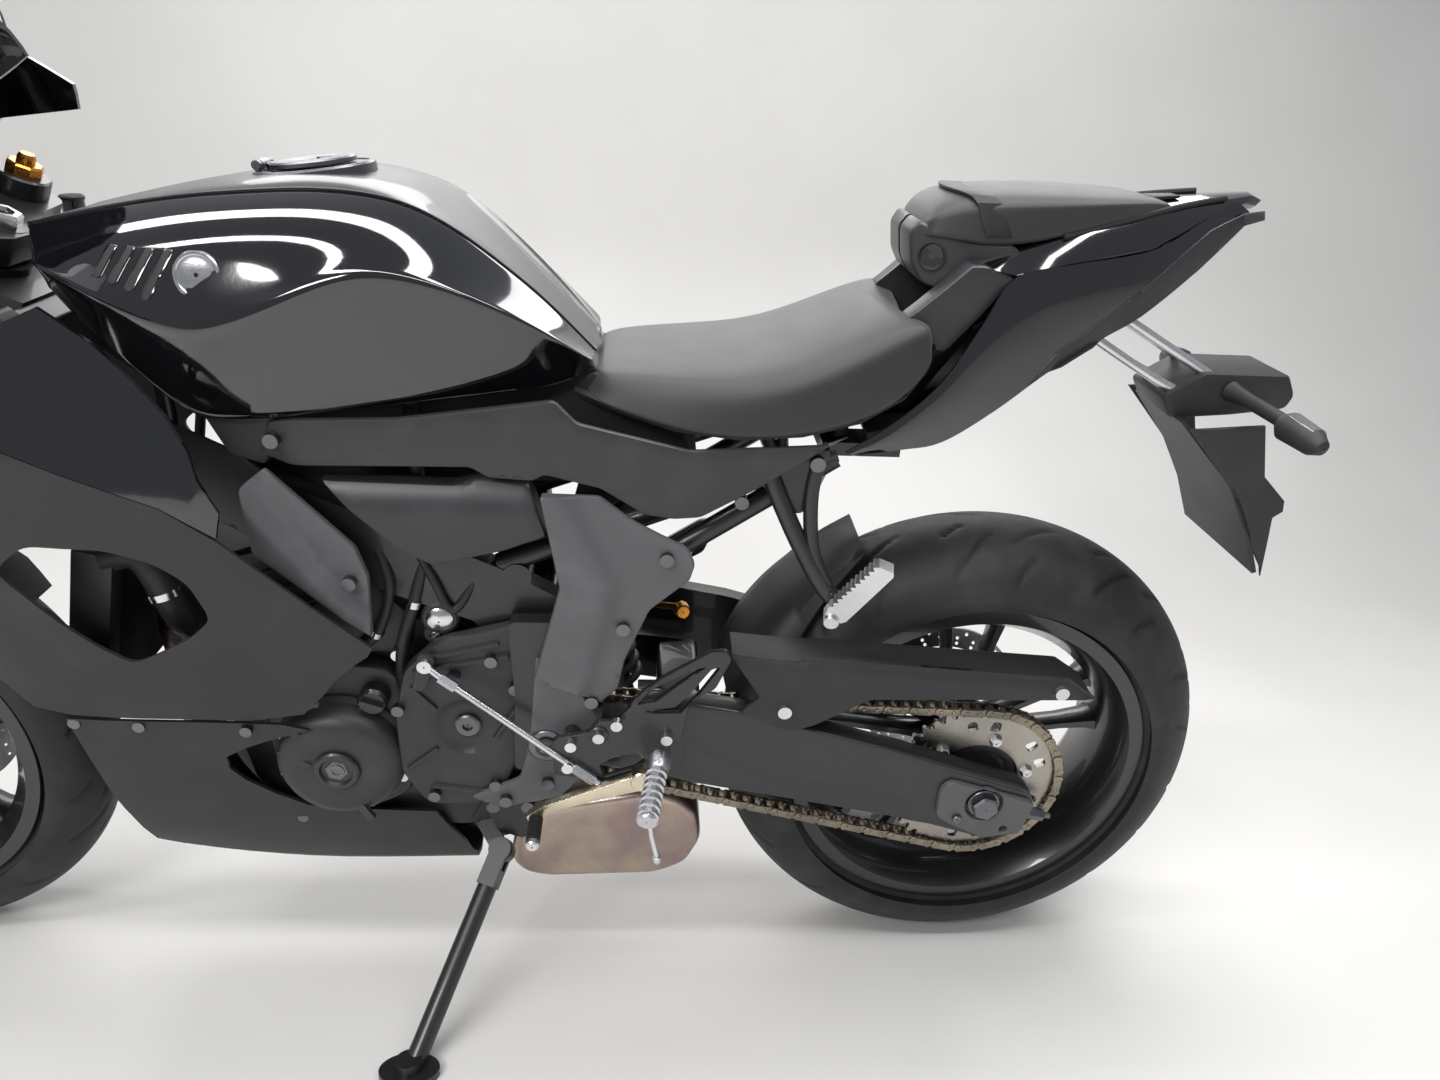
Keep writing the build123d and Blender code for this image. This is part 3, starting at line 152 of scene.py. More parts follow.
class Shader:
    """One procedural material on a Principled shader."""

    def __init__(self, name: str, colour: Colour, roughness: float, metallic: float = 0.0,
                 plain: dict[str, float] | None = None) -> None:
        """Start a material.

        Args:
            name: the material's name.
            colour: the base colour, scene linear.
            roughness: the base roughness.
            metallic: 1 for bare metal.
            plain: other shader sockets that keep one value, by name.
        """
        self.material = bpy.data.materials.new(name)
        self.material.use_nodes = True
        self.nodes = self.material.node_tree.nodes
        self.links = self.material.node_tree.links
        self.principled = self.nodes["Principled BSDF"]
        self.principled.inputs["Base Color"].default_value = (*colour, 1)
        self.principled.inputs["Roughness"].default_value = roughness
        self.principled.inputs["Metallic"].default_value = metallic
        for socket, value in (plain or {}).items():
            self.principled.inputs[socket].default_value = value
        self.place = self.node("ShaderNodeTexCoord", {}, (), out="Object")

    def node(self, kind: str, settings: dict[str, object], values: Sequence[object] | dict[str, object],
             out: str | int = 0) -> Socket:
        """Add any node.

        Args:
            kind: the node's type.
            settings: the properties to set before its sockets.
            values: what goes to its sockets, in order or by name.
            out: the output wanted.

        Returns:
            That output.
        """
        node = self.nodes.new(kind)
        for key, value in settings.items():
            setattr(node, key, value)
        pairs = values.items() if isinstance(values, dict) else enumerate(values)
        for key, value in pairs:
            if value is None:
                continue
            if isinstance(value, Socket):
                self.links.new(value.link, node.inputs[key])
            else:
                node.inputs[key].default_value = value
        return Socket(self, node.outputs[out])

    def noise(self, scale: float, detail: float = 3.0, stretch: Point3 = (1, 1, 1)) -> Socket:
        """Noise over the object in metres.

        Args:
            scale: the noise's scale.
            detail: its octaves.
            stretch: how much each axis is scaled first.

        Returns:
            The noise's value.
        """
        place = self.node("ShaderNodeMapping", {}, {"Vector": self.place, "Scale": stretch})
        return self.node("ShaderNodeTexNoise", {}, {"Vector": place, "Scale": scale, "Detail": detail},
                         out="Fac")

    def mix(self, share: Socket, first: "Colour | Socket", second: Colour) -> Socket:
        """A colour mixed by a share of 0..1."""
        node = self.nodes.new("ShaderNodeMix")
        node.data_type = "RGBA"
        self.links.new(share.link, node.inputs[0])
        if isinstance(first, Socket):
            self.links.new(first.link, node.inputs[6])
        else:
            node.inputs[6].default_value = (*first, 1)
        node.inputs[7].default_value = (*second, 1)
        return Socket(self, node.outputs[2])

    def drive(self, socket: str, value: Socket) -> None:
        """Feed one of the shader's sockets."""
        self.links.new(value.link, self.principled.inputs[socket])

    def bump(self, height: Socket, depth: float) -> None:
        """Feed the normal from a height; depth is in metres."""
        bump = self.node("ShaderNodeBump", {}, {"Strength": 1.0, "Distance": depth, "Height": height},
                         out="Normal")
        self.drive("Normal", bump)

    def worn(self, share: Socket, first: Colour, second: Colour) -> "Shader":
        """Colour that wanders between two tones."""
        self.drive("Base Color", self.mix(share, first, second))
        return self


@dataclass(frozen=True)
class Paint:
    """A sprayed finish, from deep gloss to satin."""

    name: str
    colour: Colour
    roughness: float
    coat: float = 1.0
    orange_peel: float = 0.00002

    def make(self) -> bpy.types.Material:
        """Build the paint, with faint orange peel and dust."""
        shader = Shader(self.name, self.colour, self.roughness, 0.0,
                        {"Coat Weight": self.coat, "Coat Roughness": 0.03, "Specular IOR Level": 0.5})
        haze = shader.noise(9.0, 5.0)
        shader.drive("Roughness", haze.within(0.3, 0.8) * 0.06 + self.roughness)
        if self.orange_peel:
            shader.bump(shader.noise(260.0, 2.0), self.orange_peel)
        return shader.material


@dataclass(frozen=True)
class Moulded:
    """Moulded plastic with a fine spark-eroded grain."""

    name: str
    colour: Colour
    roughness: float
    grain: float = 0.00005
    grain_scale: float = 1500.0

    def make(self) -> bpy.types.Material:
        """Build the plastic, with grain and uneven sheen."""
        shader = Shader(self.name, self.colour, self.roughness, 0.0, {"Specular IOR Level": 0.45})
        sheen = shader.noise(6.0, 4.0)
        shader.drive("Roughness", sheen.within(0.25, 0.8) * 0.10 + (self.roughness - 0.05))
        lighter = tuple(min(1.0, value * 1.35 + 0.002) for value in self.colour)
        shader.worn(shader.noise(18.0, 6.0).within(0.45, 0.8), self.colour, lighter)
        shader.bump(shader.noise(self.grain_scale, 2.0), self.grain)
        return shader.material


@dataclass(frozen=True)
class Metal:
    """Bare or brushed metal."""

    name: str
    colour: Colour
    roughness: float
    brushed: Point3 = (1.0, 1.0, 1.0)
    tint: Colour | None = None

    def make(self) -> bpy.types.Material:
        """Build the metal, with fine scratches along the brushing and a second tone."""
        shader = Shader(self.name, self.colour, self.roughness, 1.0)
        scratch = shader.noise(900.0, 4.0, self.brushed)
        shader.drive("Roughness", scratch.within(0.3, 0.7) * 0.14 + (self.roughness - 0.05))
        second = self.tint or tuple(value * 0.78 for value in self.colour)
        shader.worn(shader.noise(14.0, 5.0).within(0.35, 0.75), self.colour, second)
        shader.bump(scratch, 0.00001)
        return shader.material


@dataclass(frozen=True)
class Rubber:
    """Tyre or grip rubber with a faint bloom, and painted shade in the tread's grooves."""

    name: str
    colour: Colour
    bloom: Colour
    roughness: float = 0.6

    def make(self) -> bpy.types.Material:
        """Build the rubber, with the cut attribute darkening the grooves as painted shade."""
        shader = Shader(self.name, self.colour, self.roughness, 0.0, {"Specular IOR Level": 0.4})
        tone = shader.mix(shader.noise(22.0, 6.0).within(0.4, 0.75), self.colour, self.bloom)
        # Painted shade: where the tread is grooved, the cut attribute turns the rubber's colour near black.
        cut = shader.node("ShaderNodeAttribute", {"attribute_name": "cut"}, (), out="Fac")
        shader.drive("Base Color", shader.mix(cut, tone, (0.0012, 0.0012, 0.0012)))
        shader.drive("Roughness", shader.noise(60.0, 4.0) * 0.2 + (self.roughness - 0.1))
        shader.bump(shader.noise(1100.0, 3.0), 0.00006)
        return shader.material


@dataclass(frozen=True)
class Vinyl:
    """Seat vinyl with a pebbled leather grain."""

    name: str
    colour: Colour
    roughness: float = 0.52

    def make(self) -> bpy.types.Material:
        """Build the vinyl from cells with soft creases between them."""
        shader = Shader(self.name, self.colour, self.roughness, 0.0,
                        {"Sheen Weight": 0.15, "Sheen Roughness": 0.5})
        cells = shader.node("ShaderNodeTexVoronoi", {"feature": "SMOOTH_F1"},
                            {"Vector": shader.place, "Scale": 900.0}, out="Distance")
        lighter = tuple(value * 1.5 for value in self.colour)
        shader.worn(shader.noise(8.0, 5.0).within(0.4, 0.8), self.colour, lighter)
        shader.drive("Roughness", shader.noise(25.0, 4.0) * 0.12 + (self.roughness - 0.06))
        shader.bump(cells + shader.noise(2400.0, 2.0) * 0.3, 0.00009)
        return shader.material


@dataclass(frozen=True)
class Lens:
    """Clear or tinted plastic lens."""

    name: str
    colour: Colour
    transmission: float
    roughness: float = 0.04

    def make(self) -> bpy.types.Material:
        """Build the lens, with faint haze."""
        shader = Shader(self.name, self.colour, self.roughness, 0.0,
                        {"Transmission Weight": self.transmission, "IOR": 1.49})
        shader.drive("Roughness", shader.noise(12.0, 4.0).within(0.4, 0.9) * 0.05 + self.roughness)
        return shader.material


class Finishes:
    """The bike's finishes, each made once and shared."""

    RECIPES = (
        Paint("gloss_black", (0.003, 0.003, 0.004), 0.05),
        Paint("satin_cover", (0.012, 0.012, 0.013), 0.34, 0.25, 0.00001),
        Paint("frame_black", (0.010, 0.010, 0.011), 0.36, 0.2),
        Paint("rim_black", (0.008, 0.008, 0.009), 0.28, 0.5),
        Moulded("grey_satin", (0.070, 0.071, 0.075), 0.38),
        Moulded("side_satin", (0.022, 0.022, 0.024), 0.40),
        Moulded("matte_black", (0.016, 0.016, 0.017), 0.55),
        Moulded("deep_black", (0.006, 0.006, 0.006), 0.65),
        Moulded("engine_black", (0.020, 0.020, 0.021), 0.46, 0.00012, 700.0),
        Moulded("engine_block", (0.014, 0.014, 0.015), 0.52, 0.00016, 500.0),
        Metal("bare_aluminium", (0.66, 0.66, 0.68), 0.30),
        Metal("polished_steel", (0.62, 0.62, 0.63), 0.18),
        Metal("disc_steel", (0.48, 0.48, 0.49), 0.30, (1.0, 1.0, 12.0)),
        Metal("chain_steel", (0.30, 0.26, 0.20), 0.34, tint=(0.17, 0.15, 0.125)),
        Metal("shaft_gold", (0.62, 0.55, 0.42), 0.26),
        Metal("fork_gold", (0.62, 0.27, 0.05), 0.25),
        Metal("heat_steel", (0.46, 0.38, 0.30), 0.30, (1.0, 6.0, 1.0), (0.30, 0.22, 0.22)),
        Metal("chain_plate", (0.36, 0.34, 0.30), 0.30),
        Metal("dark_bolt", (0.16, 0.16, 0.17), 0.32),
        Rubber("tyre_rubber", (0.012, 0.012, 0.013), (0.024, 0.024, 0.025)),
        Rubber("plain_rubber", (0.010, 0.010, 0.010), (0.018, 0.018, 0.018), 0.5),
        Vinyl("seat_vinyl", (0.012, 0.012, 0.013)),
        Lens("smoked_screen", (0.05, 0.052, 0.058), 0.75),
        Lens("clear_lens", (0.9, 0.92, 0.95), 0.9),
        Lens("red_lens", (0.35, 0.01, 0.01), 0.3),
        Paint("red_switch", (0.55, 0.02, 0.02), 0.3, 0.3),
        Paint("mirror_glass", (0.75, 0.78, 0.8), 0.02, 0.0, 0.0),
    )

    def __init__(self) -> None:
        """Build every finish."""
        self.made = {recipe.name: recipe.make() for recipe in self.RECIPES}

    def __getitem__(self, name: str) -> bpy.types.Material:
        """The finish of that name."""
        return self.made[name]


# Mesh work in the upright frame


def catmull(points: Sequence[Sequence[float]], steps: int, closed: bool = False) -> list[tuple[float, ...]]:
    """A smooth curve through the points.

    Args:
        points: the points to pass through.
        steps: how many pieces each span is cut into.
        closed: whether the curve ends where it starts.

    Returns:
        The curve's points.
    """
    count, curve = len(points), []
    for span in range(count if closed else count - 1):
        around = [points[(span + shift) % count] if closed else points[min(max(span + shift, 0), count - 1)]
                  for shift in (-1, 0, 1, 2)]
        for step in range(steps):
            t = step / steps
            curve.append(tuple(0.5 * (2 * b + (c - a) * t + (2 * a - 5 * b + 4 * c - d) * t * t
                                      + (3 * b - a - 3 * c + d) * t ** 3)
                               for a, b, c, d in zip(*around)))
    if not closed:
        curve.append(tuple(points[-1]))
    return curve


def circle(x: float, z: float, radius: float, count: int, start: float = 0.0) -> list[Point2]:
    """Points spaced evenly round a circle in the side view, from an angle in radians."""
    angles = (2 * math.pi * index / count + start for index in range(count))
    return [(x + radius * math.cos(angle), z + radius * math.sin(angle)) for angle in angles]


def rounded(outline: Sequence[Point2], radius: float, steps: int = 4) -> list[Point2]:
    """An outline with its corners rounded.

    Args:
        outline: the closed outline's corners.
        radius: the wanted corner radius.
        steps: the pieces of each corner.

    Returns:
        The rounded outline.
    """
    result: list[Point2] = []
    count = len(outline)
    for index in range(count):
        before, here, after = (Vector(outline[(index + shift) % count]) for shift in (-1, 0, 1))
        back, on = before - here, after - here
        reach = min(radius, back.length * 0.45, on.length * 0.45)
        start, end = here + back.normalized() * reach, here + on.normalized() * reach
        for step in range(steps + 1):
            t = step / steps
            spot = start * (1 - t) ** 2 + here * 2 * t * (1 - t) + end * t * t
            result.append((spot.x, spot.y))
    return result


def profile(knots: Sequence[Point2]) -> Callable[[float], float]:
    """A straight-run function through (place, value) knots, held level past both ends."""
    def value(place: float) -> float:
        """The value at a place."""
        if place <= knots[0][0]:
            return knots[0][1]
        for (low, first), (high, second) in zip(knots, knots[1:]):
            if place <= high:
                return first + (second - first) * (place - low) / (high - low)
        return knots[-1][1]
    return value


class Form:
    """A mesh that is being built in the upright frame, in millimetres."""

    def __init__(self, name: str) -> None:
        """Start an empty form.

        Args:
            name: the piece's name.
        """
        self.name = name
        self.bm = bmesh.new()

    def strip(self, rings: Sequence[Sequence[Sequence[float]]], closed: bool = True, caps: bool = True,
              loop: bool = False) -> list[list[bmesh.types.BMVert]]:
        """Skin a run of rings with the same number of points.

        Args:
            rings: the rings in order.
            closed: whether each ring joins its own end.
            caps: whether the first and last ring are filled.
            loop: whether the last ring joins the first.

        Returns:
            The vertices, ring by ring.
        """
        rows = [[self.bm.verts.new(point) for point in ring] for ring in rings]
        size = len(rows[0])
        pairs = list(zip(rows, rows[1:])) + ([(rows[-1], rows[0])] if loop else [])
        for first, second in pairs:
            for index in range(size if closed else size - 1):
                follow = (index + 1) % size
                self.bm.faces.new((first[index], first[follow], second[follow], second[index]))
        if closed and caps and not loop:
            self.bm.faces.new(list(reversed(rows[0])))
            self.bm.faces.new(rows[-1])
        return rows

    def tube(self, path: Sequence[Sequence[float]], radius: float | Sequence[float], sides: int = 16) -> None:
        """A round bar along a path.

        Args:
            path: the points of its middle line.
            radius: one radius, or one for each point.
            sides: the faces round it.
        """
        points = [Vector(point) for point in path]
        radii = [radius] * len(points) if isinstance(radius, (int, float)) else list(radius)
        normal, rings = None, []
        for index, point in enumerate(points):
            ahead = points[min(index + 1, len(points) - 1)] - points[max(index - 1, 0)]
            ahead.normalize()
            if normal is None:
                normal = ahead.orthogonal().normalized()
            normal = (normal - ahead * normal.dot(ahead)).normalized()
            other = ahead.cross(normal)
            rings.append([point + (normal * math.cos(a) + other * math.sin(a)) * radii[index]
                          for a in (2 * math.pi * side / sides for side in range(sides))])
        self.strip(rings)

    def rod(self, start: Sequence[float], end: Sequence[float], radius: float, sides: int = 16,
            edge: float = 1.0) -> None:
        """A straight bar with small chamfers at both ends."""
        first, last = Vector(start), Vector(end)
        run = (last - first).normalized() * min(edge, (last - first).length * 0.3)
        self.tube([first, first + run, last - run, last], [radius - edge, radius, radius, radius - edge],
                  sides)

    def lathe(self, points: Sequence[Point2], centre: Sequence[float], axis: Sequence[float] = (0, 1, 0),
              steps: int = 48, solid: bool = True) -> None:
        """Turn a profile of (along, radius) points about an axis.

        Args:
            points: the profile, in order.
            centre: where along is zero.
            axis: the direction of along.
            steps: the faces round it.
            solid: whether the profile is a closed loop.
        """
        line = Vector(axis).normalized()
        first = line.orthogonal().normalized()
        second = line.cross(first)
        start = Vector(centre)
        rings = []
        for step in range(steps):
            angle = 2 * math.pi * step / steps
            out = first * math.cos(angle) + second * math.sin(angle)
            rings.append([start + line * along + out * radius for along, radius in points])
        self.strip(rings, closed=solid, caps=False, loop=True)

    def disc(self, centre: Sequence[float], axis: Sequence[float], radius: float, thickness: float,
             edge: float = 0.8, hole: float = 0.0, steps: int = 32) -> None:
        """A flat turned disc from its centre along the axis, with eased edges and maybe a hole."""
        if hole:
            points = [(0, hole), (0, radius - edge), (edge, radius), (thickness - edge, radius),
                      (thickness, radius - edge), (thickness, hole)]
            self.lathe(points, centre, axis, steps)
        else:
            start, line = Vector(centre), Vector(axis).normalized()
            self.tube([start, start + line * edge, start + line * (thickness - edge),
                       start + line * thickness],
                      [radius - edge, radius, radius, radius - edge], steps)

    def plate(self, outline: Sequence[Point2], outer: float | Callable[[float, float], float],
              inner: float | Callable[[float, float], float], edge: float = 1.0, mesh: float = 14.0,
              holes: Sequence[Sequence[Point2]] = (), steps: int = 2) -> None:
        """A panel seen from the side: an outline in X and Z with an outer and an inner surface in Y.

        Args:
            outline: the closed outline.
            outer: Y of the visible surface, or a function of (x, z).
            inner: Y of the hidden surface, or a function of (x, z).
            edge: how far the outer surface's rim is rolled in.
            mesh: the spacing of the points inside.
            holes: closed outlines cut out of it.
            steps: the rings of the rolled rim.
        """
        front = outer if callable(outer) else (lambda x, z: outer)
        back = inner if callable(inner) else (lambda x, z: inner)
        loops = [list(outline)] + [list(hole) for hole in holes]
        loops = [self._even(loop, mesh) for loop in loops]
        points: list[Vector] = []
        edges: list[tuple[int, int]] = []
        rims: list[list[int]] = []
        for number, loop in enumerate(loops):
            area = sum(a[0] * b[1] - b[0] * a[1] for a, b in zip(loop, loop[1:] + loop[:1]))
            if (area > 0) == bool(number):
                loop = list(reversed(loop))
            base = len(points)
            points += [Vector(p) for p in loop]
            rims.append(list(range(base, base + len(loop))))
            edges += [(base + i, base + (i + 1) % len(loop)) for i in range(len(loop))]
        solid = [[(points[i].x, points[i].y) for i in rim] for rim in rims]
        if edge:
            for rim in rims[:]:
                size = len(rim)
                for step in range(1, steps + 1):
                    inset = edge * step / steps
                    for i in range(size):
                        here = points[rim[i]]
                        run = points[rim[(i + 1) % size]] - points[rim[i - 1]]
                        spot = here + Vector((-run.y, run.x)).normalized() * inset
                        if self._inside(spot, solid) and self._depth(spot, solid) > inset * 0.7:
                            points.append(spot)
        low = Vector((min(p.x for p in points), min(p.y for p in points)))
        high = Vector((max(p.x for p in points), max(p.y for p in points)))
        row = 0
        z = low.y + mesh / 2
        while z < high.y:
            x = low.x + (mesh / 2 if row % 2 else 0)
            while x < high.x:
                spot = Vector((x, z))
                if self._inside(spot, solid) and self._depth(spot, solid) > edge + mesh * 0.35:
                    points.append(spot)
                x += mesh
            z += mesh * 0.87
            row += 1
        verts, _, faces, _, _, _ = delaunay_2d_cdt(points, edges, [], 0, 1e-4)
        faces = [face for face in faces
                 if self._inside(sum((verts[i] for i in face), Vector((0, 0))) / len(face), solid)]
        sign = -1.0 if front(*solid[0][0]) < back(*solid[0][0]) else 1.0
        shell_out, shell_in = {}, {}
        for index in sorted({i for face in faces for i in face}):
            x, z = verts[index]
            depth = self._depth(verts[index], solid)
            roll = edge * (1 - math.sqrt(max(0.0, 1 - (1 - min(depth / edge, 1.0)) ** 2))) if edge else 0.0
            thick = abs(front(x, z) - back(x, z))
            shell_out[index] = self.bm.verts.new((x, front(x, z) - sign * min(roll, thick * 0.6), z))
            shell_in[index] = self.bm.verts.new((x, back(x, z), z))
        used: dict[tuple[int, int], int] = {}
        for face in faces:
            for a, b in zip(face, list(face[1:]) + [face[0]]):
                used[(a, b)] = used.get((a, b), 0) + 1
            self.bm.faces.new([shell_out[i] for i in face])
            self.bm.faces.new([shell_in[i] for i in reversed(face)])
        for a, b in list(used):
            if (b, a) not in used:
                self.bm.faces.new((shell_out[a], shell_in[a], shell_in[b], shell_out[b]))

    @staticmethod
    def _even(loop: list[Point2], mesh: float) -> list[Point2]:
        """The loop with its long edges cut to about the mesh size."""
        result = []
        for a, b in zip(loop, loop[1:] + loop[:1]):
            pieces = max(1, int(math.hypot(b[0] - a[0], b[1] - a[1]) / mesh))
            result += [(a[0] + (b[0] - a[0]) * i / pieces, a[1] + (b[1] - a[1]) * i / pieces)
                       for i in range(pieces)]
        return result

    @staticmethod
    def _inside(spot: Vector, loops: Sequence[Sequence[Point2]]) -> bool:
        """Whether a spot is inside the first loop and outside the others."""
        inside = False
        for loop in loops:
            for (ax, az), (bx, bz) in zip(loop, list(loop[1:]) + [loop[0]]):
                if (az > spot.y) != (bz > spot.y) and spot.x < (bx - ax) * (spot.y - az) / (bz - az) + ax:
                    inside = not inside
        return inside

    @staticmethod
    def _depth(spot: Vector, loops: Sequence[Sequence[Point2]]) -> float:
        """How far a spot is from the nearest edge."""
        best = 1e9
        for loop in loops:
            for (ax, az), (bx, bz) in zip(loop, list(loop[1:]) + [loop[0]]):
                dx, dz = bx - ax, bz - az
                size = dx * dx + dz * dz or 1.0
                t = max(0.0, min(1.0, ((spot.x - ax) * dx + (spot.y - az) * dz) / size))
                best = min(best, math.hypot(spot.x - ax - dx * t, spot.y - az - dz * t))
        return best

    def twin(self) -> None:
        """Add the same shape mirrored to the other side."""
        made = bmesh.ops.duplicate(self.bm,
                                   geom=list(self.bm.verts) + list(self.bm.edges) + list(self.bm.faces))
        verts = [item for item in made["geom"] if isinstance(item, bmesh.types.BMVert)]
        for vert in verts:
            vert.co.y = -vert.co.y

    def piece(self, finish: bpy.types.Material, body: Body, replaces: Sequence[str] = (),
              smooth: float = 35.0, subdivide: int = 0, bevel: float = 0.0) -> bpy.types.Object:
        """Turn the form into a finished piece that rides on its body.

        Args:
            finish: its material.
            body: what it rides on.
            replaces: the fixed nodes that it stands for.
            smooth: the angle in degrees below which edges are smooth.
            subdivide: levels of subdivision.
            bevel: the width of a bevel on sharp edges.

        Returns:
            The piece.
        """
        bmesh.ops.remove_doubles(self.bm, verts=self.bm.verts, dist=0.01)
        bmesh.ops.recalc_face_normals(self.bm, faces=self.bm.faces)
        if bevel:
            sharp = [edge for edge in self.bm.edges
                     if len(edge.link_faces) == 2 and edge.calc_face_angle(0) > math.radians(smooth)]
            bmesh.ops.bevel(self.bm, geom=sharp, offset=bevel, segments=2, profile=0.6, affect="EDGES",
                            clamp_overlap=True)
        mesh = bpy.data.meshes.new(self.name)
        self.bm.to_mesh(mesh)
        self.bm.free()
        mesh.transform(PARK)
        mesh.materials.append(finish)
        item = bpy.data.objects.new(self.name, mesh)
        bpy.context.scene.collection.objects.link(item)
        for polygon in mesh.polygons:
            polygon.use_smooth = True
        if subdivide:
            modifier = item.modifiers.new("smooth", "SUBSURF")
            modifier.levels = modifier.render_levels = subdivide
        mesh.set_sharp_from_angle(angle=math.radians(smooth))
        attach(item, body.value)
        if replaces:
            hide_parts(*replaces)
        LOG.info("%s: %d faces", self.name, len(mesh.polygons))
        return item

    def ring_plate(self, outline: Sequence[Point2], holes: Sequence[Sequence[Point2]], low: float,
                   high: float) -> None:
        """A flat plate in the side view with many holes, between two values of Y.

        Args:
            outline: its closed edge.
            holes: closed holes inside it.
            low: the lower Y.
            high: the higher Y.
        """
        points: list[Vector] = []
        edges: list[tuple[int, int]] = []
        faces: list[list[int]] = []
        for loop in [outline, *holes]:
            loop = list(loop)
            area = sum(a[0] * b[1] - b[0] * a[1] for a, b in zip(loop, loop[1:] + loop[:1]))
            if area < 0:
                loop.reverse()
            base = len(points)
            points += [Vector(p) for p in loop]
            edges += [(base + i, base + (i + 1) % len(loop)) for i in range(len(loop))]
            faces.append(list(range(base, base + len(loop))))
        verts, _, triangles, _, _, source = delaunay_2d_cdt(points, edges, faces, 1, 1e-4)
        kept = [face for face, origin in zip(triangles, source) if origin == [0]]
        shell = {}
        for index in {i for face in kept for i in face}:
            x, z = verts[index]
            shell[index] = (self.bm.verts.new((x, low, z)), self.bm.verts.new((x, high, z)))
        used = set()
        for face in kept:
            self.bm.faces.new([shell[i][0] for i in face])
            self.bm.faces.new([shell[i][1] for i in reversed(face)])
            used.update(zip(face, list(face[1:]) + [face[0]]))
        for a, b in used:
            if (b, a) not in used:
                self.bm.faces.new((shell[a][0], shell[a][1], shell[b][1], shell[b][0]))

    def boolean(self, outlines: Sequence[Sequence[Point2]], holes: Sequence[Sequence[Point2]] = ()) -> None:
        """Keep only what lies inside an outline in the side view, and cut holes through it.

        Args:
            outlines: closed outlines in X and Z, of which one at a time is kept.
            holes: closed outlines that are cut away.
        """
        for keep, mode in [(o, "INTERSECT") for o in outlines] + [(h, "DIFFERENCE") for h in holes]:
            knife = Form("knife")
            knife.strip([[(x, -420, z) for x, z in keep], [(x, 420, z) for x, z in keep]])
            self._combine(knife, mode)

    def _combine(self, other: "Form", mode: str) -> None:
        """Run one exact boolean with another form, which is used up."""
        items = []
        for form in (self, other):
            bmesh.ops.remove_doubles(form.bm, verts=form.bm.verts, dist=0.001)
            bmesh.ops.recalc_face_normals(form.bm, faces=form.bm.faces)
            mesh = bpy.data.meshes.new("work")
            form.bm.to_mesh(mesh)
            item = bpy.data.objects.new("work", mesh)
            bpy.context.scene.collection.objects.link(item)
            items.append(item)
        modifier = items[0].modifiers.new("cut", "BOOLEAN")
        modifier.object, modifier.operation, modifier.solver = items[1], mode, "EXACT"
        graph = bpy.context.evaluated_depsgraph_get()
        result = bpy.data.meshes.new_from_object(items[0].evaluated_get(graph))
        self.bm.clear()
        self.bm.from_mesh(result)
        other.bm.free()
        for item in items:
            mesh = item.data
            bpy.data.objects.remove(item)
            bpy.data.meshes.remove(mesh)
        bpy.data.meshes.remove(result)


def rails(*lines: Sequence[Point3]) -> list[list[Point3]]:
    """Turn lengthwise rails into cross rings that run round both sides.

    Args:
        lines: rails on the left side, from the top middle round to the bottom middle.

    Returns:
        One closed ring for each station.
    """
    rings = []
    for station in zip(*lines):
        left = list(station)
        right = [(x, -y, z) for x, y, z in reversed(left) if abs(y) > 0.01]
        rings.append(left + right)
    return rings


# Body: tank, seats, tail and covers


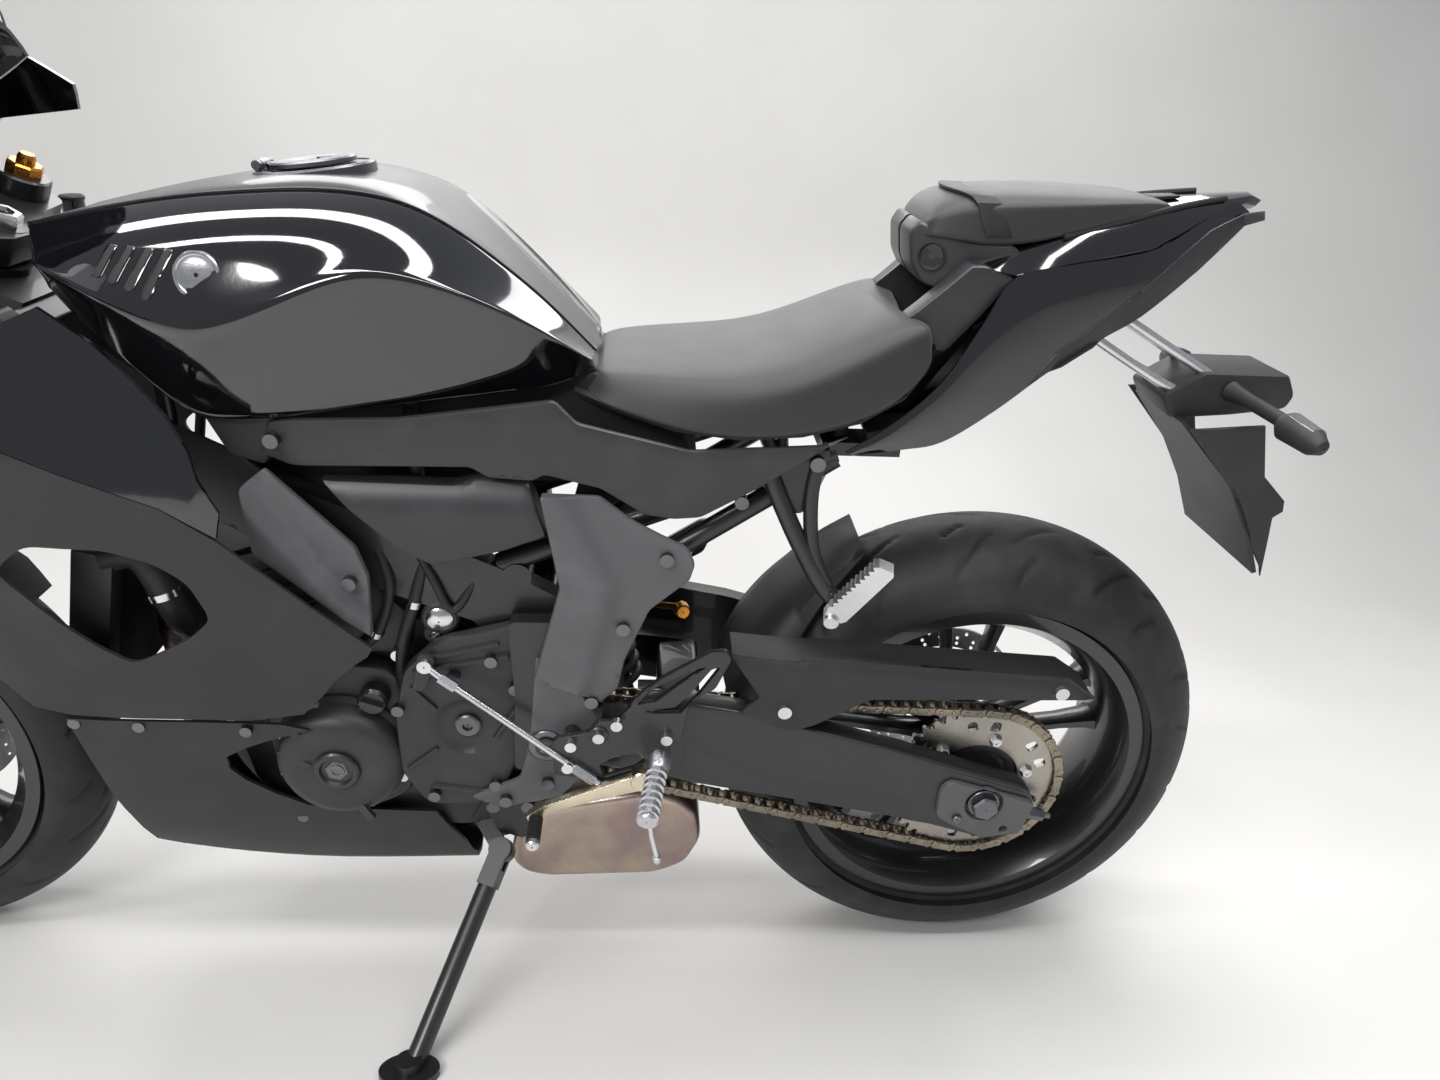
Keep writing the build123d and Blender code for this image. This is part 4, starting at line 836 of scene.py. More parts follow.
@dataclass
class Tank:
    """The fuel tank with its crease and knee hollow, its satin cover and the filler ring."""

    cover_edge: tuple[Point3, ...] = (
        (-312, -72, 946), (-274, -80, 956), (-222, -90, 969), (-154, -97, 982), (-89, -100, 989),
                                      (-26, -100, 994),
        (40, -95, 988), (87, -86, 964), (131, -75, 929), (177, -62, 888), (224, -50, 835))
    shoulder: tuple[Point3, ...] = (
        (-297, -100, 941), (-253, -125, 943), (-202, -140, 951), (-135, -152, 962), (-72, -158, 971),
        (-11, -158, 975), (38, -152, 966), (80, -140, 944), (127, -120, 915), (176, -98, 880),
                                    (222, -70, 834))
    crease: tuple[Point3, ...] = (
        (-282, -130, 923), (-234, -155, 907), (-187, -172, 890), (-146, -182, 878), (-114, -188, 875),
        (-44, -189, 908), (10, -186, 936), (60, -176, 934), (117, -158, 912), (170, -130, 880),
                                  (221, -92, 838))
    hollow: tuple[Point3, ...] = (
        (-274, -126, 898), (-228, -146, 872), (-189, -156, 848), (-154, -160, 834), (-122, -162, 830),
        (-51, -164, 850), (13, -160, 866), (65, -148, 868), (127, -132, 858), (181, -108, 843),
                                  (223, -84, 827))
    foot: tuple[Point3, ...] = (
        (-271, -118, 887), (-232, -138, 855), (-198, -146, 825), (-164, -146, 790), (-139, -144, 779),
        (-60, -138, 785), (16, -132, 795), (83, -124, 803), (150, -112, 809), (194, -98, 814),
                                (226, -78, 824))
    middle: tuple[Point2, ...] = (
        (-322, 944), (-284, 955), (-230, 969), (-160, 985), (-92, 999), (-26, 1005), (40, 993), (92, 960),
        (140, 919), (182, 876), (228, 829))

    def build(self, finishes: Finishes) -> None:
        """Build the gloss tank and the satin cover, each with its own trim."""
        shell = Form("tank_shell")
        top = [(x, 0.0, z - 5) for x, z in self.middle]
        under = [(x, 0.0, z - 2) for x, _, z in self.foot]
        inner = [(x, y * 0.86, z - 4.0) for x, y, z in self.cover_edge]
        hem = [(x, y * 0.93, z - 1.0) for x, y, z in self.foot]
        rings = rails(top, inner, self.cover_edge, self.shoulder, self.crease, self.hollow, self.foot, hem,
                      under)
        rows = shell.strip(rings)
        layer = shell.bm.edges.layers.float.new("crease_edge")
        for first, second in zip(rows, rows[1:]):
            for column, value in ((2, 0.75), (4, 0.62), (6, 0.7)):
                for index in (column, len(rows[0]) - column):
                    edge = shell.bm.edges.get((first[index], second[index]))
                    if edge:
                        edge[layer] = value
        for row in (rows[0], rows[-1]):
            for a, b in zip(row, row[1:] + row[:1]):
                edge = shell.bm.edges.get((a, b))
                if edge:
                    edge[layer] = 0.8
        tank = shell.piece(finishes["gloss_black"], Body.ROOT, ("fuel_tank",), smooth=180, subdivide=3)
        self._cover(finishes)
        self._filler(finishes)
        self._slots(finishes, tank)

    def _cover(self, finishes: Finishes) -> None:
        """The satin cover over the tank's top, thin at its rim."""
        cover = Form("tank_cover")
        lift = 2.2
        crown = [(x, 0.0, z + 1.0) for x, z in self.middle]
        flat = [(x + (m[0] - x) * 0.35, y * 0.62, z + (m[1] - z) * 0.82 + 1.6)
                for (x, y, z), m in zip(self.cover_edge, self.middle)]
        bend = [(x, y * 0.88, z + (m[1] - z) * 0.42 + 2.4)
                for (x, y, z), m in zip(self.cover_edge, self.middle)]
        rim = [(x, y * 0.992, z + lift) for x, y, z in self.cover_edge]
        low = [(x, y * 0.985, z - 0.6) for x, y, z in self.cover_edge]
        base = [(x, 0.0, z - 6) for x, z in self.middle]
        rows = cover.strip(rails(crown, flat, bend, rim, low, base))
        layer = cover.bm.edges.layers.float.new("crease_edge")
        for first, second in zip(rows, rows[1:]):
            for column, value in ((1, 0.35), (3, 0.8), (4, 0.9)):
                for index in (column, len(rows[0]) - column):
                    edge = cover.bm.edges.get((first[index], second[index]))
                    if edge:
                        edge[layer] = value
        for row in (rows[0], rows[-1]):
            for a, b in zip(row, row[1:] + row[:1]):
                edge = cover.bm.edges.get((a, b))
                if edge:
                    edge[layer] = 0.9
        piece = cover.piece(finishes["satin_cover"], Body.ROOT, ("tank_top_cover",), smooth=180, subdivide=3)

    def _filler(self, finishes: Finishes) -> None:
        """The filler's ring, its hinge ears and the lid."""
        tilt = math.radians(7.5)
        along, up = Vector((math.cos(tilt), 0, math.sin(tilt))), Vector((-math.sin(tilt), 0, math.cos(tilt)))
        centre = Vector((-60, 0, 1003.2))
        hinge = centre - along * 50 + up * 5.8
        ring = Form("filler_ring")
        ring.lathe([(-14, 46), (-14, 60), (-2, 60), (0, 58), (0, 54), (-1.5, 52.5), (-1.5, 46)], centre, up,
                   72)
        ring.lathe([(-12, 2), (-1.5, 2), (-1.5, 47), (-12, 47)], centre, up, 48)
        for sign in (-1, 1):
            ring.disc(hinge + Vector((0, sign * 13.6, 0)), (0, sign, 0), 5, 5.6, 0.8, 0, 24)
            ring.rod(hinge + Vector((0, sign * 16.4, 0)), hinge + Vector((0, sign * 16.4, 0)) - up * 9, 3, 12,
                     0.4)
        ring.rod(hinge - Vector((0, 15, 0)), hinge + Vector((0, 15, 0)), 2.4, 16, 0.4)
        ring.piece(finishes["dark_bolt"], Body.ROOT, smooth=30)
        lid = Form("filler_lid")
        lid.lathe([(0.6, 2), (0.6, 40), (1.4, 42), (5.0, 42), (6.6, 39.5), (6.6, 22), (5.8, 20), (5.8, 2)],
                  centre, up, 72)
        lid.lathe([(0.5, 2.6), (0.5, 5), (24.5, 5), (24.5, 2.6)], hinge - Vector((0, 12.5, 0)), (0, 1, 0), 24)
        lid.tube([centre - along * 46.5 + up * 4.4, centre - along * 36 + up * 4.4], 2.6, 12)
        lid.lathe([(5.8, 1), (7.6, 1), (7.6, 7), (5.8, 8)], centre + along * 12, up, 24)
        lid.piece(finishes["dark_bolt"], Body.CAP, ("fuel_cap",), smooth=30)

    def _slots(self, finishes: Finishes, tank: bpy.types.Object) -> None:
        """The slanted louvres and the plain round badge on each flank."""
        skin = Skin(tank)
        rows = (((-216, 917), (-202, 943)), ((-201, 913), (-184, 943)), ((-185, 908), (-166, 943)),
                ((-169, 902), (-148, 943)))
        for side in Side:
            rim, well = Form(f"louvre_rims_{side.name.lower()}"), Form(f"louvre_wells_{side.name.lower()}")
            for (xa, za), (xb, zb) in rows:
                for form, half, lift in ((rim, 5.2, 0.9), (well, 3.4, 1.5)):
                    shape = rounded([(xa - half, za), (xa + half, za - 1), (xb + half, zb),
                                     (xb - half, zb + 1)], 3)
                    form.plate(shape, lambda x, z, s=side, l=lift: skin.y(x, z, s) + s.value * l,
                               lambda x, z, s=side: skin.y(x, z, s) - s.value * 3, 0.8, 6)
            rim.piece(finishes["gloss_black"], Body.ROOT, smooth=30)
            well.piece(finishes["deep_black"], Body.ROOT, smooth=30)
            badge = Form(f"badge_{side.name.lower()}")
            spot = Vector((-121, skin.y(-121, 925, side), 925))
            out = Vector((0, side.value, 0.22)).normalized()
            badge.lathe([(-6, 2), (-6, 21), (1.2, 21), (2.0, 20), (2.0, 18), (1.2, 17), (1.2, 14), (1.8, 12),
                         (1.8, 2)],
                        spot, out, 56)
            badge.piece(finishes["polished_steel"], Body.ROOT, smooth=30)


class Skin:
    """The finished surface of a piece, asked for its Y at a place in the side view."""

    def __init__(self, item: bpy.types.Object) -> None:
        """Read a piece's final surface back into the upright frame.

        Args:
            item: the piece.
        """
        graph = bpy.context.evaluated_depsgraph_get()
        mesh = item.evaluated_get(graph).to_mesh()
        back = PARK.inverted()
        self.tree = BVHTree.FromPolygons([back @ vert.co for vert in mesh.vertices],
                                         [tuple(polygon.vertices) for polygon in mesh.polygons])

    def y(self, x: float, z: float, side: Side) -> float:
        """The outermost Y at a place on one side.

        Args:
            x: how far back.
            z: how high.
            side: the side looked at.

        Returns:
            Y of the surface, or of the nearest part of it.
        """
        spot, *_ = self.tree.ray_cast(Vector((x, side.value * 600, z)), Vector((0, -side.value, 0)))
        if spot is None:
            spot, *_ = self.tree.find_nearest(Vector((x, side.value * 200, z)))
        return spot.y


@dataclass
class Seats:
    """The rider's winged seat, and the passenger's pad with its strap and front block."""

    crown: tuple[Point2, ...] = (
        (222, 829), (270, 835), (330, 840), (385, 846), (430, 862), (465, 878), (492, 890), (508, 893),
                                 (514, 884))
    shoulder: tuple[Point3, ...] = (
        (221, -62, 826), (266, -84, 830), (328, -100, 833), (385, -108, 838), (434, -112, 853),
                                    (480, -112, 874),
        (520, -108, 891), (547, -104, 897), (558, -98, 890))
    side: tuple[Point3, ...] = (
        (212, -84, 817), (254, -112, 817), (322, -136, 815), (385, -147, 815), (440, -149, 827),
                                (492, -143, 848),
        (532, -134, 868), (558, -124, 880), (567, -114, 878))
    edge: tuple[Point3, ...] = (
        (203, -94, 804), (246, -117, 794), (306, -141, 783), (371, -151, 779), (435, -151, 784),
                                (492, -146, 798),
        (537, -137, 822), (560, -127, 850), (567, -116, 867))

    def build(self, finishes: Finishes) -> None:
        """Build both seats and the parts round them."""
        self._rider(finishes)
        self._pad(finishes)
        self._block(finishes)

    def _rider(self, finishes: Finishes) -> None:
        """The rider's seat, one smooth moulded pad over its base."""
        form = Form("rider_pad")
        top = [(x, 0.0, z) for x, z in self.crown]
        bulge = [((a[0] * 2 + b[0]) / 3, (a[1] * 2 + b[1]) / 3 - 3, (a[2] + b[2]) / 2 + 3)
                 for a, b in zip(self.side, self.shoulder)]
        tuck = [(x - 3 if x > 540 else x, y * 0.94, z + 2) for x, y, z in self.edge]
        under = [(min(x, 512), 0.0, z + 8) for x, _, z in self.edge]
        rows = form.strip(rails(top, self.shoulder, bulge, self.side, self.edge, tuck, under))
        layer = form.bm.edges.layers.float.new("crease_edge")
        for first, second in zip(rows, rows[1:]):
            for index in (4, len(rows[0]) - 4):
                edge = form.bm.edges.get((first[index], second[index]))
                if edge:
                    edge[layer] = 0.55
        pad = form.piece(finishes["seat_vinyl"], Body.ROOT, ("rider_seat",), smooth=180, subdivide=3)
        base = Form("rider_base")
        for side in (-1, 1):
            base.disc((482, side * 80, 762), (0, 0, 1), 12, 40)
        rim = [(x, y * 0.985, z + 1.5) for x, y, z in self.edge]
        base.strip([[(x, y, z), (x, y * 0.9, z + 3), (x, y * 0.9, z - 5), (x, y * 0.985, z - 4.5)]
                    for x, y, z in rim])
        base.strip([[(x, -y, z), (x, -y * 0.9, z + 3), (x, -y * 0.9, z - 5), (x, -y * 0.985, z - 4.5)]
                    for x, y, z in rim])
        base.piece(finishes["deep_black"], Body.ROOT)

    def _pad(self, finishes: Finishes) -> None:
        """The passenger's pad: a crowned cushion with a moulded side wall, and its strap."""
        form = Form("passenger_pad")
        top = [(556, 0, 992), (572, 0, 1009), (612, 0, 1015), (664, 0, 1018), (722, 0, 1018), (778, 0, 1016),
               (806, 0, 1011), (813, 0, 1006)]
        shoulder = [(556, -44, 988), (572, -54, 1004), (612, -64, 1011), (664, -70, 1014), (722, -66, 1015),
                    (778, -54, 1014), (806, -42, 1010), (813, -36, 1006)]
        side = [(552, -54, 977), (568, -64, 992), (612, -76, 1000), (664, -80, 1003), (722, -76, 1007),
                (778, -63, 1010), (806, -49, 1008), (813, -42, 1005)]
        edge = [(548, -54, 964), (562, -66, 970), (612, -80, 962), (664, -82, 968), (722, -78, 986),
                (778, -65, 999), (806, -50, 1004), (813, -43, 1003)]
        under = [(x, 0, z) for x, _, z in edge]
        rows = form.strip(rails(top, shoulder, side, edge, under))
        layer = form.bm.edges.layers.float.new("crease_edge")
        for first, second in zip(rows, rows[1:]):
            for column, value in ((2, 0.5), (3, 0.85)):
                for index in (column, len(rows[0]) - column):
                    edge_line = form.bm.edges.get((first[index], second[index]))
                    if edge_line:
                        edge_line[layer] = value
        pad = form.piece(finishes["seat_vinyl"], Body.ROOT, ("pillion_seat",), smooth=180, subdivide=3)
        skin = Skin(pad)
        strap = Form("passenger_strap")
        rings = []
        for t in range(25):
            share = t / 24
            y = -78 + 156 * share
            x = 592 + 8 * abs(2 * share - 1) ** 2 * 4
            spot, normal, *_ = skin.tree.find_nearest(Vector((x, y * 1.04,
                                                              1020 - 46 * abs(2 * share - 1) ** 4)))
            out = normal.normalized()
            if out.dot(Vector((0, y, 40))) < 0:
                out = -out
            across = Vector((1, 0, 0))
            rings.append([spot + across * a + out * b for a, b in ((-13, -1), (-13, 1.8), (-11, 2.4),
                    (11, 2.4),
                                                                    (13, 1.8), (13, -1))])
        strap.strip(rings)
        strap.piece(finishes["plain_rubber"], Body.ROOT, smooth=40)
        tab = Form("seat_tab")
        tab.strip([[(804, y, 1007), (804, y, 1011), (834, y * 0.8, 1013), (834, y * 0.8, 1010)]
                   for y in (-14, 14)])
        tab.piece(finishes["matte_black"], Body.ROOT, bevel=0.8)

    def _block(self, finishes: Finishes) -> None:
        """The faceted block below the pad's front, with its round lock recess."""
        block = Form("pad_front_block")
        for side in (-1, 1):
            shape = [(541, 969), (545, 940), (556, 922), (567, 917), (590, 921), (622, 940), (652, 957),
                     (640, 966), (600, 966), (566, 975), (550, 982)]
            block.plate(rounded(shape, 5), lambda x, z, s=side: s * profile(((541, 48), (575, 66),
                    (650, 84)))(x),
                        side * 4, 4.0, 12)
        block.piece(finishes["side_satin"], Body.ROOT, smooth=30)
        lock = Form("seat_lock")
        for side in (-1, 1):
            lock.lathe([(-3, 4), (-3, 15), (1.2, 15), (1.6, 13.5), (-0.5, 11), (-0.5, 4)],
                       (564, side * 61, 949), (-0.45, side, 0.1), 40)
        lock.piece(finishes["deep_black"], Body.ROOT)


@dataclass
class Tail:
    """The raked tail: gloss side panels with a crease, the deck, and the inner panels."""

    upper: tuple[Point3, ...] = (
        (480, -146, 766), (530, -137, 797), (575, -128, 838), (612, -116, 897), (640, -106, 940),
                                 (700, -94, 952),
        (786, -76, 966), (846, -52, 995), (884, -34, 1012))
    lower: tuple[Point3, ...] = (
        (486, -142, 761), (540, -132, 765), (585, -124, 772), (640, -110, 803), (694, -98, 843),
                                 (748, -86, 876),
        (790, -76, 899), (850, -54, 944), (905, -32, 994))

    def build(self, finishes: Finishes) -> None:
        """Build both flanks, the deck and the inside."""
        for side in Side:
            flank = Form(f"tail_flank_{side.name.lower()}")
            outer, middle, low = list(self.upper), [], list(self.lower)
            for a, b in zip(outer, low):
                middle.append(((a[0] + b[0]) / 2 + 4, (a[1] + b[1]) / 2 - 3, (a[2] + b[2]) / 2))
            upper, mid, bottom = (catmull(line, 5) for line in (outer, middle, low))
            rings = []
            for a, m, b in zip(upper, mid, bottom):
                wall = 4.0
                ring = [a, ((a[0] + m[0]) / 2, (a[1] + m[1]) / 2 - 1.6, (a[2] + m[2]) / 2), m,
                        ((b[0] + m[0]) / 2, (b[1] + m[1]) / 2 - 0.6, (b[2] + m[2]) / 2), b]
                ring += [(x, y + wall, z + (1 if i < 2 else -1))
                         for i, (x, y, z) in enumerate(reversed(ring))]
                rings.append([(x, -side.value * y, z) for x, y, z in ring])
            flank.strip(rings)
            panel = flank.piece(finishes["gloss_black"], Body.ROOT,
                                ("tail_cowl",) if side is Side.LEFT else (), smooth=32)
            fin = Form(f"tail_band_{side.name.lower()}")
            band = [(700, 866), (748, 900), (790, 935), (822, 962), (852, 985), (905, 1006), (908, 997),
                    (850, 944), (790, 899), (748, 876), (694, 843), (672, 829)]
            skin = Skin(panel)
            fin.plate(band, lambda x, z, s=side: skin.y(x, z, s) + s.value * 1.4,
                      lambda x, z, s=side: skin.y(x, z, s) - s.value * 2, 1.2, 12)
            fin.piece(finishes["side_satin"], Body.ROOT, smooth=40)
        self._deck(finishes)
        self._inner(finishes)

    def _deck(self, finishes: Finishes) -> None:
        """The gloss deck round the pad, running out to the tail's tip."""
        deck = Form("tail_deck")
        middle = [(604, 0, 948), (650, 0, 963), (720, 0, 985), (786, 0, 1001), (815, 0, 1007), (856, 0, 1013),
                  (912, 0, 1019), (928, 0, 1012)]
        edge = [(604, -78, 948), (650, -80, 962), (720, -76, 984), (786, -60, 1000), (815, -48, 1006),
                (856, -36, 1011), (908, -18, 1017), (924, -10, 1012)]
        flank = [(608, -97, 946), (640, -104, 941), (700, -93, 953), (786, -75, 967), (815, -64, 980),
                 (850, -50, 997), (898, -26, 1010), (918, -12, 1006)]
        under = [(612, -90, 938), (645, -96, 933), (704, -86, 944), (786, -68, 959), (815, -58, 972),
                 (850, -44, 988), (896, -20, 1002), (914, -8, 1002)]
        base = [(x, 0, z - 4) for x, _, z in under]
        deck.strip(rails(middle, edge, flank, under, base))
        piece = deck.piece(finishes["gloss_black"], Body.ROOT, smooth=24, bevel=1.2)
        groove = Form("tail_groove")
        for side in (-1, 1):
            line = [(690, -79, 974), (760, -67, 992), (820, -48, 1005), (872, -32, 1013)]
            groove.tube([(x, -side * y, z + 1.5) for x, y, z in catmull(line, 6)], 3.2, 8)
        groove.piece(finishes["deep_black"], Body.ROOT)

    def _inner(self, finishes: Finishes) -> None:
        """The satin panels between the rider's seat and the passenger's, and the underside."""
        inner = Form("tail_inner")
        for side in (-1, 1):
            near = [(538, 893), (552, 905), (570, 922), (596, 948), (610, 948), (640, 938), (614, 900),
                    (584, 862), (560, 846), (540, 850)]
            inner.plate(rounded(near, 4), lambda x, z, s=side: s * profile(((540, 96), (640, 103)))(x),
                        side * 70, 3.0, 12)
        inner.piece(finishes["side_satin"], Body.ROOT, smooth=30)
        under = Form("tail_under")
        rails_low = [(510, -118, 768), (585, -110, 778), (640, -98, 810), (694, -86, 848), (748, -74, 881),
                     (790, -64, 904), (850, -44, 949), (898, -22, 996)]
        rings = [[(x, y, z), (x - 4, y, z + 10), (x - 4, -y, z + 10), (x, -y, z)] for x, y, z in rails_low]
        under.strip(rings)
        under.piece(finishes["matte_black"], Body.ROOT)


@dataclass
class Covers:
    """The satin side covers, air box sides, spar covers and pivot covers."""

    side_cover: tuple[Point2, ...] = (
        (-105, 745), (-92, 779), (-70, 783), (34, 788), (187, 811), (196, 802), (210, 789), (322, 765),
        (457, 772), (484, 782), (462, 770), (400, 728), (336, 689), (308, 686), (278, 690), (232, 720),
                                      (176, 733),
        (165, 726), (120, 728), (102, 739), (-74, 734))
    air_box: tuple[Point2, ...] = (
        (-51, 719), (84, 717), (108, 725), (160, 719), (178, 665), (133, 647), (59, 628), (25, 645),
                                   (-21, 689))
    spar: tuple[Point2, ...] = (
        (-122, 715), (-97, 735), (-18, 650), (-8, 616), (-11, 545), (-118, 645))
    pivot: tuple[Point2, ...] = (
        (172, 714), (232, 713), (265, 687), (294, 671), (324, 656), (332, 637), (327, 618), (285, 581),
                                 (259, 517),
        (252, 480), (232, 460), (206, 475), (180, 484), (160, 496), (190, 610))

    inner_box: tuple[Point2, ...] = (
        (-150, 740), (-130, 830), (-60, 880), (60, 872), (190, 836), (300, 790), (336, 720), (300, 690),
                                     (180, 700),
        (40, 690), (-60, 670), (-110, 690))
    inner_tray: tuple[Point2, ...] = (
        (280, 800), (330, 812), (440, 800), (560, 840), (600, 880), (620, 880), (560, 790), (480, 770),
                                      (330, 750))

    def build(self, finishes: Finishes) -> None:
        """Build the covers on both sides with their bolts."""
        for side in Side:
            s = side.value
            name = side.name.lower()
            first = side is Side.LEFT
            cover = Form(f"side_cover_{name}")
            belly = profile(((-105, 136), (-60, 143), (200, 149), (330, 152), (484, 146)))
            fall = profile(((686, 6), (720, 1.5), (755, 0), (790, 2), (812, 5)))
            cover.plate(rounded(self.side_cover, 5), lambda x, z: s * (belly(x) - fall(z)),
                        lambda x, z: s * (belly(x) - fall(z) - 5), 2.5, 12)
            cover.piece(finishes["side_satin"], Body.ROOT, ("side_covers",) if first else (), smooth=35)
            box = Form(f"air_box_{name}")
            lip = profile(((628, 0), (690, 1), (706, 6), (728, 20)))
            box.plate(rounded(self.air_box, 6), lambda x, z: s * (150 - lip(z)), s * 118.4, 4.0, 10)
            box.piece(finishes["side_satin"], Body.ROOT, ("frame_covers",) if first else (), smooth=35)
            spar = Form(f"spar_cover_{name}")
            ridge = self._ridge((-118, 700), (-30, 560), 16, 9)
            spar.plate(rounded(self.spar, 4), lambda x, z: s * (162 - ridge(x, z)), s * 146, 2.2, 8)
            spar.piece(finishes["grey_satin"], Body.ROOT, smooth=28)
            pivot = Form(f"pivot_cover_{name}")
            fold = self._ridge((196, 700), (240, 612), 18, 8)
            fold2 = self._ridge((240, 612), (205, 470), 18, 8)
            pivot.plate(rounded(self.pivot, 4),
                        lambda x, z: s * (161 - min(fold(x, z) if z > 612 else fold2(x, z), 9)), s * 147, 2.5, 8)
            pivot.piece(finishes["grey_satin"], Body.ROOT, smooth=28)
        inner = Form("inner_boxes")
        inner.plate(rounded(self.inner_box, 8), -82, 82, 3, 14)
        inner.plate(rounded(self.inner_tray, 8), -70, 70, 3, 14)
        inner.piece(finishes["deep_black"], Body.ROOT, smooth=35)
        spots = [((-88, 762), 143), ((-26, 612), 158), ((302, 645), 155), ((257, 560), 155)]
        points = [Vector((x, s * y, z)) for (x, z), y in spots for s in (-1, 1)]
        Bolts("cover_bolts", 7.5, 5.0).set(points, finishes["dark_bolt"])

    @staticmethod
    def _ridge(start: Point2, end: Point2, width: float, drop: float) -> Callable[[float, float], float]:
        """How far a surface falls away in front of a fold line.

        Args:
            start: one end of the fold.
            end: the other end.
            width: how wide the fall is.
            drop: how deep it is.

        Returns:
            The fall as a function of x and z.
        """
        dx, dz = end[0] - start[0], end[1] - start[1]
        size = math.hypot(dx, dz)

        def fall(x: float, z: float) -> float:
            """The fall at a place."""
            off = ((x - start[0]) * dz - (z - start[1]) * dx) / size
            return drop * max(0.0, min(1.0, -off / width))
        return fall


@dataclass
class Bolts:
    """Socket screws set on a surface by Geometry Nodes, one instance at each point."""

    name: str
    radius: float
    height: float

    def set(self, points: Sequence[Vector], finish: bpy.types.Material, body: Body = Body.ROOT,
            axis: Point3 = (0, 1, 0)) -> bpy.types.Object:
        """Set the screws.

        Args:
            points: the middle of each head.
            finish: the screws' material.
            body: what they ride on.
            axis: the direction of the heads.

        Returns:
            The piece with all of them.
        """
        seed = Form(self.name + "_seed")
        r, h = self.radius, self.height
        seed.lathe([(-h, 0.1), (-h, r), (h - 1.2, r), (h, r - 1.2), (h, r * 0.55), (h - 2.5, r * 0.5),
                    (h - 2.5, 0.1), (2.5 - h, 0.1)], (0, 0, 0), axis, 20)
        return Repeater(self.name).place(seed, points, finish, body)


@dataclass
class Repeater:
    """Copies of one small shape, made by a Geometry Nodes tree and then turned into a plain mesh."""

    name: str

    def place(self, seed: Form, points: Sequence[Vector], finish: bpy.types.Material, body: Body,
              turns: Sequence[Point3] | None = None, replaces: Sequence[str] = ()) -> bpy.types.Object:
        """Put a copy at each point.

        Args:
            seed: the shape, round its own zero; it is used up.
            points: where the copies go.
            finish: their material.
            body: what they ride on.
            turns: a rotation for each copy, in radians, or None.
            replaces: fixed nodes that they stand for.

        Returns:
            The finished piece.
        """
        bmesh.ops.remove_doubles(seed.bm, verts=seed.bm.verts, dist=0.001)
        bmesh.ops.recalc_face_normals(seed.bm, faces=seed.bm.faces)
        mesh = bpy.data.meshes.new("seed")
        seed.bm.to_mesh(mesh)
        seed.bm.free()
        shape = bpy.data.objects.new("seed", mesh)
        bpy.context.scene.collection.objects.link(shape)
        cloud = bpy.data.meshes.new("cloud")
        cloud.from_pydata([tuple(point) for point in points], [], [])
        turn = cloud.attributes.new("turn", "FLOAT_VECTOR", "POINT")
        for index, value in enumerate(turns or [(0, 0, 0)] * len(points)):
            turn.data[index].vector = value
        carrier = bpy.data.objects.new(self.name, cloud)
        bpy.context.scene.collection.objects.link(carrier)
        tree = self._tree()
        modifier = carrier.modifiers.new("repeat", "NODES")
        modifier.node_group = tree
        for item in tree.interface.items_tree:
            if item.name == "Shape":
                modifier[item.identifier] = shape
            elif item.name == "Size":
                modifier[item.identifier] = 1.0
            elif item.name == "Finish":
                modifier[item.identifier] = finish
        graph = bpy.context.evaluated_depsgraph_get()
        result = bpy.data.meshes.new_from_object(carrier.evaluated_get(graph))
        carrier.modifiers.remove(modifier)
        carrier.data = result
        result.transform(PARK)
        result.materials.clear()
        result.materials.append(finish)
        for polygon in result.polygons:
            polygon.use_smooth = True
        result.set_sharp_from_angle(angle=math.radians(35))
        bpy.data.objects.remove(shape)
        bpy.data.meshes.remove(mesh)
        bpy.data.meshes.remove(cloud)
        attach(carrier, body.value)
        if replaces:
            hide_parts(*replaces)
        LOG.info("%s: %d copies", self.name, len(points))
        return carrier

    @staticmethod
    def _tree() -> bpy.types.NodeTree:
        """The node tree: an instance on each point, turned, sized, made real and given its finish."""
        found = bpy.data.node_groups.get("repeat_on_points")
        if found:
            return found
        tree = bpy.data.node_groups.new("repeat_on_points", "GeometryNodeTree")
        face = tree.interface
        face.new_socket("Geometry", in_out="INPUT", socket_type="NodeSocketGeometry")
        face.new_socket("Shape", in_out="INPUT", socket_type="NodeSocketObject")
        face.new_socket("Size", in_out="INPUT", socket_type="NodeSocketFloat").default_value = 1.0
        face.new_socket("Finish", in_out="INPUT", socket_type="NodeSocketMaterial")
        face.new_socket("Geometry", in_out="OUTPUT", socket_type="NodeSocketGeometry")
        nodes, links = tree.nodes, tree.links
        enter, leave = nodes.new("NodeGroupInput"), nodes.new("NodeGroupOutput")
        info = nodes.new("GeometryNodeObjectInfo")
        points = nodes.new("GeometryNodeInstanceOnPoints")
        turn = nodes.new("GeometryNodeInputNamedAttribute")
        turn.data_type = "FLOAT_VECTOR"
        turn.inputs["Name"].default_value = "turn"
        real = nodes.new("GeometryNodeRealizeInstances")
        dress = nodes.new("GeometryNodeSetMaterial")
        links.new(enter.outputs["Geometry"], points.inputs["Points"])
        links.new(enter.outputs["Shape"], info.inputs["Object"])
        links.new(info.outputs["Geometry"], points.inputs["Instance"])
        links.new(turn.outputs["Attribute"], points.inputs["Rotation"])
        links.new(enter.outputs["Size"], points.inputs["Scale"])
        links.new(points.outputs["Instances"], real.inputs["Geometry"])
        links.new(real.outputs["Geometry"], dress.inputs["Geometry"])
        links.new(enter.outputs["Finish"], dress.inputs["Material"])
        links.new(dress.outputs["Geometry"], leave.inputs["Geometry"])
        return tree


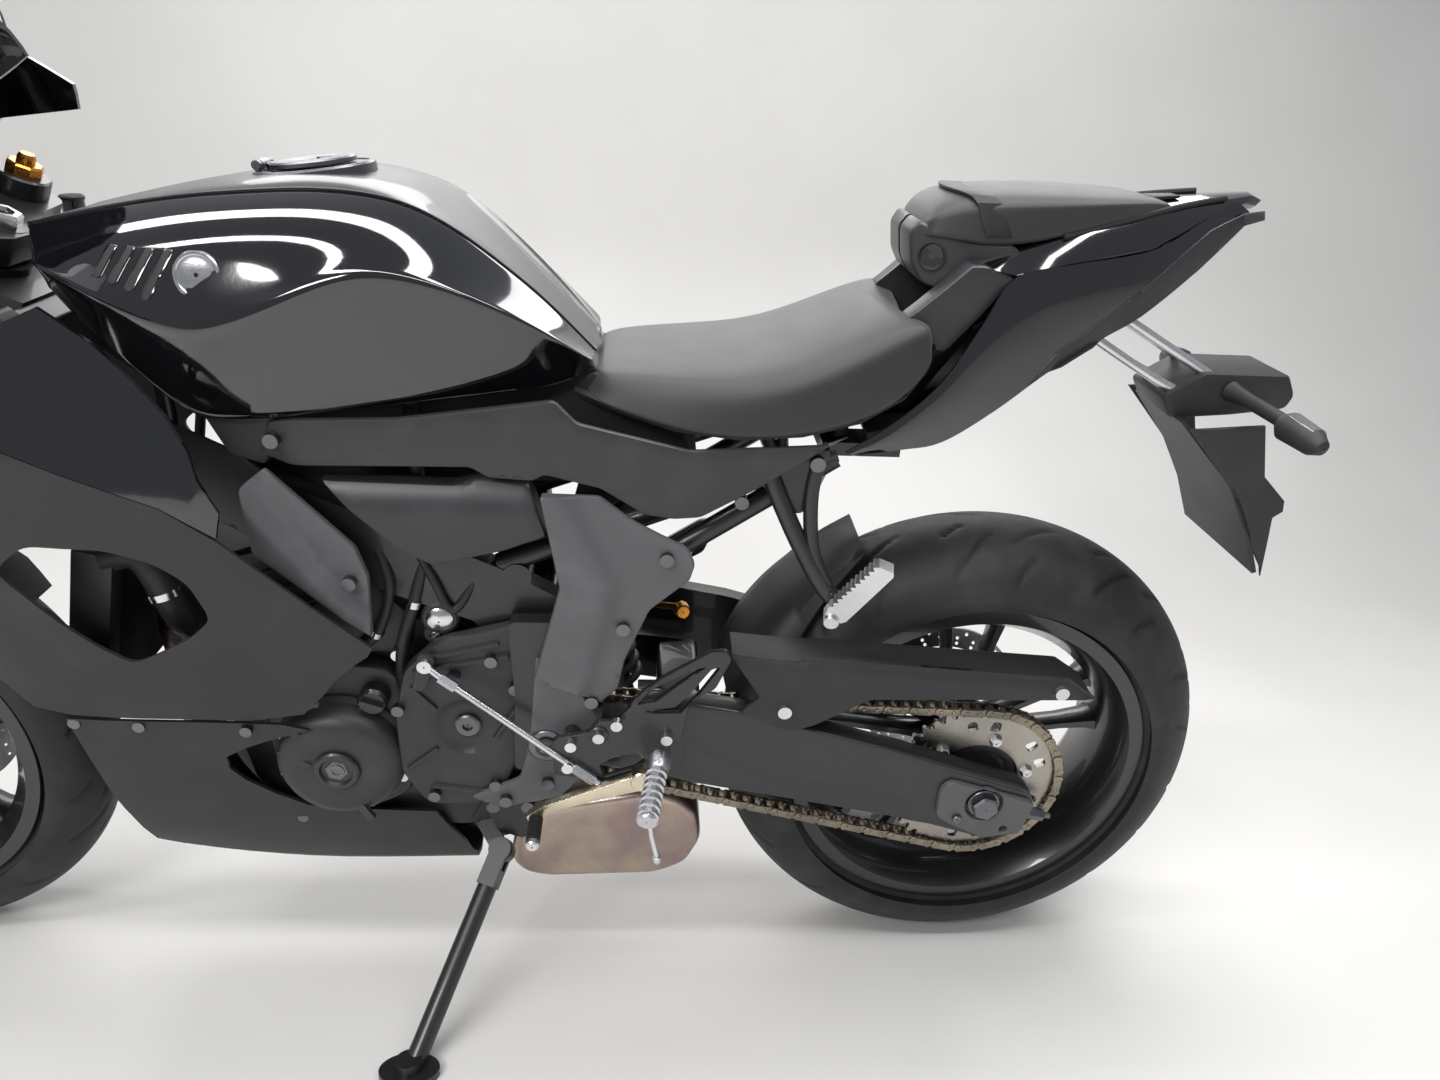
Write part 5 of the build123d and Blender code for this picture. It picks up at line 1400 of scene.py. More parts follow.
@dataclass
class Fairing:
    """The fairing as one smooth outer form, parted into the nose, side, belly and screen panels."""

    wall: float = 4.0
    stations: tuple[tuple[float, tuple[Point2, ...]], ...] = (
        (70, ((0, 900), (80, 895), (150, 860), (182, 560), (150, 430), (75, 165), (0, 150))),
        (-150, ((0, 930), (90, 920), (162, 870), (208, 640), (158, 430), (75, 165), (0, 150))),
        (-330, ((0, 1120), (90, 1090), (150, 1010), (214, 690), (165, 430), (84, 200), (0, 182))),
        (-420, ((0, 1152), (90, 1125), (148, 1035), (206, 710), (160, 470), (84, 260), (0, 240))),
        (-560, ((0, 1040), (80, 1015), (128, 950), (165, 770), (130, 600), (80, 480), (0, 460))),
        (-650, ((0, 915), (52, 900), (84, 860), (112, 770), (92, 680), (50, 620), (0, 610))),
        (-705, ((0, 800), (14, 796), (24, 784), (34, 755), (26, 725), (14, 708), (0, 704))))
    split: tuple[Point2, ...] = (
        (-720, 640), (-640, 690), (-560, 752), (-400, 790), (-307, 768), (-260, 747), (-178, 714))
    window: tuple[Point2, ...] = (
        (-338, 649), (-304, 676), (-232, 672), (-189, 657), (-164, 636), (-150, 593), (-177, 567),
                                  (-220, 542),
        (-242, 532), (-267, 554), (-304, 599))

    def _form(self, name: str, inset: float) -> Form:
        """The closed smooth form, smaller all round by the inset.

        Args:
            name: the form's name.
            inset: how much smaller.

        Returns:
            The form.
        """
        halves = []
        for x, half in self.stations:
            middle = 0.5 * (half[0][1] + half[-1][1])
            tall = half[0][1] - half[-1][1]
            smooth = []
            for y, z in half:
                shrink = (z - middle) / (tall / 2)
                smooth.append((x, max(0.0, y - inset * min(1.0, y / 30)), z - inset * shrink))
            halves.append(catmull(smooth, 5))
        rows = [catmull(line, 5) for line in zip(*halves)]
        rings = [[tuple(point) for point in ring] for ring in zip(*rows)]
        form = Form(name)
        form.strip([list(ring) + [(x, -y, z) for x, y, z in reversed(ring) if y > 0.01] for ring in rings])
        return form

    def _panel(self, name: str, edge: Sequence[Point2], holes: Sequence[Sequence[Point2]] = (),
               lift: float = 0.0) -> Form:
        """One panel of the wall inside an outline in the side view.

        Args:
            name: the panel's name.
            edge: its outline.
            holes: outlines cut out of it.
            lift: how much proud of the form it lies.

        Returns:
            The panel's form.
        """
        form = self._form(name, -lift)
        form._combine(self._form("inside", self.wall - lift), "DIFFERENCE")
        form.boolean([edge], holes)
        return form

    def build(self, finishes: Finishes) -> None:
        """Build every panel with its finish."""
        tip = [(-131, 683), (-126, 707)]
        screen = [(-640, 903), (-530, 985), (-436, 1052), (-384, 1084)]
        nose = list(self.split) + tip + [(-142, 740), (-148, 768), (-164, 799), (-190, 831), (-221, 863),
                                         (-262, 893), (-290, 880), (-298, 828), (-400, 822), (-440, 835),
                                         (-565, 850), (-590, 880), (-575, 925), (-455, 1005), (-436, 1021),
                                         (-350, 1034), (-344, 1060)]
        nose += list(reversed(screen)) + [(-665, 885), (-720, 860)]
        form = self._panel("nose_panel", nose)
        knife = Form("lamp_opening")
        knife.strip([[(x, y, z) for y, z in ((-46, 742), (46, 742), (30, 800), (-30, 800))]
                     for x in (-740, -600)])
        form._combine(knife, "DIFFERENCE")
        panel = form.piece(finishes["gloss_black"], Body.ROOT, ("nose_fairing",), smooth=34)
        filler = Form("fairing_fillers")
        for s in (-1, 1):
            filler.plate(rounded([(-226, 884), (-168, 812), (-136, 742), (-100, 730), (-84, 784), (-88, 822),
                                  (-150, 884)], 8),
                         s * 133, s * 112, 3, 12)
        filler.piece(finishes["matte_black"], Body.ROOT, smooth=40)
        gap = 1.0
        low = [(x, z - gap) for x, z in self.split[1:]]
        side = low + [(-133, 681), (-62, 612), (-1, 551), (-8, 540), (-21, 530), (-48, 503), (-66, 478),
                      (-92, 448), (-150, 438), (-203, 442), (-264, 446), (-330, 452), (-366, 464),
                      (-384, 500), (-470, 585), (-570, 665)]
        form = self._panel("side_panels", side, (rounded(self.window, 12),))
        panel = form.piece(finishes["matte_black"], Body.ROOT, ("side_fairings",), smooth=34)
        belly = [(-340, 446), (-296, 443), (-264, 441), (-203, 437), (-150, 433), (-119, 430), (-93, 420),
                 (-138, 404), (-170, 390), (-192, 376), (-194, 355), (-182, 333), (-155, 306), (-122, 281),
                 (-60, 272), (28, 265), (38, 238), (55, 200), (66, 140), (-200, 140), (-325, 170),
                 (-338, 300)]
        form = self._panel("belly_panel", belly)
        panel = form.piece(finishes["matte_black"], Body.ROOT, ("belly_pan",), smooth=34)
        pane = [(x - 1, z + 1) for x, z in screen] + [(-400, 1170), (-560, 1080), (-660, 920)]
        form = self._panel("screen_pane", pane)
        panel = form.piece(finishes["smoked_screen"], Body.ROOT, ("windscreen",), smooth=34)
        lamp = self._form("lamp_pane", 1.0)
        knife = Form("lamp_keep")
        knife.strip([[(x, y, z) for y, z in ((-45, 743), (45, 743), (29, 799), (-29, 799))]
                     for x in (-740, -612)])
        lamp._combine(knife, "INTERSECT")
        lamp.piece(finishes["clear_lens"], Body.ROOT, ("headlamp",), smooth=34)
        spots = [(-334, 438, 165), (-268, 433, 164), (-157, 425, 161), (-134, 255, 106), (-172, 795, 181)]
        Bolts("fairing_bolts", 6.5, 3.5).set([Vector((x, s * y, z)) for x, z, y in spots for s in (-1, 1)],
                                             finishes["dark_bolt"])


# Wheels, brakes and chain


@dataclass
class Wheel:
    """One wheel's tyre, with its cut tread and bands."""

    name: str
    x: float
    radius: float
    width: float
    rim_width: float
    crown: float
    body: Body
    seat: float = 216.0
    slices: int = 540
    rows: int = 44

    def tyre(self, finishes: Finishes) -> None:
        """Build the tyre with grooves pressed into its tread, each vertex's groove depth also kept as the cut
        attribute for painted shade.
        """
        half = self.width / 2
        shoulder = self.radius - self.crown + math.sqrt(max(self.crown ** 2 - half ** 2, 0))
        bead = self.rim_width / 2 - 0.3
        outer: list[Point2] = []
        for row in range(self.rows + 1):
            y = -half + self.width * row / self.rows
            outer.append((y, self.radius - self.crown + math.sqrt(max(self.crown ** 2 - y * y, 0))))
        wall = [(half + 0.5, shoulder - 6), (half - 0.6, shoulder - 16), (bead + 6, self.seat + 22),
                (bead + 1.4, self.seat + 15), (bead, self.seat + 12), (bead, self.seat + 0.3),
                (bead - 12, self.seat + 0.3), (half - 14, shoulder - 8)]
        inside = [(y * 0.86, r - 9) for y, r in reversed(outer[::6])]
        ring = outer + wall + inside + [(-y, r) for y, r in reversed(wall)]
        form = Form(self.name)
        layer = form.bm.verts.layers.float.new("cut")
        rings, cuts = [], []
        for index in range(self.slices):
            angle = 2 * math.pi * index / self.slices
            points = []
            for place, (y, r) in enumerate(ring):
                cut = self._groove(math.degrees(angle), y) if place <= self.rows else 0.0
                r -= 2.4 * cut
                cuts.append(cut)
                points.append((self.x + r * math.cos(angle), y, self.radius + r * math.sin(angle)))
            rings.append(points)
        form.strip(rings, caps=False, loop=True)
        # The groove depth goes to the cut attribute, which the rubber turns into painted shade in the grooves.
        for vert, cut in zip(form.bm.verts, cuts):
            vert[layer] = cut
        piece = form.piece(finishes["tyre_rubber"], self.body, (self.name,), smooth=50)

    def _groove(self, angle: float, y: float) -> float:
        """How deep the tread is cut at a place, from 0 to 1.

        Args:
            angle: degrees round the tyre.
            y: across the tread.

        Returns:
            The depth's share.
        """
        side = 1 if y >= 0 else -1
        across = abs(y) / (self.width / 2)
        turn = (angle * (1 if self.name.startswith("rear") else -1) + (18 if side > 0 else 0)) % 36
        cuts = (
            (2.0, 0.10, 16.0, 0.52, 1.0), (18.0, 0.30, 30.0, 0.86, 1.0), (8.0, 0.62, 15.0, 0.93, 0.9),
            (25.0, 0.16, 30.0, 0.34, 0.8))
        best = 0.0
        for a0, s0, a1, s1, width in cuts:
            if s0 <= across <= s1:
                share = (across - s0) / (s1 - s0)
                centre = a0 + (a1 - a0) * (share ** 0.8)
                off = abs((turn - centre + 18) % 36 - 18)
                ends = min(share, 1 - share) * 8
                best = max(best, min(1.0, max(0.0, (width * 1.25 - off) * 2.0)) * min(1.0, ends))
        return best


@dataclass
class Rim:
    """A cast rim with paired spokes."""

    name: str
    x: float
    z: float
    width: float
    body: Body
    pairs: int = 5
    seat: float = 216.0
    flange: float = 229.0

    def build(self, finishes: Finishes) -> None:
        """Build the barrel, hub and spokes as one casting."""
        form = Form(self.name)
        half, lip = self.width / 2, self.width / 2 + 7
        barrel = [(-lip, self.flange - 1), (-lip + 1.5, self.flange), (-half - 1, self.flange - 1),
                  (-half, self.seat + 2), (-half + 3, self.seat), (-half + 14, self.seat - 2),
                  (-half * 0.55, self.seat - 20), (half * 0.55, self.seat - 20), (half - 14, self.seat - 2),
                  (half - 3, self.seat), (half, self.seat + 2), (half + 1, self.flange - 1),
                  (lip - 1.5, self.flange), (lip, self.flange - 1), (lip, self.seat - 5),
                  (lip - 4, self.seat - 8), (half * 0.6, self.seat - 27), (-half * 0.6, self.seat - 27),
                  (-lip + 4, self.seat - 8), (-lip, self.seat - 5)]
        form.lathe(barrel, (self.x, 0, self.z), (0, 1, 0), 144)
        hub = [(-44, 12.7), (-44, 30), (-41, 33), (-22, 36), (22, 36), (41, 33), (44, 30), (44, 12.7)]
        form.lathe(hub, (self.x, 0, self.z), (0, 1, 0), 64)
        reach = self.seat - 22
        for pair in range(self.pairs):
            for lean in (-1, 1):
                tip = math.radians(90 + 360 * pair / self.pairs + lean * 11)
                root = math.radians(90 + 360 * pair / self.pairs + lean * 19.8)
                start = Vector((27 * math.cos(root), 0, 27 * math.sin(root)))
                end = Vector((reach * math.cos(tip), 0, reach * math.sin(tip)))
                run = (end - start).normalized()
                side = Vector((-run.z, 0, run.x))
                rings = []
                for share, width, deep in ((0, 11.5, 20), (0.08, 9.5, 19), (0.3, 7.4, 16), (0.7, 7.0, 15),
                                           (0.9, 9.0, 18), (1.0, 14.0, 24)):
                    centre = Vector((self.x, 0, self.z)) + start.lerp(end, share)
                    rings.append([centre + side * (width * a) + Vector((0, deep * b, 0)) for a, b in (
                        (-1, -0.45), (-0.55, -1), (0.55, -1), (1, -0.45), (1, 0.45), (0.55, 1), (-0.55, 1),
                        (-1, 0.45))])
                form.strip(rings)
        rim = form.piece(finishes["rim_black"], self.body, (self.name,), smooth=40)


@dataclass
class Brake:
    """A drilled brake disc on its carrier."""

    name: str
    x: float
    z: float
    levels: tuple[float, ...]
    radius: float
    band: float
    body: Body
    hole_count: int = 30

    def build(self, finishes: Finishes) -> None:
        """Build the drilled bands and the dark carriers."""
        band = Form(self.name)
        for y in self.levels:
            inner = self.radius - self.band
            rows = [(inner, 0.0), (inner + self.band * 0.22, 0.5), (inner + self.band * 0.5, 0.0),
                    (inner + self.band * 0.78, 0.5)]
            outline = circle(self.x, self.z, self.radius, 120)
            holes = [circle(self.x, self.z, inner, 90)]
            for row, (level, shift) in enumerate(rows[1:]):
                turn = 2 * math.pi * (shift * 0.5 + row / 3) / self.hole_count
                holes += [circle(cx, cz, 2.6, 10)
                          for cx, cz in circle(self.x, self.z, level, self.hole_count, turn)]
            band.ring_plate(outline, holes, y - 2.25, y + 2.25)
        piece = band.piece(finishes["disc_steel"], self.body, (self.name,), smooth=30)
        carrier = Form(self.name + "_carrier")
        for y in self.levels:
            sign = 1 if y > 0 else -1
            inner = self.radius - self.band
            carrier.lathe([(44.2 - abs(y), 20.5), (44.2 - abs(y), 34), (-3, 34), (-3, 46), (3, 46),
                           (3, 20.5)],
                          (self.x, y, self.z), (0, sign, 0), 48)
            for arm in range(5):
                angle = math.radians(90 + 72 * arm + 36)
                out, side = Vector((math.cos(angle), 0, math.sin(angle))), Vector((-math.sin(angle), 0,
                        math.cos(angle)))
                centre = Vector((self.x, y, self.z))
                carrier.strip([[centre + out * r + side * (w * a) + Vector((0, 3 * b, 0))
                                for a, b in ((-1, -1), (1, -1), (1, 1), (-1, 1))]
                               for r, w in ((30, 16), (60, 7), (inner - 4, 6), (inner + 3, 9))])
        carrier.piece(finishes["frame_black"], self.body, bevel=0.6)


@dataclass
class Drive:
    """The chain, the slotted rear sprocket, its carrier and nuts."""

    pitch: float = 15.875
    teeth: int = 42
    small_teeth: int = 16
    y: float = -106.0
    small_x: float = 84.0
    small_z: float = 404.0

    def _path(self) -> list[Vector]:
        """The pin places round both sprockets."""
        big = self.pitch / 2 / math.sin(math.pi / self.teeth)
        small = self.pitch / 2 / math.sin(math.pi / self.small_teeth)
        start, end = Vector((self.small_x, 0, self.small_z)), Vector((REAR_X, 0, REAR_R))
        along = (end - start).normalized()
        up = Vector((-along.z, 0, along.x))
        span = (end - start).length
        slope = math.asin((big - small) / span)
        pieces: list[Vector] = []

        def arc(centre: Vector, radius: float, first: float, last: float) -> None:
            """Add an arc from one angle to another."""
            count = 60
            for index in range(count + 1):
                angle = first + (last - first) * index / count
                pieces.append(centre + along * (radius * math.cos(angle)) + up * (radius * math.sin(angle)))

        arc(end, big, math.pi / 2 + slope, -math.pi / 2 - slope)
        arc(start, small, -math.pi / 2 - slope, -3 * math.pi / 2 + slope)
        pieces.append(pieces[0].copy())
        total = sum((b - a).length for a, b in zip(pieces, pieces[1:]))
        count = round(total / self.pitch / 2) * 2
        step, pins, left = total / count, [], 0.0
        for a, b in zip(pieces, pieces[1:]):
            length = (b - a).length
            while left <= length and len(pins) < count:
                pins.append(a.lerp(b, left / length))
                left += step
            left -= length
        return pins

    def build(self, finishes: Finishes) -> None:
        """Build the chain's links and rollers, and the sprocket."""
        pins = self._path()
        count = len(pins)
        inner, outer, inner_turn, outer_turn = [], [], [], []
        for index, pin in enumerate(pins):
            after = pins[(index + 1) % count]
            spot = (pin + after) / 2
            spot.y = self.y
            angle = -math.atan2(after.z - pin.z, after.x - pin.x)
            (inner if index % 2 else outer).append(spot)
            (inner_turn if index % 2 else outer_turn).append((0.0, angle, 0.0))
        for name, places, turns, gap, thick in (("chain_inner_links", inner, inner_turn, 5.4, 1.9),
                                                ("chain_outer_links", outer, outer_turn, 7.4, 1.9)):
            seed = Form(name)
            half = self.pitch / 2
            shape = []
            for index in range(24):
                a = 2 * math.pi * index / 24
                waist = 6.9 if abs(math.cos(a)) > 0.4 else 5.3
                shape.append((math.copysign(half,
                                            math.cos(a)) * (1 if abs(math.cos(a)) > 0.3 else abs(math.cos(a)) / 0.3)
                              + 7.2 * math.cos(a) * (1 if abs(math.cos(a)) > 0.3 else 0.3),
                              waist * math.sin(a)))
            for sign in (-1, 1):
                seed.strip([[(x, sign * gap, z) for x, z in shape],
                            [(x, sign * (gap + thick * 0.75), z) for x, z in shape],
                            [(x * 0.95, sign * (gap + thick), z * 0.9) for x, z in shape]])
            reach = gap + thick + (1.1 if gap > 6 else 0)
            for x in (-half, half):
                seed.rod((x, -reach, 0), (x, reach, 0), 2.6 if gap > 6 else 4.9, 10, 0.5)
            Repeater(name).place(seed, places, finishes["chain_steel"], Body.ROOT, turns,
                                 ("chain",) if gap < 6 else ())
        self._sprocket(finishes)

    def _sprocket(self, finishes: Finishes) -> None:
        """The rear sprocket with teeth and slots, its dark carrier and ring of nuts."""
        big = self.pitch / 2 / math.sin(math.pi / self.teeth)
        outline = []
        for tooth in range(self.teeth):
            for share, r in ((0.0, big - 5.6), (0.14, big - 4.6), (0.34, big + 2.6), (0.5, big + 4.2),
                             (0.66, big + 2.6), (0.86, big - 4.6)):
                a = 2 * math.pi * (tooth + share) / self.teeth
                outline.append((REAR_X + r * math.cos(a), REAR_R + r * math.sin(a)))
        holes = [circle(REAR_X, REAR_R, 56, 60)]
        for index in range(18):
            a = 2 * math.pi * index / 18
            if index % 3 == 0:
                continue
            shape = []
            for r, da in ((78, -0.09), (78, 0.09), (92, 0.06), (92, -0.06)):
                shape.append((REAR_X + r * math.cos(a + da), REAR_R + r * math.sin(a + da)))
            holes.append(rounded(shape, 4, 3))
        ring = Form("sprocket_ring")
        ring.ring_plate(outline, holes, self.y - 3.0, self.y + 3.0)
        piece = ring.piece(finishes["chain_plate"], Body.REAR_WHEEL, ("rear_sprocket",), smooth=30)
        carrier = Form("sprocket_carrier")
        carrier.lathe([(-44.2, 20.5), (-44.2, 60), (-80, 66), (-99, 62), (-102.9, 58), (-104, 44), (-99, 38),
                       (-99, 20.5)], (REAR_X, 0, REAR_R), (0, 1, 0), 64)
        for index in range(6):
            a = 2 * math.pi * index / 6 + 0.26
            out, side = Vector((math.cos(a), 0, math.sin(a))), Vector((-math.sin(a), 0, math.cos(a)))
            centre = Vector((REAR_X, 0, REAR_R))
            carrier.strip([[centre + out * r + side * (w * k) + Vector((0, y, 0))
                            for k, y in ((-1, -102.6), (1, -102.6), (1, -90), (-1, -90))]
                           for r, w in ((40, 18), (60, 13), (73, 10))])
        carrier.piece(finishes["frame_black"], Body.REAR_WHEEL, bevel=1.0)
        nuts = [Vector((x, self.y - 5, z)) for x, z in circle(REAR_X, REAR_R, 66, 6, 0.26)]
        seed = Form("sprocket_nuts")
        seed.lathe([(3.5, 0.2), (3.5, 8.5), (2, 9), (-4, 7.5), (-5, 6), (-5, 3), (-3, 3), (-3, 0.2)],
                   (0, 0, 0), (0, 1, 0), 6)
        Repeater("sprocket_nuts").place(seed, nuts, finishes["bare_aluminium"], Body.REAR_WHEEL)


# Engine, frame details, cooling and exhaust


@dataclass
class Engine:
    """The castings and covers on both sides of the engine block."""

    half: float = 86.0
    alternator: Point2 = (-70.0, 361.0)
    clutch: Point2 = (20.0, 372.0)
    sprocket: tuple[Point2, ...] = ((13, 491), (53, 528), (146, 552), (148, 463), (141, 386), (121, 331),
                                    (86, 300), (27, 300), (-2, 348), (-2, 427))

    def build(self, finishes: Finishes) -> None:
        """Build every cover."""
        self._generator(finishes)
        self._drive_cover(finishes)
        self._clutch(finishes)
        self._castings(finishes)

    def _generator(self, finishes: Finishes) -> None:
        """The round cover on the left with its hex plug, ribs and filler cap."""
        x, z = self.alternator
        cover = Form("generator_cover")
        centre, left = (x, -self.half, z), (0, -1, 0)
        cover.lathe([(0, 1), (0, 80), (30, 80), (34, 74), (50, 71), (59, 64), (63, 54), (64, 40), (62, 27),
                     (62, 1)],
                    centre, left, 72)
        flange = [(-158, 400), (-132, 446), (-98, 474), (-40, 482), (0, 470), (4, 420), (4, 300), (-40, 276),
                  (-110, 276), (-150, 310)]
        cover.plate(rounded(flange, 16), -112, -87, 5, 14)
        cover.piece(finishes["engine_black"], Body.ROOT, ("engine_covers",), smooth=40)
        trim = Form("generator_trim")
        trim.lathe([(60, 9), (60, 26), (66, 26), (68, 24), (68, 19), (64, 17), (64, 9)], centre, left, 48)
        for (xa, za), (xb, zb) in (((-133, 383), (-101, 368)), ((-63, 323), (-37, 291)),
                                   ((-104, 398), (-118, 420))):
            trim.strip([[(px - 5, y, pz - 3), (px + 5, y, pz + 3), (px + 4, y - 5, pz + 2),
                         (px - 4, y - 5, pz - 2)]
                        for px, pz, y in ((xa, za, -138), (xb, zb, -148))])
        trim.lathe([(0, 1), (0, 17), (16, 17), (20, 14), (20, 1)], (-27, -112, 442), left, 32)
        trim.strip([[(-27 + dx * 0.94 + dz * 0.34, y, 442 + dz * 0.94 - dx * 0.34)
                     for dx, dz in ((-13, -3), (13, -3), (13, 3), (-13, 3))] for y in (-131, -138)])
        trim.piece(finishes["frame_black"], Body.ROOT, smooth=35)
        plug = Form("generator_plug")
        plug.lathe([(58, 0.5), (58, 15), (63, 15), (65, 13), (65, 0.5)], centre, left, 6)
        plug.lathe([(64, 5), (64, 9), (66, 9), (66, 5)], centre, left, 24)
        plug.piece(finishes["dark_bolt"], Body.ROOT, smooth=20)
        spots = [Vector((a, -120, b)) for a, b in circle(x, z, 73, 8, math.radians(20))]
        spots.append(Vector((0, -116, 381)))
        Bolts("generator_bolts", 6, 4.5).set(spots, finishes["bare_aluminium"])

    def _drive_cover(self, finishes: Finishes) -> None:
        """The cover over the front sprocket, dished round its recess, with its raised ribs."""
        cover = Form("drive_cover")

        def face(x: float, z: float) -> float:
            """Y of the cover, dished round the middle and rolled at the rear."""
            near = math.hypot(x - 79, z - 414)
            return -137 + 7 * max(0.0, min(1.0, (38 - near) / 7)) + 0.10 * max(0.0, x - 110)

        cover.plate(rounded(self.sprocket, 12), face, -122, 4, 7)
        cover.piece(finishes["engine_black"], Body.ROOT, smooth=40)
        ribs = Form("drive_cover_ribs")
        for (xa, za), (xb, zb), wide in (((30, 505), (120, 528), 3.0), ((24, 490), (130, 512), 3.0),
                                         ((20, 470), (46, 440), 3.5), ((110, 400), (134, 440), 3.0),
                                         ((34, 330), (92, 322), 3.0), ((8, 356), (44, 386), 3.0)):
            run = Vector((xb - xa, 0, zb - za)).normalized()
            off = Vector((-run.z, 0, run.x)) * wide
            rings = []
            for px, pz in ((xa, za), (xb, zb)):
                spot = Vector((px, -135, pz))
                rings.append([spot - off, spot + off, spot + off * 0.5 + Vector((0, -6, 0)),
                              spot - off * 0.5 + Vector((0, -6, 0))])
            ribs.strip(rings)
        ribs.piece(finishes["engine_black"], Body.ROOT, smooth=30)
        hub = Form("drive_cover_hub")
        hub.lathe([(0, 1), (0, 15), (5, 15), (6.5, 13), (6.5, 6), (3, 5), (3, 1)], (79, -130, 414),
                  (0, -1, 0), 32)
        hub.piece(finishes["dark_bolt"], Body.ROOT, smooth=30)
        Bolts("drive_cover_bolts", 7, 5).set([Vector((a, -140, b)) for a, b in (
            (69, 486), (111, 507), (36, 318), (108, 334), (4, 440), (136, 470))], finishes["dark_bolt"])

    def _clutch(self, finishes: Finishes) -> None:
        """The round cover on the right with its rim bolts."""
        x, z = self.clutch
        cover = Form("clutch_cover")
        centre, right = (x, self.half, z), (0, 1, 0)
        cover.lathe([(0, 1), (0, 94), (22, 94), (26, 88), (36, 84), (44, 76), (54, 70), (59, 62), (60, 30),
                     (57, 24), (57, 1)], centre, right, 72)
        flange = [(-150, 420), (-110, 470), (-40, 480), (60, 480), (100, 440), (112, 380), (108, 300),
                  (60, 266), (-60, 262), (-132, 290)]
        cover.plate(rounded(flange, 18), 108, 87, 5, 14)
        cover.lathe([(20, 1), (20, 30), (34, 30), (38, 24), (38, 1)], (-104, self.half, 340), right, 40)
        cover.piece(finishes["engine_black"], Body.ROOT, smooth=40)
        spots = [Vector((a, 114, b)) for a, b in circle(x, z, 86, 10)]
        Bolts("clutch_bolts", 6, 4.5).set(spots, finishes["bare_aluminium"])

    def _castings(self, finishes: Finishes) -> None:
        """The upper case, the cylinders' water jacket, the starter and the sump."""
        body = Form("upper_case")
        body.plate(rounded([(-90, 640), (-212, 598), (-196, 480), (-100, 486), (10, 486), (20, 540),
                            (-30, 590)], 14),
                   -98, -60, 8, 14)
        body.twin()
        sump = rounded([(-150, 262), (-110, 226), (70, 226), (110, 262), (104, 300), (-140, 300)], 14)
        for y in (-92, 92):
            body.plate(sump, y, 0, 9, 16)
        for px, pz, wide in ((-60, 530, 34), (-150, 560, 30)):
            body.disc((px, -97, pz), (0, -1, 0), wide, 7, 2.5, 0, 40)
        body.piece(finishes["engine_black"], Body.ROOT, smooth=40)
        fins = Form("case_ribs")
        for index in range(5):
            line = [(-204 + 7 * index, 596 - 24 * index), (-92 + 5 * index, 632 - 24 * index)]
            for s in (-1, 1):
                fins.strip([[(px, s * 94, pz - 2), (px, s * 94, pz + 2), (px, s * 103, pz + 1),
                             (px, s * 103, pz - 1)]
                            for px, pz in line])
        fins.piece(finishes["engine_black"], Body.ROOT, smooth=30)
        starter = Form("starter")
        starter.disc((54, -84, 547), (0, -1, 0), 21, 36, 3, 0, 36)
        starter.disc((47, -84, 524), (0, -1, 0), 14, 30, 2, 0, 28)
        starter.piece(finishes["engine_black"], Body.ROOT, smooth=35)
        cap = Form("starter_cap")
        cap.lathe([(0, 1), (0, 15), (2, 15), (5, 11), (6, 1)], (54, -120, 547), (0, -1, 0), 36)
        cap.disc((47, -114, 524), (0, -1, 0), 6, 5, 1, 0, 20)
        cap.piece(finishes["polished_steel"], Body.ROOT, smooth=35)
        Bolts("case_bolts", 7, 5).set([Vector((s * a, y, b)) for a, y, b, s in (
            (0, -104, 491, 1), (-90, -100, 500, 1), (-186, -101, 508, 1), (-196, -101, 590, 1))],
            finishes["bare_aluminium"])


@dataclass
class Frame:
    """Plates, caps and bolts on the frame and the subframe."""

    plate: tuple[Point2, ...] = ((161, 520), (174, 508), (193, 504), (231, 434), (229, 399), (219, 362),
                                 (183, 317), (112, 299), (78, 317), (137, 347), (151, 405))

    def build(self, finishes: Finishes) -> None:
        """Build the plates and the bolts on both sides."""
        plates = Form("pivot_plates")

        def face(x: float, z: float) -> float:
            """Y of the plate, which falls away below its fold."""
            return -150 + 0.10 * max(0.0, 380 - z)

        plates.plate(rounded(self.plate, 7), face, lambda x, z: face(x, z) + 6, 2, 9,
                     [circle(170, 398, 21, 28)])
        plates.twin()
        plates.piece(finishes["grey_satin"], Body.ROOT, smooth=35)
        pivot = Form("pivot_rings")
        for s in (-1, 1):
            pivot.lathe([(0, 12), (0, 21), (5, 21), (6, 20), (6, 13), (5, 12)], (170, s * 145, 398),
                        (0, s, 0), 36)
        pivot.piece(finishes["dark_bolt"], Body.ROOT, smooth=35)
        pin = Form("pivot_ends")
        for s in (-1, 1):
            pin.lathe([(0, 1), (0, 11), (7, 11), (9, 9), (9, 6), (6, 5), (6, 1)], (170, s * 145, 398),
                      (0, s, 0), 6)
        pin.piece(finishes["shaft_gold"], Body.ROOT, smooth=25)
        nose = Form("frame_noses")
        nose.plate(rounded([(-252, 792), (-178, 762), (-130, 738), (-92, 702), (-126, 640), (-176, 668),
                            (-262, 740)], 8),
                   -121, -117.6, 2, 12)
        nose.twin()
        nose.piece(finishes["side_satin"], Body.ROOT, smooth=35)
        spots = [(189, 502, 152), (222, 463, 152), (170, 344, 148), (120, 316, 146), (381, 694, 112),
                 (-112, 668, 120)]
        Bolts("frame_bolts", 7.5, 6).set([Vector((x, s * y, z)) for x, z, y in spots for s in (-1, 1)],
                                         finishes["dark_bolt"])


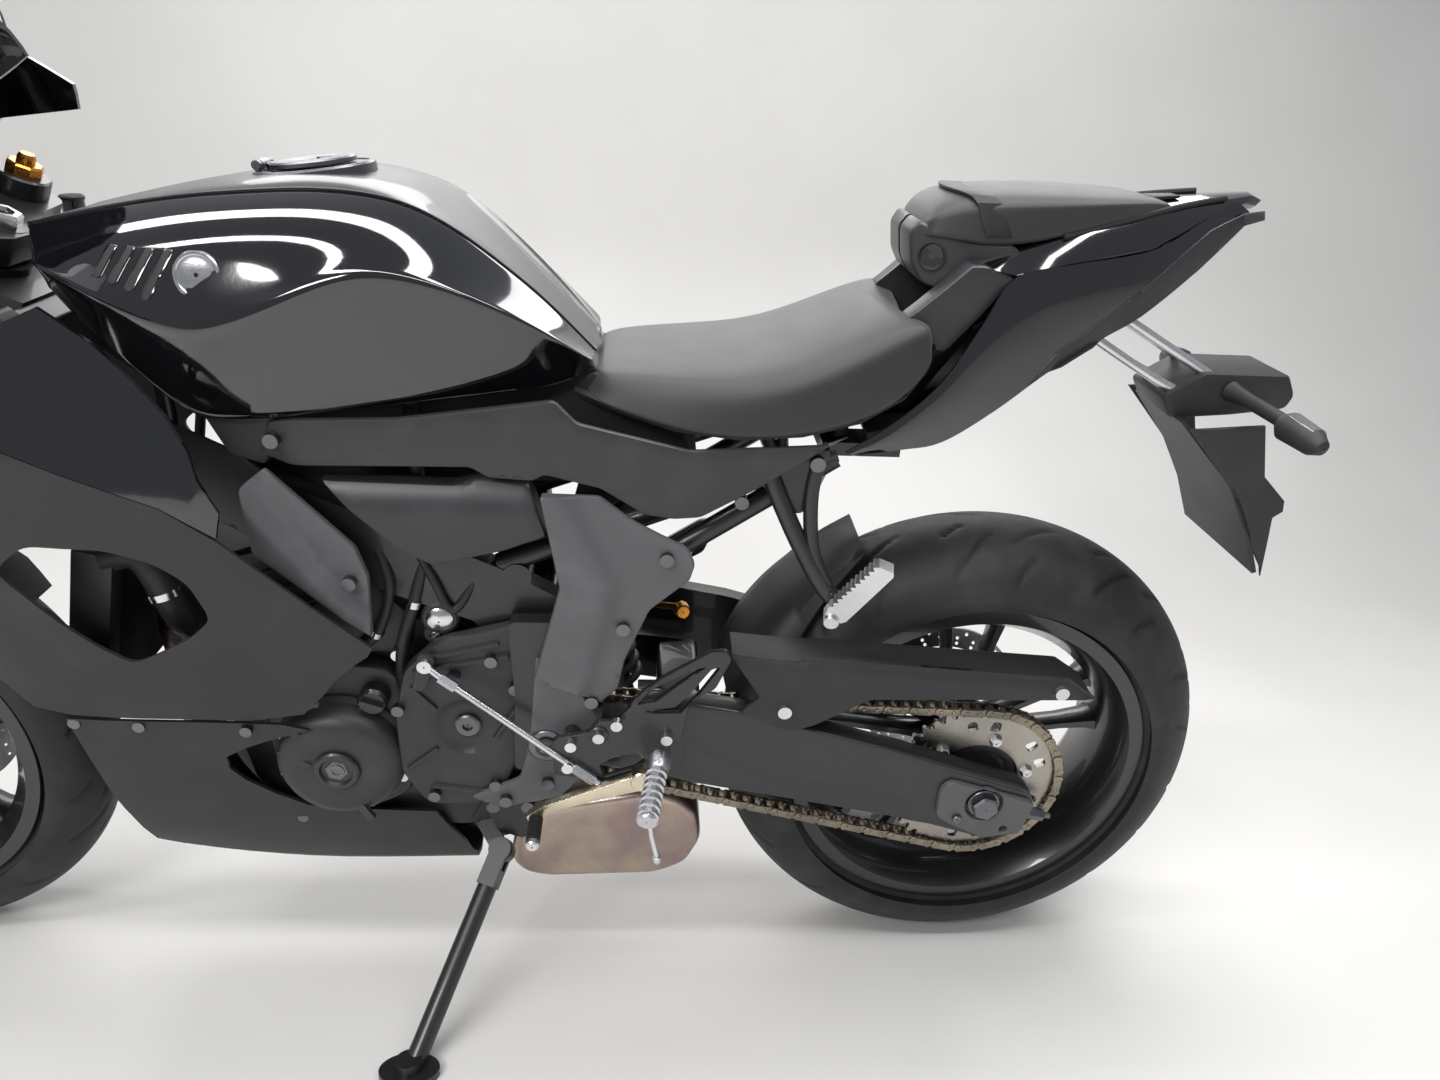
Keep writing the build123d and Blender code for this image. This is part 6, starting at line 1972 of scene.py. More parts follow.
@dataclass
class Cooling:
    """The radiator's finned core with its tanks, hoses and the parts seen through the fairing's window."""

    front: tuple[Point3, ...] = ((-344, -150, 440), (-296, -150, 640))

    def build(self, finishes: Finishes) -> None:
        """Build the core, its tanks and the hoses."""
        low, high = Vector((-342, 0, 440)), Vector((-294, 0, 640))
        run = high - low
        size = run.length
        up = run.normalized()
        ahead = Vector((-up.z, 0, up.x))
        fins = Form("radiator_fins")
        count = 38
        for index in range(count):
            spot = low + up * (8 + (size - 16) * index / (count - 1)) + ahead * 2
            fins.strip([[spot + Vector((0, y, 0)) + up * a + ahead * b
                         for a, b in ((-1, -4), (1, -4), (1, 1), (-1, 1))]
                        for y in (-126, 126)])
        fins.piece(finishes["dark_bolt"], Body.ROOT, smooth=30)
        tanks = Form("radiator_tanks")
        for s in (-1, 1):
            tanks.strip([[spot + Vector((0, s * y, 0)) for spot, y in (
                (point + ahead * 6, 126), (point + ahead * 6, 152), (point - ahead * 34, 152),
                        (point - ahead * 34, 126))]
                for point in (low, high)])
        tanks.piece(finishes["engine_black"], Body.ROOT, ("radiator",), smooth=30, bevel=1.5)
        core = Form("radiator_core")
        core.strip([[point + Vector((0, y, 0)) + ahead * a
                     for y, a in ((-128, 0), (128, 0), (128, -30), (-128, -30))]
                    for point in (low, high)])
        for s in (-1, 1):
            core.tube([(-277, s * 102, 634), (-258, s * 102, 722)], 6, 14)
        core.piece(finishes["deep_black"], Body.ROOT, smooth=30)
        hoses = Form("coolant_hoses")
        for path, radius in ((((-276, -138, 628), (-240, -136, 628), (-219, -132, 566), (-216, -120, 540),
                               (-200, -96, 520)), 17),
                             (((-290, 130, 610), (-220, 128, 600), (-190, 110, 560), (-150, 92, 520)), 17),
                             (((-320, 120, 470), (-250, 122, 450), (-180, 110, 430), (-120, 92, 420)), 17),
                             (((41, -112, 616), (27, -118, 566), (11, -119, 514), (2, -104, 446),
                               (8, -90, 420)), 7),
                             (((-10, -110, 640), (4, -122, 590), (-14, -122, 530), (-44, -104, 500)), 6),
                             (((96, -112, 598), (70, -121, 560), (50, -120, 600), (30, -112, 640)), 5)):
            hoses.tube(catmull(path, 8), radius, 14)
        hoses.piece(finishes["plain_rubber"], Body.ROOT, smooth=60)
        clips = Form("hose_clips")
        for spot, way, radius in (((-226, -134, 586), (0.2, 0.05, -0.95), 18.6),
                                  ((-203, -100, 522), (0.5, 0.8, -0.4), 18.6),
                                  ((27, -118, 566), (-0.3, -0.1, -0.95), 8),
                                  ((-14, -122, 530), (-0.4, 0.2, -0.9), 7)):
            clips.lathe([(-4, radius - 2.5), (-4, radius), (4, radius), (4, radius - 2.5)], spot, way, 24)
        clips.piece(finishes["polished_steel"], Body.ROOT, smooth=40)


@dataclass
class Exhaust:
    """The headers and the flat silencer with its heat tint, slanted rear end and outlet."""

    flank: tuple[Point2, ...] = ((112, 176), (130, 154), (160, 146), (300, 151), (340, 170), (358, 208),
                                 (352, 252), (326, 280), (290, 291), (160, 266), (124, 240))

    def build(self, finishes: Finishes) -> None:
        """Build the pipes, the silencer and the outlet."""
        can = Form("silencer")
        for y in (-102, 92):
            can.plate(rounded(self.flank, 14), y, 0, 12, 16, (), 3)
        can.piece(finishes["heat_steel"], Body.ROOT, ("exhaust",), smooth=50)
        pipes = Form("headers")
        for y in (-42, 42):
            route = [(-216, y, 560), (-240, y, 545), (-268, y, 500), (-264, y, 410), (-262, y, 330),
                     (-234, y * 0.95, 250), (-190, y * 0.8, 205), (-60, y * 0.7, 192), (130, y * 0.7, 200)]
            pipes.tube(catmull(route, 6), 19, 24)
        outlet = Vector((0.5, 0.82, 0.12)).normalized()
        pipes.lathe([(0, 20), (0, 28), (72, 28), (72, 25), (40, 25), (40, 20)], (318, 96, 232), outlet, 40)
        pipes.piece(finishes["heat_steel"], Body.ROOT, smooth=60)
        inside = Form("outlet_inside")
        inside.disc((318, 96, 232), outlet, 26, 44, 1, 0, 32)
        inside.piece(finishes["deep_black"], Body.ROOT, smooth=40)
        clamps = Form("header_clamps")
        for y in (-42, 42):
            clamps.lathe([(-7, 18), (-7, 26), (7, 26), (7, 18)], (-226, y, 553), (-0.72, 0, -0.69), 32)
            clamps.lathe([(-6, 18), (-6, 21.5), (6, 21.5), (6, 18)], (60, y * 0.7, 197), (1, 0, 0.04), 32)
        clamps.piece(finishes["dark_bolt"], Body.ROOT, smooth=40)


# Swingarm, rests, stand and the rear brake


@dataclass
class Swingarm:
    """The arm's two sides with their stripe, end blocks and adjusters, and the guards on it."""

    outline: tuple[Point2, ...] = ((262, 446), (310, 462), (391, 447), (584, 391), (640, 372), (753, 334),
                                   (764, 311), (740, 271), (710, 254), (637, 277), (447, 318), (337, 340),
                                   (290, 356), (262, 372))

    def build(self, finishes: Finishes) -> None:
        """Build the arm and its guards."""
        self._arm(finishes)
        self._ends(finishes)
        self._chain_guard(finishes)
        self._hugger(finishes)

    def _arm(self, finishes: Finishes) -> None:
        """Both sides, the bridge between them and the pivot lugs."""
        arm = Form("arm_sides")
        groove = [(335, 404), (395, 370), (469, 341), (531, 329), (606, 318)]

        def face(x: float, z: float) -> float:
            """Y of the side: an upper band that stands out, a stripe that runs in, and a rounded foot."""
            line = profile(groove)(x)
            depth = 4.0 * max(0.0, min(1.0, (line + 4 - z) / 8)) if x < 600 else 2.0
            return -149 + depth

        hole = circle(REAR_X, REAR_R, 12.6, 24)
        tap = circle(728, 276, 4, 12)
        arm.plate(rounded(self.outline, 9), face, -122, 4, 10, [hole, tap], 3)
        arm.twin()
        arm.piece(finishes["frame_black"], Body.ROOT, ("swingarm",), smooth=40)
        core = Form("arm_bridge")
        for s in (-1, 1):
            core.plate([(150, 372), (205, 364), (330, 345), (330, 412), (262, 420), (205, 426), (150, 420)],
                       s * 90, s * 64, 3, 20)
            core.plate([(232, 366), (330, 349), (330, 410), (262, 418), (232, 420)], s * 146, s * 64, 3, 20)
        core.plate(rounded([(296, 352), (350, 352), (350, 410), (296, 410)], 8), -66, 66, 0.5, 20)
        core.plate([(272, 352), (300, 352), (300, 376), (272, 376)], -20, 20, 0.5, 20)
        core.lathe([(-89, 12.6), (-89, 27), (-86, 28), (86, 28), (89, 27), (89, 12.6)], (170, 0, 398),
                   (0, 1, 0), 40)
        core.piece(finishes["frame_black"], Body.ROOT, smooth=35)
        lip = Form("arm_top_edge")
        for s in (-1, 1):
            line = [(332, 452), (391, 443), (584, 387), (640, 368), (745, 333)]
            lip.strip([[(x, s * 147.5, z - 3), (x, s * 149.6, z - 1), (x, s * 149.4, z + 2),
                        (x, s * 147, z + 3)]
                       for x, z in line])
        lip.piece(finishes["side_satin"], Body.ROOT, smooth=60)

    def _ends(self, finishes: Finishes) -> None:
        """The end blocks, axle nuts and the chain adjusters."""
        block = Form("arm_ends")
        edge = [(640, 338), (652, 350), (746, 322), (762, 316), (750, 268), (704, 262), (662, 282),
                (640, 296)]
        well = circle(REAR_X, REAR_R, 23, 32)
        tap = circle(728, 276, 4.6, 12)
        block.plate(rounded(edge, 8), -154, -147, 2.5, 9, [well, tap])
        block.twin()
        block.piece(finishes["grey_satin"], Body.ROOT, smooth=35)
        nuts = Form("axle_ends")
        for s in (-1, 1):
            nuts.lathe([(0, 12), (0, 20), (4, 20), (5, 19), (5, 12)], (REAR_X, s * 148.2, REAR_R), (0, s, 0),
                       36)
            nuts.lathe([(4, 1), (4, 17), (13, 17), (15.5, 15), (15.5, 1)], (REAR_X, s * 148.2, REAR_R),
                       (0, s, 0), 6)
        nuts.lathe([(-106, 1), (-106, 12.5), (-148, 12.5), (-148, 1)], REAR_HUB, (0, 1, 0), 32)
        nuts.lathe([(-150, 1), (-150, 12.4), (150, 12.4), (150, 1)], REAR_HUB, (0, 1, 0), 32)
        nuts.lathe([(-122, 12), (-122, 18), (-115.5, 18), (-115.5, 12)], REAR_HUB, (0, 1, 0), 32)
        nuts.lathe([(98, 12), (98, 18), (121.7, 18), (121.7, 12)], REAR_HUB, (0, 1, 0), 32)
        nuts.piece(finishes["dark_bolt"], Body.ROOT, ("rear_axle",), smooth=25)
        bolts = Form("chain_adjusters")
        for s in (-1, 1):
            bolts.lathe([(0, 1), (0, 8), (22, 8), (24, 7), (24, 1)], (760, s * 135, 288), (0.97, 0, -0.2), 6)
            bolts.tube([(752, s * 135, 290), (792, s * 135, 282)], 4, 12)
            bolts.lathe([(0, 1), (0, 6), (4, 6), (5, 5), (5, 1)], (666, s * 154, 295), (0, s, 0), 20)
        bolts.piece(finishes["dark_bolt"], Body.ROOT, smooth=30)

    def _chain_guard(self, finishes: Finishes) -> None:
        """The guard over the chain: a side skirt with a folded top."""
        guard = Form("chain_skirt")
        skirt = [(375, 526), (454, 514), (459, 521), (768, 498), (807, 470), (700, 469), (644, 469),
                 (539, 468), (478, 432), (450, 422), (390, 449), (412, 470)]
        top = profile(((375, 524), (454, 516), (459, 519), (600, 508), (768, 496), (807, 470)))
        guard.plate(rounded(skirt, 5), lambda x, z: -154 + max(0.0, z - (top(x) - 7)) * 0.8, -149.8, 1.2, 10)
        guard.strip([[(x, -150, top(x)), (x, -104, top(x) + 2), (x, -98, top(x) - 1), (x, -98, top(x) - 4),
                      (x, -104, top(x) - 1), (x, -150, top(x) - 4)]
                     for x in (378, 420, 456, 500, 560, 620, 680, 740, 768, 800)])
        guard.piece(finishes["matte_black"], Body.ROOT, ("chain_guard",), smooth=40)
        Bolts("guard_bolts", 8, 4).set([Vector((441, -156, 453)), Vector((760, -156, 482))],
                                       finishes["bare_aluminium"])

    def _hugger(self, finishes: Finishes) -> None:
        """The short guard over the front of the rear tyre, rounded over its crown."""
        hugger = Form("hugger")
        steps = 24
        rings = []
        for step in range(steps + 1):
            share = step / steps
            angle = math.radians(161 - 42 * share)
            half = 88 - 34 * share ** 2
            drop = 52 * (1 - share) ** 0.8 + 4
            ray = Vector((math.cos(angle), 0, math.sin(angle)))
            left = half + 34 * (1 - share) ** 3
            outer = [(-left, 338 - drop), (-left + 4, 338 - drop * 0.45), (-left + 22, 338 - 5),
                     (-half * 0.4, 338), (half * 0.4, 338), (half - 22, 338 - 5),
                     (half - 4, 338 - drop * 0.45), (half, 338 - drop)]
            inner = [(y * 0.96, r - 3.4) for y, r in reversed(outer)]
            rings.append([Vector(REAR_HUB) + ray * r + Vector((0, y, 0)) for y, r in outer + inner])
        hugger.strip(rings)
        hugger.piece(finishes["matte_black"], Body.ROOT, smooth=50)


@dataclass
class RearBrake:
    """The rear caliper on its carrier and the shock absorber with its spring."""

    def build(self, finishes: Finishes) -> None:
        """Build the caliper and the shock absorber."""
        out = Vector((-0.94, 0, 0.34)).normalized()
        across = Vector((0.34, 0, 0.94)).normalized()
        centre = Vector((REAR_X, 84, REAR_R))
        caliper = Form("rear_caliper_body")
        for low, high in ((-22, -9), (9, 22)):
            rings = []
            for y in (low, low + 3, high - 3, high):
                trim = 3 if y in (low, high) else 0
                rings.append([centre + out * a + across * b + Vector((0, y, 0)) for a, b in rounded(
                    [(73 + trim, -40 + trim), (130 - trim, -40 + trim), (130 - trim, 40 - trim),
                     (73 + trim, 40 - trim)], 12)])
            caliper.strip(rings)
        caliper.strip([[centre + out * a + across * b + Vector((0, y, 0)) for a, b in (
            (116, -38), (131, -38), (131, 38), (116, 38))] for y in (-20, 20)])
        caliper.disc(centre + out * 90 + Vector((0, 21, 0)), (0, 1, 0), 12, 17, 1, 0, 28)
        caliper.piece(finishes["engine_black"], Body.ROOT, ("rear_caliper",), smooth=35)
        pads = Form("rear_pads")
        for s in (-1, 1):
            pads.strip([[centre + out * a + across * b + Vector((0, s * y, 0)) for a, b in (
                (78, -26), (106, -26), (106, 26), (78, 26))] for y in (7.5, 11)])
        pads.piece(finishes["dark_bolt"], Body.ROOT, smooth=30)
        shock = Form("shock_body")
        top, low = Vector((216, 0, 530)), Vector((259.5, 0, 352))
        run = (low - top).normalized()
        shock.lathe([(0, 1), (0, 13), (14, 13), (16, 24), (34, 24), (34, 20), (120, 19), (136, 14), (183, 13),
                     (183, 1)],
                    top, run, 32)
        shock.tube([top + run * 14 + Vector((-20, 0, 8)), top + run * 92 + Vector((-24, 0, 8))], 19, 24)
        shock.piece(finishes["frame_black"], Body.ROOT, ("shock_absorber",), smooth=40)
        side = run.cross(Vector((0, 1, 0))).normalized()
        other = run.cross(side)
        turns, steps = 6.2, 150
        coil = [top + run * (22 + 114 * i / steps) + (side * math.cos(a) + other * math.sin(a)) * 26
                for i, a in ((i, 2 * math.pi * turns * i / steps) for i in range(steps + 1))]
        spring = Form("shock_spring")
        spring.tube(coil, 5.4, 10)
        spring.piece(finishes["grey_satin"], Body.ROOT, smooth=60)
        knob = Form("shock_adjuster")
        knob.lathe([(0, 1), (0, 9), (12, 9), (14, 7), (14, 1)], (322, -60, 532), (0.2, -1, 0.1), 24)
        knob.tube([(322, -58, 532), (280, -30, 520), (236, 0, 500)], 4, 10)
        knob.piece(finishes["fork_gold"], Body.ROOT, smooth=40)


@dataclass
class Rests:
    """The rider's and the passenger's rests, the levers and the shift rod."""

    hanger: tuple[Point2, ...] = ((219, 434), (230, 449), (252, 449), (276, 486), (298, 506), (353, 542),
                                  (370, 543), (376, 533), (359, 493), (332, 477), (324, 425), (309, 422),
                                  (314, 389), (278, 375), (232, 353), (215, 370), (180, 374), (180, 424))

    def build(self, finishes: Finishes) -> None:
        """Build the rests on both sides."""
        for side in Side:
            self._rider(finishes, side)
            self._passenger(finishes, side)
        self._levers(finishes)

    def _rider(self, finishes: Finishes, side: Side) -> None:
        """One hanger with its slots, the heel guard, the peg and the bolts.

        Args:
            finishes: the bike's finishes.
            side: which side it is on.
        """
        s = side.value
        name = side.name.lower()
        plate = Form(f"hanger_{name}")
        slots = [[(274, 472), (287, 490), (328, 516), (347, 522), (318, 499), (293, 476)],
                 [(283, 463), (316, 469), (331, 486), (354, 519), (363, 522), (342, 488), (321, 461),
                  (293, 460)],
                 [(238, 372), (272, 385), (284, 396), (270, 404), (244, 398), (232, 388)]]
        plate.plate(rounded(self.hanger, 5), s * 173, s * 166, 1.6, 9, [rounded(slot, 2) for slot in slots])
        plate.disc((231, s * 165, 432), (0, s, 0), 11, 11, 1.5, 0, 28)
        for x, z in ((200, 420), (196, 390)):
            plate.disc((x, s * 146.3, z), (0, s, 0), 9, 21, 0.5, 0, 24)
        plate.piece(finishes["frame_black"], Body.ROOT, (f"footrest_{name}",), smooth=35)
        start = Vector((300, s * 172, 398))
        tip = Vector((287, s * 250, 378))
        way = (tip - start).normalized()
        clevis = Form(f"peg_clevis_{name}")
        clevis.lathe([(-4, 1), (-4, 13), (8, 15), (18, 12), (18, 1)], start, way, 28)
        clevis.disc(start + way * 14 + Vector((0, 0, -13)), (0, 0, 1), 5, 26, 1, 0, 16)
        clevis.piece(finishes["bare_aluminium"], Body.ROOT, smooth=35)
        peg = Form(f"rider_peg_{name}")
        rings = []
        for index in range(15):
            along = 16 + index * 4.6
            grow = 12.5 if index % 2 else 10.2
            rings.append((along, grow))
        shape = [(12, 1), (12, 10)] + [(a + d, r) for a, r in rings
                                       for d in (0, 3.0)] + [(84, 12.5), (86, 11), (86, 1)]
        peg.lathe(shape, start, way, 14)
        peg.piece(finishes["bare_aluminium"], Body.ROOT, smooth=25)
        feeler = Form(f"peg_feeler_{name}")
        feeler.tube([tip - way * 6, tip - way * 6 + Vector((4, s * 2, -30)),
                     tip - way * 6 + Vector((10, s * 3, -56))],
                    [3, 3, 3], 10)
        feeler.lathe([(0, 0.5), (1, 4.5), (6, 5), (10, 3), (11, 0.5)],
                     tip - way * 6 + Vector((10, s * 3, -56)), (0.1, 0, -1), 16)
        feeler.piece(finishes["bare_aluminium"], Body.ROOT, smooth=40)
        Bolts(f"hanger_bolts_{name}", 6.5, 5).set([Vector((x, s * 177, z)) for x, z in (
            (200, 420), (196, 390), (251, 449), (307, 430), (231, 432))], finishes["bare_aluminium"])

    def _levers(self, finishes: Finishes) -> None:
        """The gear lever with its rod on the left and the brake pedal on the right."""
        arm = Form("pedal_arms")
        lever = rounded([(278, 389), (289, 368), (233, 353), (170, 331), (152, 318), (148, 328), (168, 343),
                         (227, 368)], 3)
        for s in (-1, 1):
            arm.plate(lever, s * 190, s * 180, 1.5, 9)
        for s in (-1, 1):
            arm.disc((280, s * 170, 378), (0, s, 0), 13, 21, 1.5, 0, 28)
        arm.piece(finishes["shaft_gold"], Body.ROOT, smooth=35)
        toes = Form("toe_pegs")
        tips = Form("toe_peg_ends")
        for s in (-1, 1):
            shape = [(0, 1), (0, 7)] + [(4 + 4.4 * i + d, r) for i in range(8)
                                        for d, r in ((0, 8.2), (2.6, 8.2), (3.2, 6.8))]
            toes.lathe(shape + [(40, 7), (40, 1)], (160, s * 186, 326), (0, s, -0.1), 24)
            tips.lathe([(39, 1), (39, 7.6), (44, 7.6), (46, 6), (46, 1)], (160, s * 186, 326), (0, s, -0.1),
                       24)
        toes.piece(finishes["plain_rubber"], Body.ROOT, smooth=30)
        tips.piece(finishes["bare_aluminium"], Body.ROOT, smooth=30)
        rod = Form("shift_rod")
        rod.tube([(244, -178, 357), (212, -178, 382), (120, -165, 450), (56, -153, 494), (42, -151, 506)],
                 [4, 4, 4, 4, 4], 14)
        for spot, way in (((244, -178, 357), (0, 1, 0)), ((41, -150, 507), (0, 1, 0))):
            rod.lathe([(-6, 1), (-6, 8), (6, 8), (6, 1)], spot, way, 20)
        for start, end in (((226, -178, 371), (200, -176, 391)), ((74, -156, 482), (56, -153, 494))):
            rod.lathe([(0, 3), (0, 6.5), (30 if start[0] > 200 else 21, 6.5),
                       (30 if start[0] > 200 else 21, 3)],
                      start, Vector(end) - Vector(start), 6)
        rod.piece(finishes["bare_aluminium"], Body.ROOT, smooth=30)
        joint = Form("shift_arm")
        joint.plate(rounded([(34, 520), (52, 514), (46, 492), (36, 470), (24, 474), (30, 498)], 5), -150,
                    -143, 1, 9)
        joint.piece(finishes["engine_black"], Body.ROOT, smooth=30)

    def _passenger(self, finishes: Finishes, side: Side) -> None:
        """One passenger hanger of tube, with its serrated peg.

        Args:
            finishes: the bike's finishes.
            side: which side it is on.
        """
        s = side.value
        name = side.name.lower()
        hanger = Form(f"rear_hanger_{name}")
        hanger.plate(rounded([(392, 728), (400, 748), (412, 758), (469, 763), (464, 740), (453, 706),
                              (442, 688), (424, 694)], 5), s * 130, s * 120, 1.5, 12)
        hanger.tube(catmull([(402, s * 128, 748), (418, s * 132, 709), (443, s * 138, 658),
                             (470, s * 141, 612), (488, s * 140, 590)], 5), 10, 18)
        hanger.tube(catmull([(456, s * 128, 748), (452, s * 132, 706), (458, s * 138, 650),
                             (476, s * 141, 610)], 5), 8, 16)
        hanger.piece(finishes["frame_black"], Body.ROOT,
                     ("passenger_footrests",) if side is Side.LEFT else (), smooth=45)
        peg = Form(f"rear_peg_{name}")
        along, broad = Vector((0.48, s * 0.34, 0.81)).normalized(), Vector((-0.80, 0, 0.47)).normalized()
        start, teeth, reach, width = Vector((486, s * 150, 578)), 11, 96.0, 13.0
        edge = [(0, -width + 3), (6, -width), (reach - 5, -width + 4), (reach, -width + 8)]
        for index in range(teeth):
            at = reach - 3 - (reach - 12) * index / teeth
            edge += [(at, width - 2), (at - 3.6, width + 2), (at - 5.2, width + 2)]
        edge += [(0, width - 2)]
        thick = along.cross(broad)
        peg.strip([[start + along * a + broad * b + thick * t for a, b in edge] for t in (-7, 7)])
        peg.disc(start - along * 4 + thick * -11, tuple(thick), 9, 22, 1, 0, 24)
        peg.piece(finishes["bare_aluminium"], Body.ROOT, smooth=25)
        Bolts(f"rear_hanger_bolts_{name}", 8, 6).set([Vector((x, s * 132, z))
                                                      for x, z in ((410, 744), (455, 748))],
                                                     finishes["dark_bolt"])


@dataclass
class Stand:
    """The side stand's bracket on the frame."""

    def build(self, finishes: Finishes) -> None:
        """Build the bracket; the leg keeps the solid's own shape."""
        bracket = Form("stand_bracket")
        bracket.plate(rounded([(84, 293), (103, 312), (145, 309), (160, 285), (150, 232), (132, 224),
                               (100, 236)], 7),
                      -112, -101.3, 2, 9)
        bracket.piece(finishes["frame_black"], Body.ROOT, smooth=35)
        Bolts("stand_bolts", 8, 6).set([Vector((99, -115, 281)), Vector((141, -115, 281))],
                                       finishes["dark_bolt"])


# Fork, bars, cockpit and the rear lamps


def steered(high: float, y: float = 0.0, ahead: float = 0.0) -> Vector:
    """A point at a height along the steering axis, ahead of it and off to one side."""
    run, rise = math.sin(STEER_RAKE), math.cos(STEER_RAKE)
    return Vector((STEER_FOOT_X + high * run - ahead * rise, y, high * rise + ahead * run))


@dataclass
class Fork:
    """The fork's legs, clamps, axle, mudguard and calipers, which all turn with the steering."""

    leg_y: float = LEG_Y
    ahead: float = LEG_AHEAD
    axle_h: float = 310.9

    def build(self, finishes: Finishes) -> None:
        """Build everything below the bars."""
        self._legs(finishes)
        self._clamps(finishes)
        self._axle(finishes)
        self._mudguard(finishes)
        self._calipers(finishes)

    def _legs(self, finishes: Finishes) -> None:
        """The upper tubes, the shafts and the feet."""
        up = (steered(1000) - steered(0)).normalized()
        upper, shaft, foot, cap = Form("fork_uppers"), Form("fork_shafts"), Form("fork_feet"), Form("fork_caps")
        for s in (-1, 1):
            base = steered(0, s * self.leg_y, self.ahead)
            upper.lathe([(556, 20.6), (556, 25), (560, 27.5), (600, 27.5), (606, 27), (1040, 27), (1042, 25),
                         (1042, 1)],
                        base, up, 36)
            shaft.lathe([(self.axle_h + 40, 1), (self.axle_h + 40, 20.4), (558, 20.4), (558, 1)], base, up,
                        36)
            foot.lathe([(self.axle_h - 8, 14), (self.axle_h - 2, 24), (self.axle_h + 40, 25),
                        (self.axle_h + 52, 22), (self.axle_h + 52, 14)], base, up, 36)
            foot.lathe([(-21, 12.6), (-21, 26), (-18, 28), (18, 28), (21, 26), (21, 12.6)],
                       (FRONT_X, s * self.leg_y, FRONT_R), (0, 1, 0), 36)
            cap.lathe([(1040, 1), (1040, 18), (1052, 18), (1054, 16), (1054, 1)], base, up, 8)
            cap.lathe([(1053, 1), (1053, 9), (1060, 9), (1064, 7), (1064, 1)], base, up, 20)
        upper.piece(finishes["frame_black"], Body.STEERING, ("front_fork",), smooth=40)
        shaft.piece(finishes["polished_steel"], Body.STEERING, smooth=40)
        foot.piece(finishes["frame_black"], Body.STEERING, smooth=40)
        cap.piece(finishes["fork_gold"], Body.STEERING, smooth=30)

    def _clamps(self, finishes: Finishes) -> None:
        """The two clamps with their pinch bolts and the stem with its nut."""
        up = (steered(1000) - steered(0)).normalized()
        back = Vector((up.z, 0, -up.x))
        shape = rounded([(28, -30), (28, 30), (2, 72), (-4, 128), (-14, 140), (-44, 144), (-66, 134),
                         (-72, 105), (-62, 76), (-30, 56), (-24, 0), (-30, -56), (-62, -76), (-72, -105),
                         (-66, -134), (-44, -144), (-14, -140), (-4, -128), (2, -72)], 7)
        clamps = Form("fork_clamps")
        for low in (764.5, 990.5):
            rings = []
            for level, trim in ((low, 1.8), (low + 1.8, 0), (low + 28.2, 0), (low + 30, 1.8)):
                centre = steered(level)
                rings.append([centre + back * (a * (1 - trim / 70)) + Vector((0, b * (1 - trim / 140), 0))
                              for a, b in shape])
            clamps.strip(rings)
        clamps.piece(finishes["frame_black"], Body.STEERING, smooth=35)
        stem = Form("stem")
        stem.lathe([(762, 1), (762, 15.9), (1020, 15.9), (1020, 1)], steered(0), up, 32)
        stem.lathe([(1018, 1), (1018, 24), (1021, 24), (1021, 1)], steered(0), up, 32)
        stem.piece(finishes["dark_bolt"], Body.STEERING, smooth=35)
        nut = Form("stem_nut")
        nut.lathe([(1020.5, 9), (1020.5, 19), (1031, 19), (1034, 16.5), (1034, 11), (1030, 9)], steered(0),
                  up, 6)
        nut.piece(finishes["polished_steel"], Body.STEERING, smooth=20)
        points = [steered(level, s * 139, 32) for level in (1005.5, 774, 786) for s in (-1, 1)]
        Bolts("clamp_bolts", 5.5, 6).set(points, finishes["dark_bolt"], Body.STEERING)

    def _axle(self, finishes: Finishes) -> None:
        """The front axle with its ends and spacers."""
        axle = Form("front_axle_bar")
        axle.lathe([(-133, 1), (-133, 12.4), (133, 12.4), (133, 1)], FRONT_HUB, (0, 1, 0), 32)
        for s in (-1, 1):
            axle.lathe([(0, 1), (0, 16), (7, 16), (9, 14), (9, 1)], (FRONT_X, s * 127, FRONT_R), (0, s, 0), 6)
            axle.lathe([(74.6, 12), (74.6, 18), (84, 18), (84, 12)], FRONT_HUB, (0, s, 0), 32)
        axle.piece(finishes["bare_aluminium"], Body.STEERING, ("front_axle",), smooth=30)

    def _mudguard(self, finishes: Finishes) -> None:
        """A guard rounded over the tyre's crown, with side plates that reach the fork."""
        guard = Form("front_guard")
        rings = []
        steps = 26
        for step in range(steps + 1):
            share = step / steps
            angle = math.radians(142 - 104 * share)
            ends = min(1.0, 7 * share + 0.45, 7 * (1 - share) + 0.45)
            half, drop = 68 * (0.62 + 0.38 * ends), 40 * ends
            ray = Vector((math.cos(angle), 0, math.sin(angle)))
            outer = [(-half, 313 - drop), (-half + 1, 306 - drop * 0.6), (-half + 10, 309),
                     (-half * 0.5, 313), (0, 314), (half * 0.5, 313), (half - 10, 309),
                     (half - 1, 306 - drop * 0.6), (half, 313 - drop)]
            inner = [(y * 0.955, r - 3.6) for y, r in reversed(outer)]
            rings.append([Vector(FRONT_HUB) + ray * r + Vector((0, y, 0)) for y, r in outer + inner])
        guard.strip(rings)
        for s in (-1, 1):
            guard.plate(rounded([(-620, 590), (-566, 578), (-556, 536), (-576, 500), (-640, 506),
                                 (-652, 560)], 10),
                        s * 74, s * 65, 2.5, 14)
            guard.lathe([(64, 1), (64, 14), (78, 14), (78, 1)], (-583, 0, 561), (0, s, 0), 24)
        guard.piece(finishes["matte_black"], Body.STEERING, ("front_mudguard",), smooth=50)
        points = [Vector((x, s * 76, z)) for x, z in ((-600, 560), (-600, 525)) for s in (-1, 1)]
        Bolts("guard_screws", 6, 4).set(points, finishes["dark_bolt"], Body.STEERING)

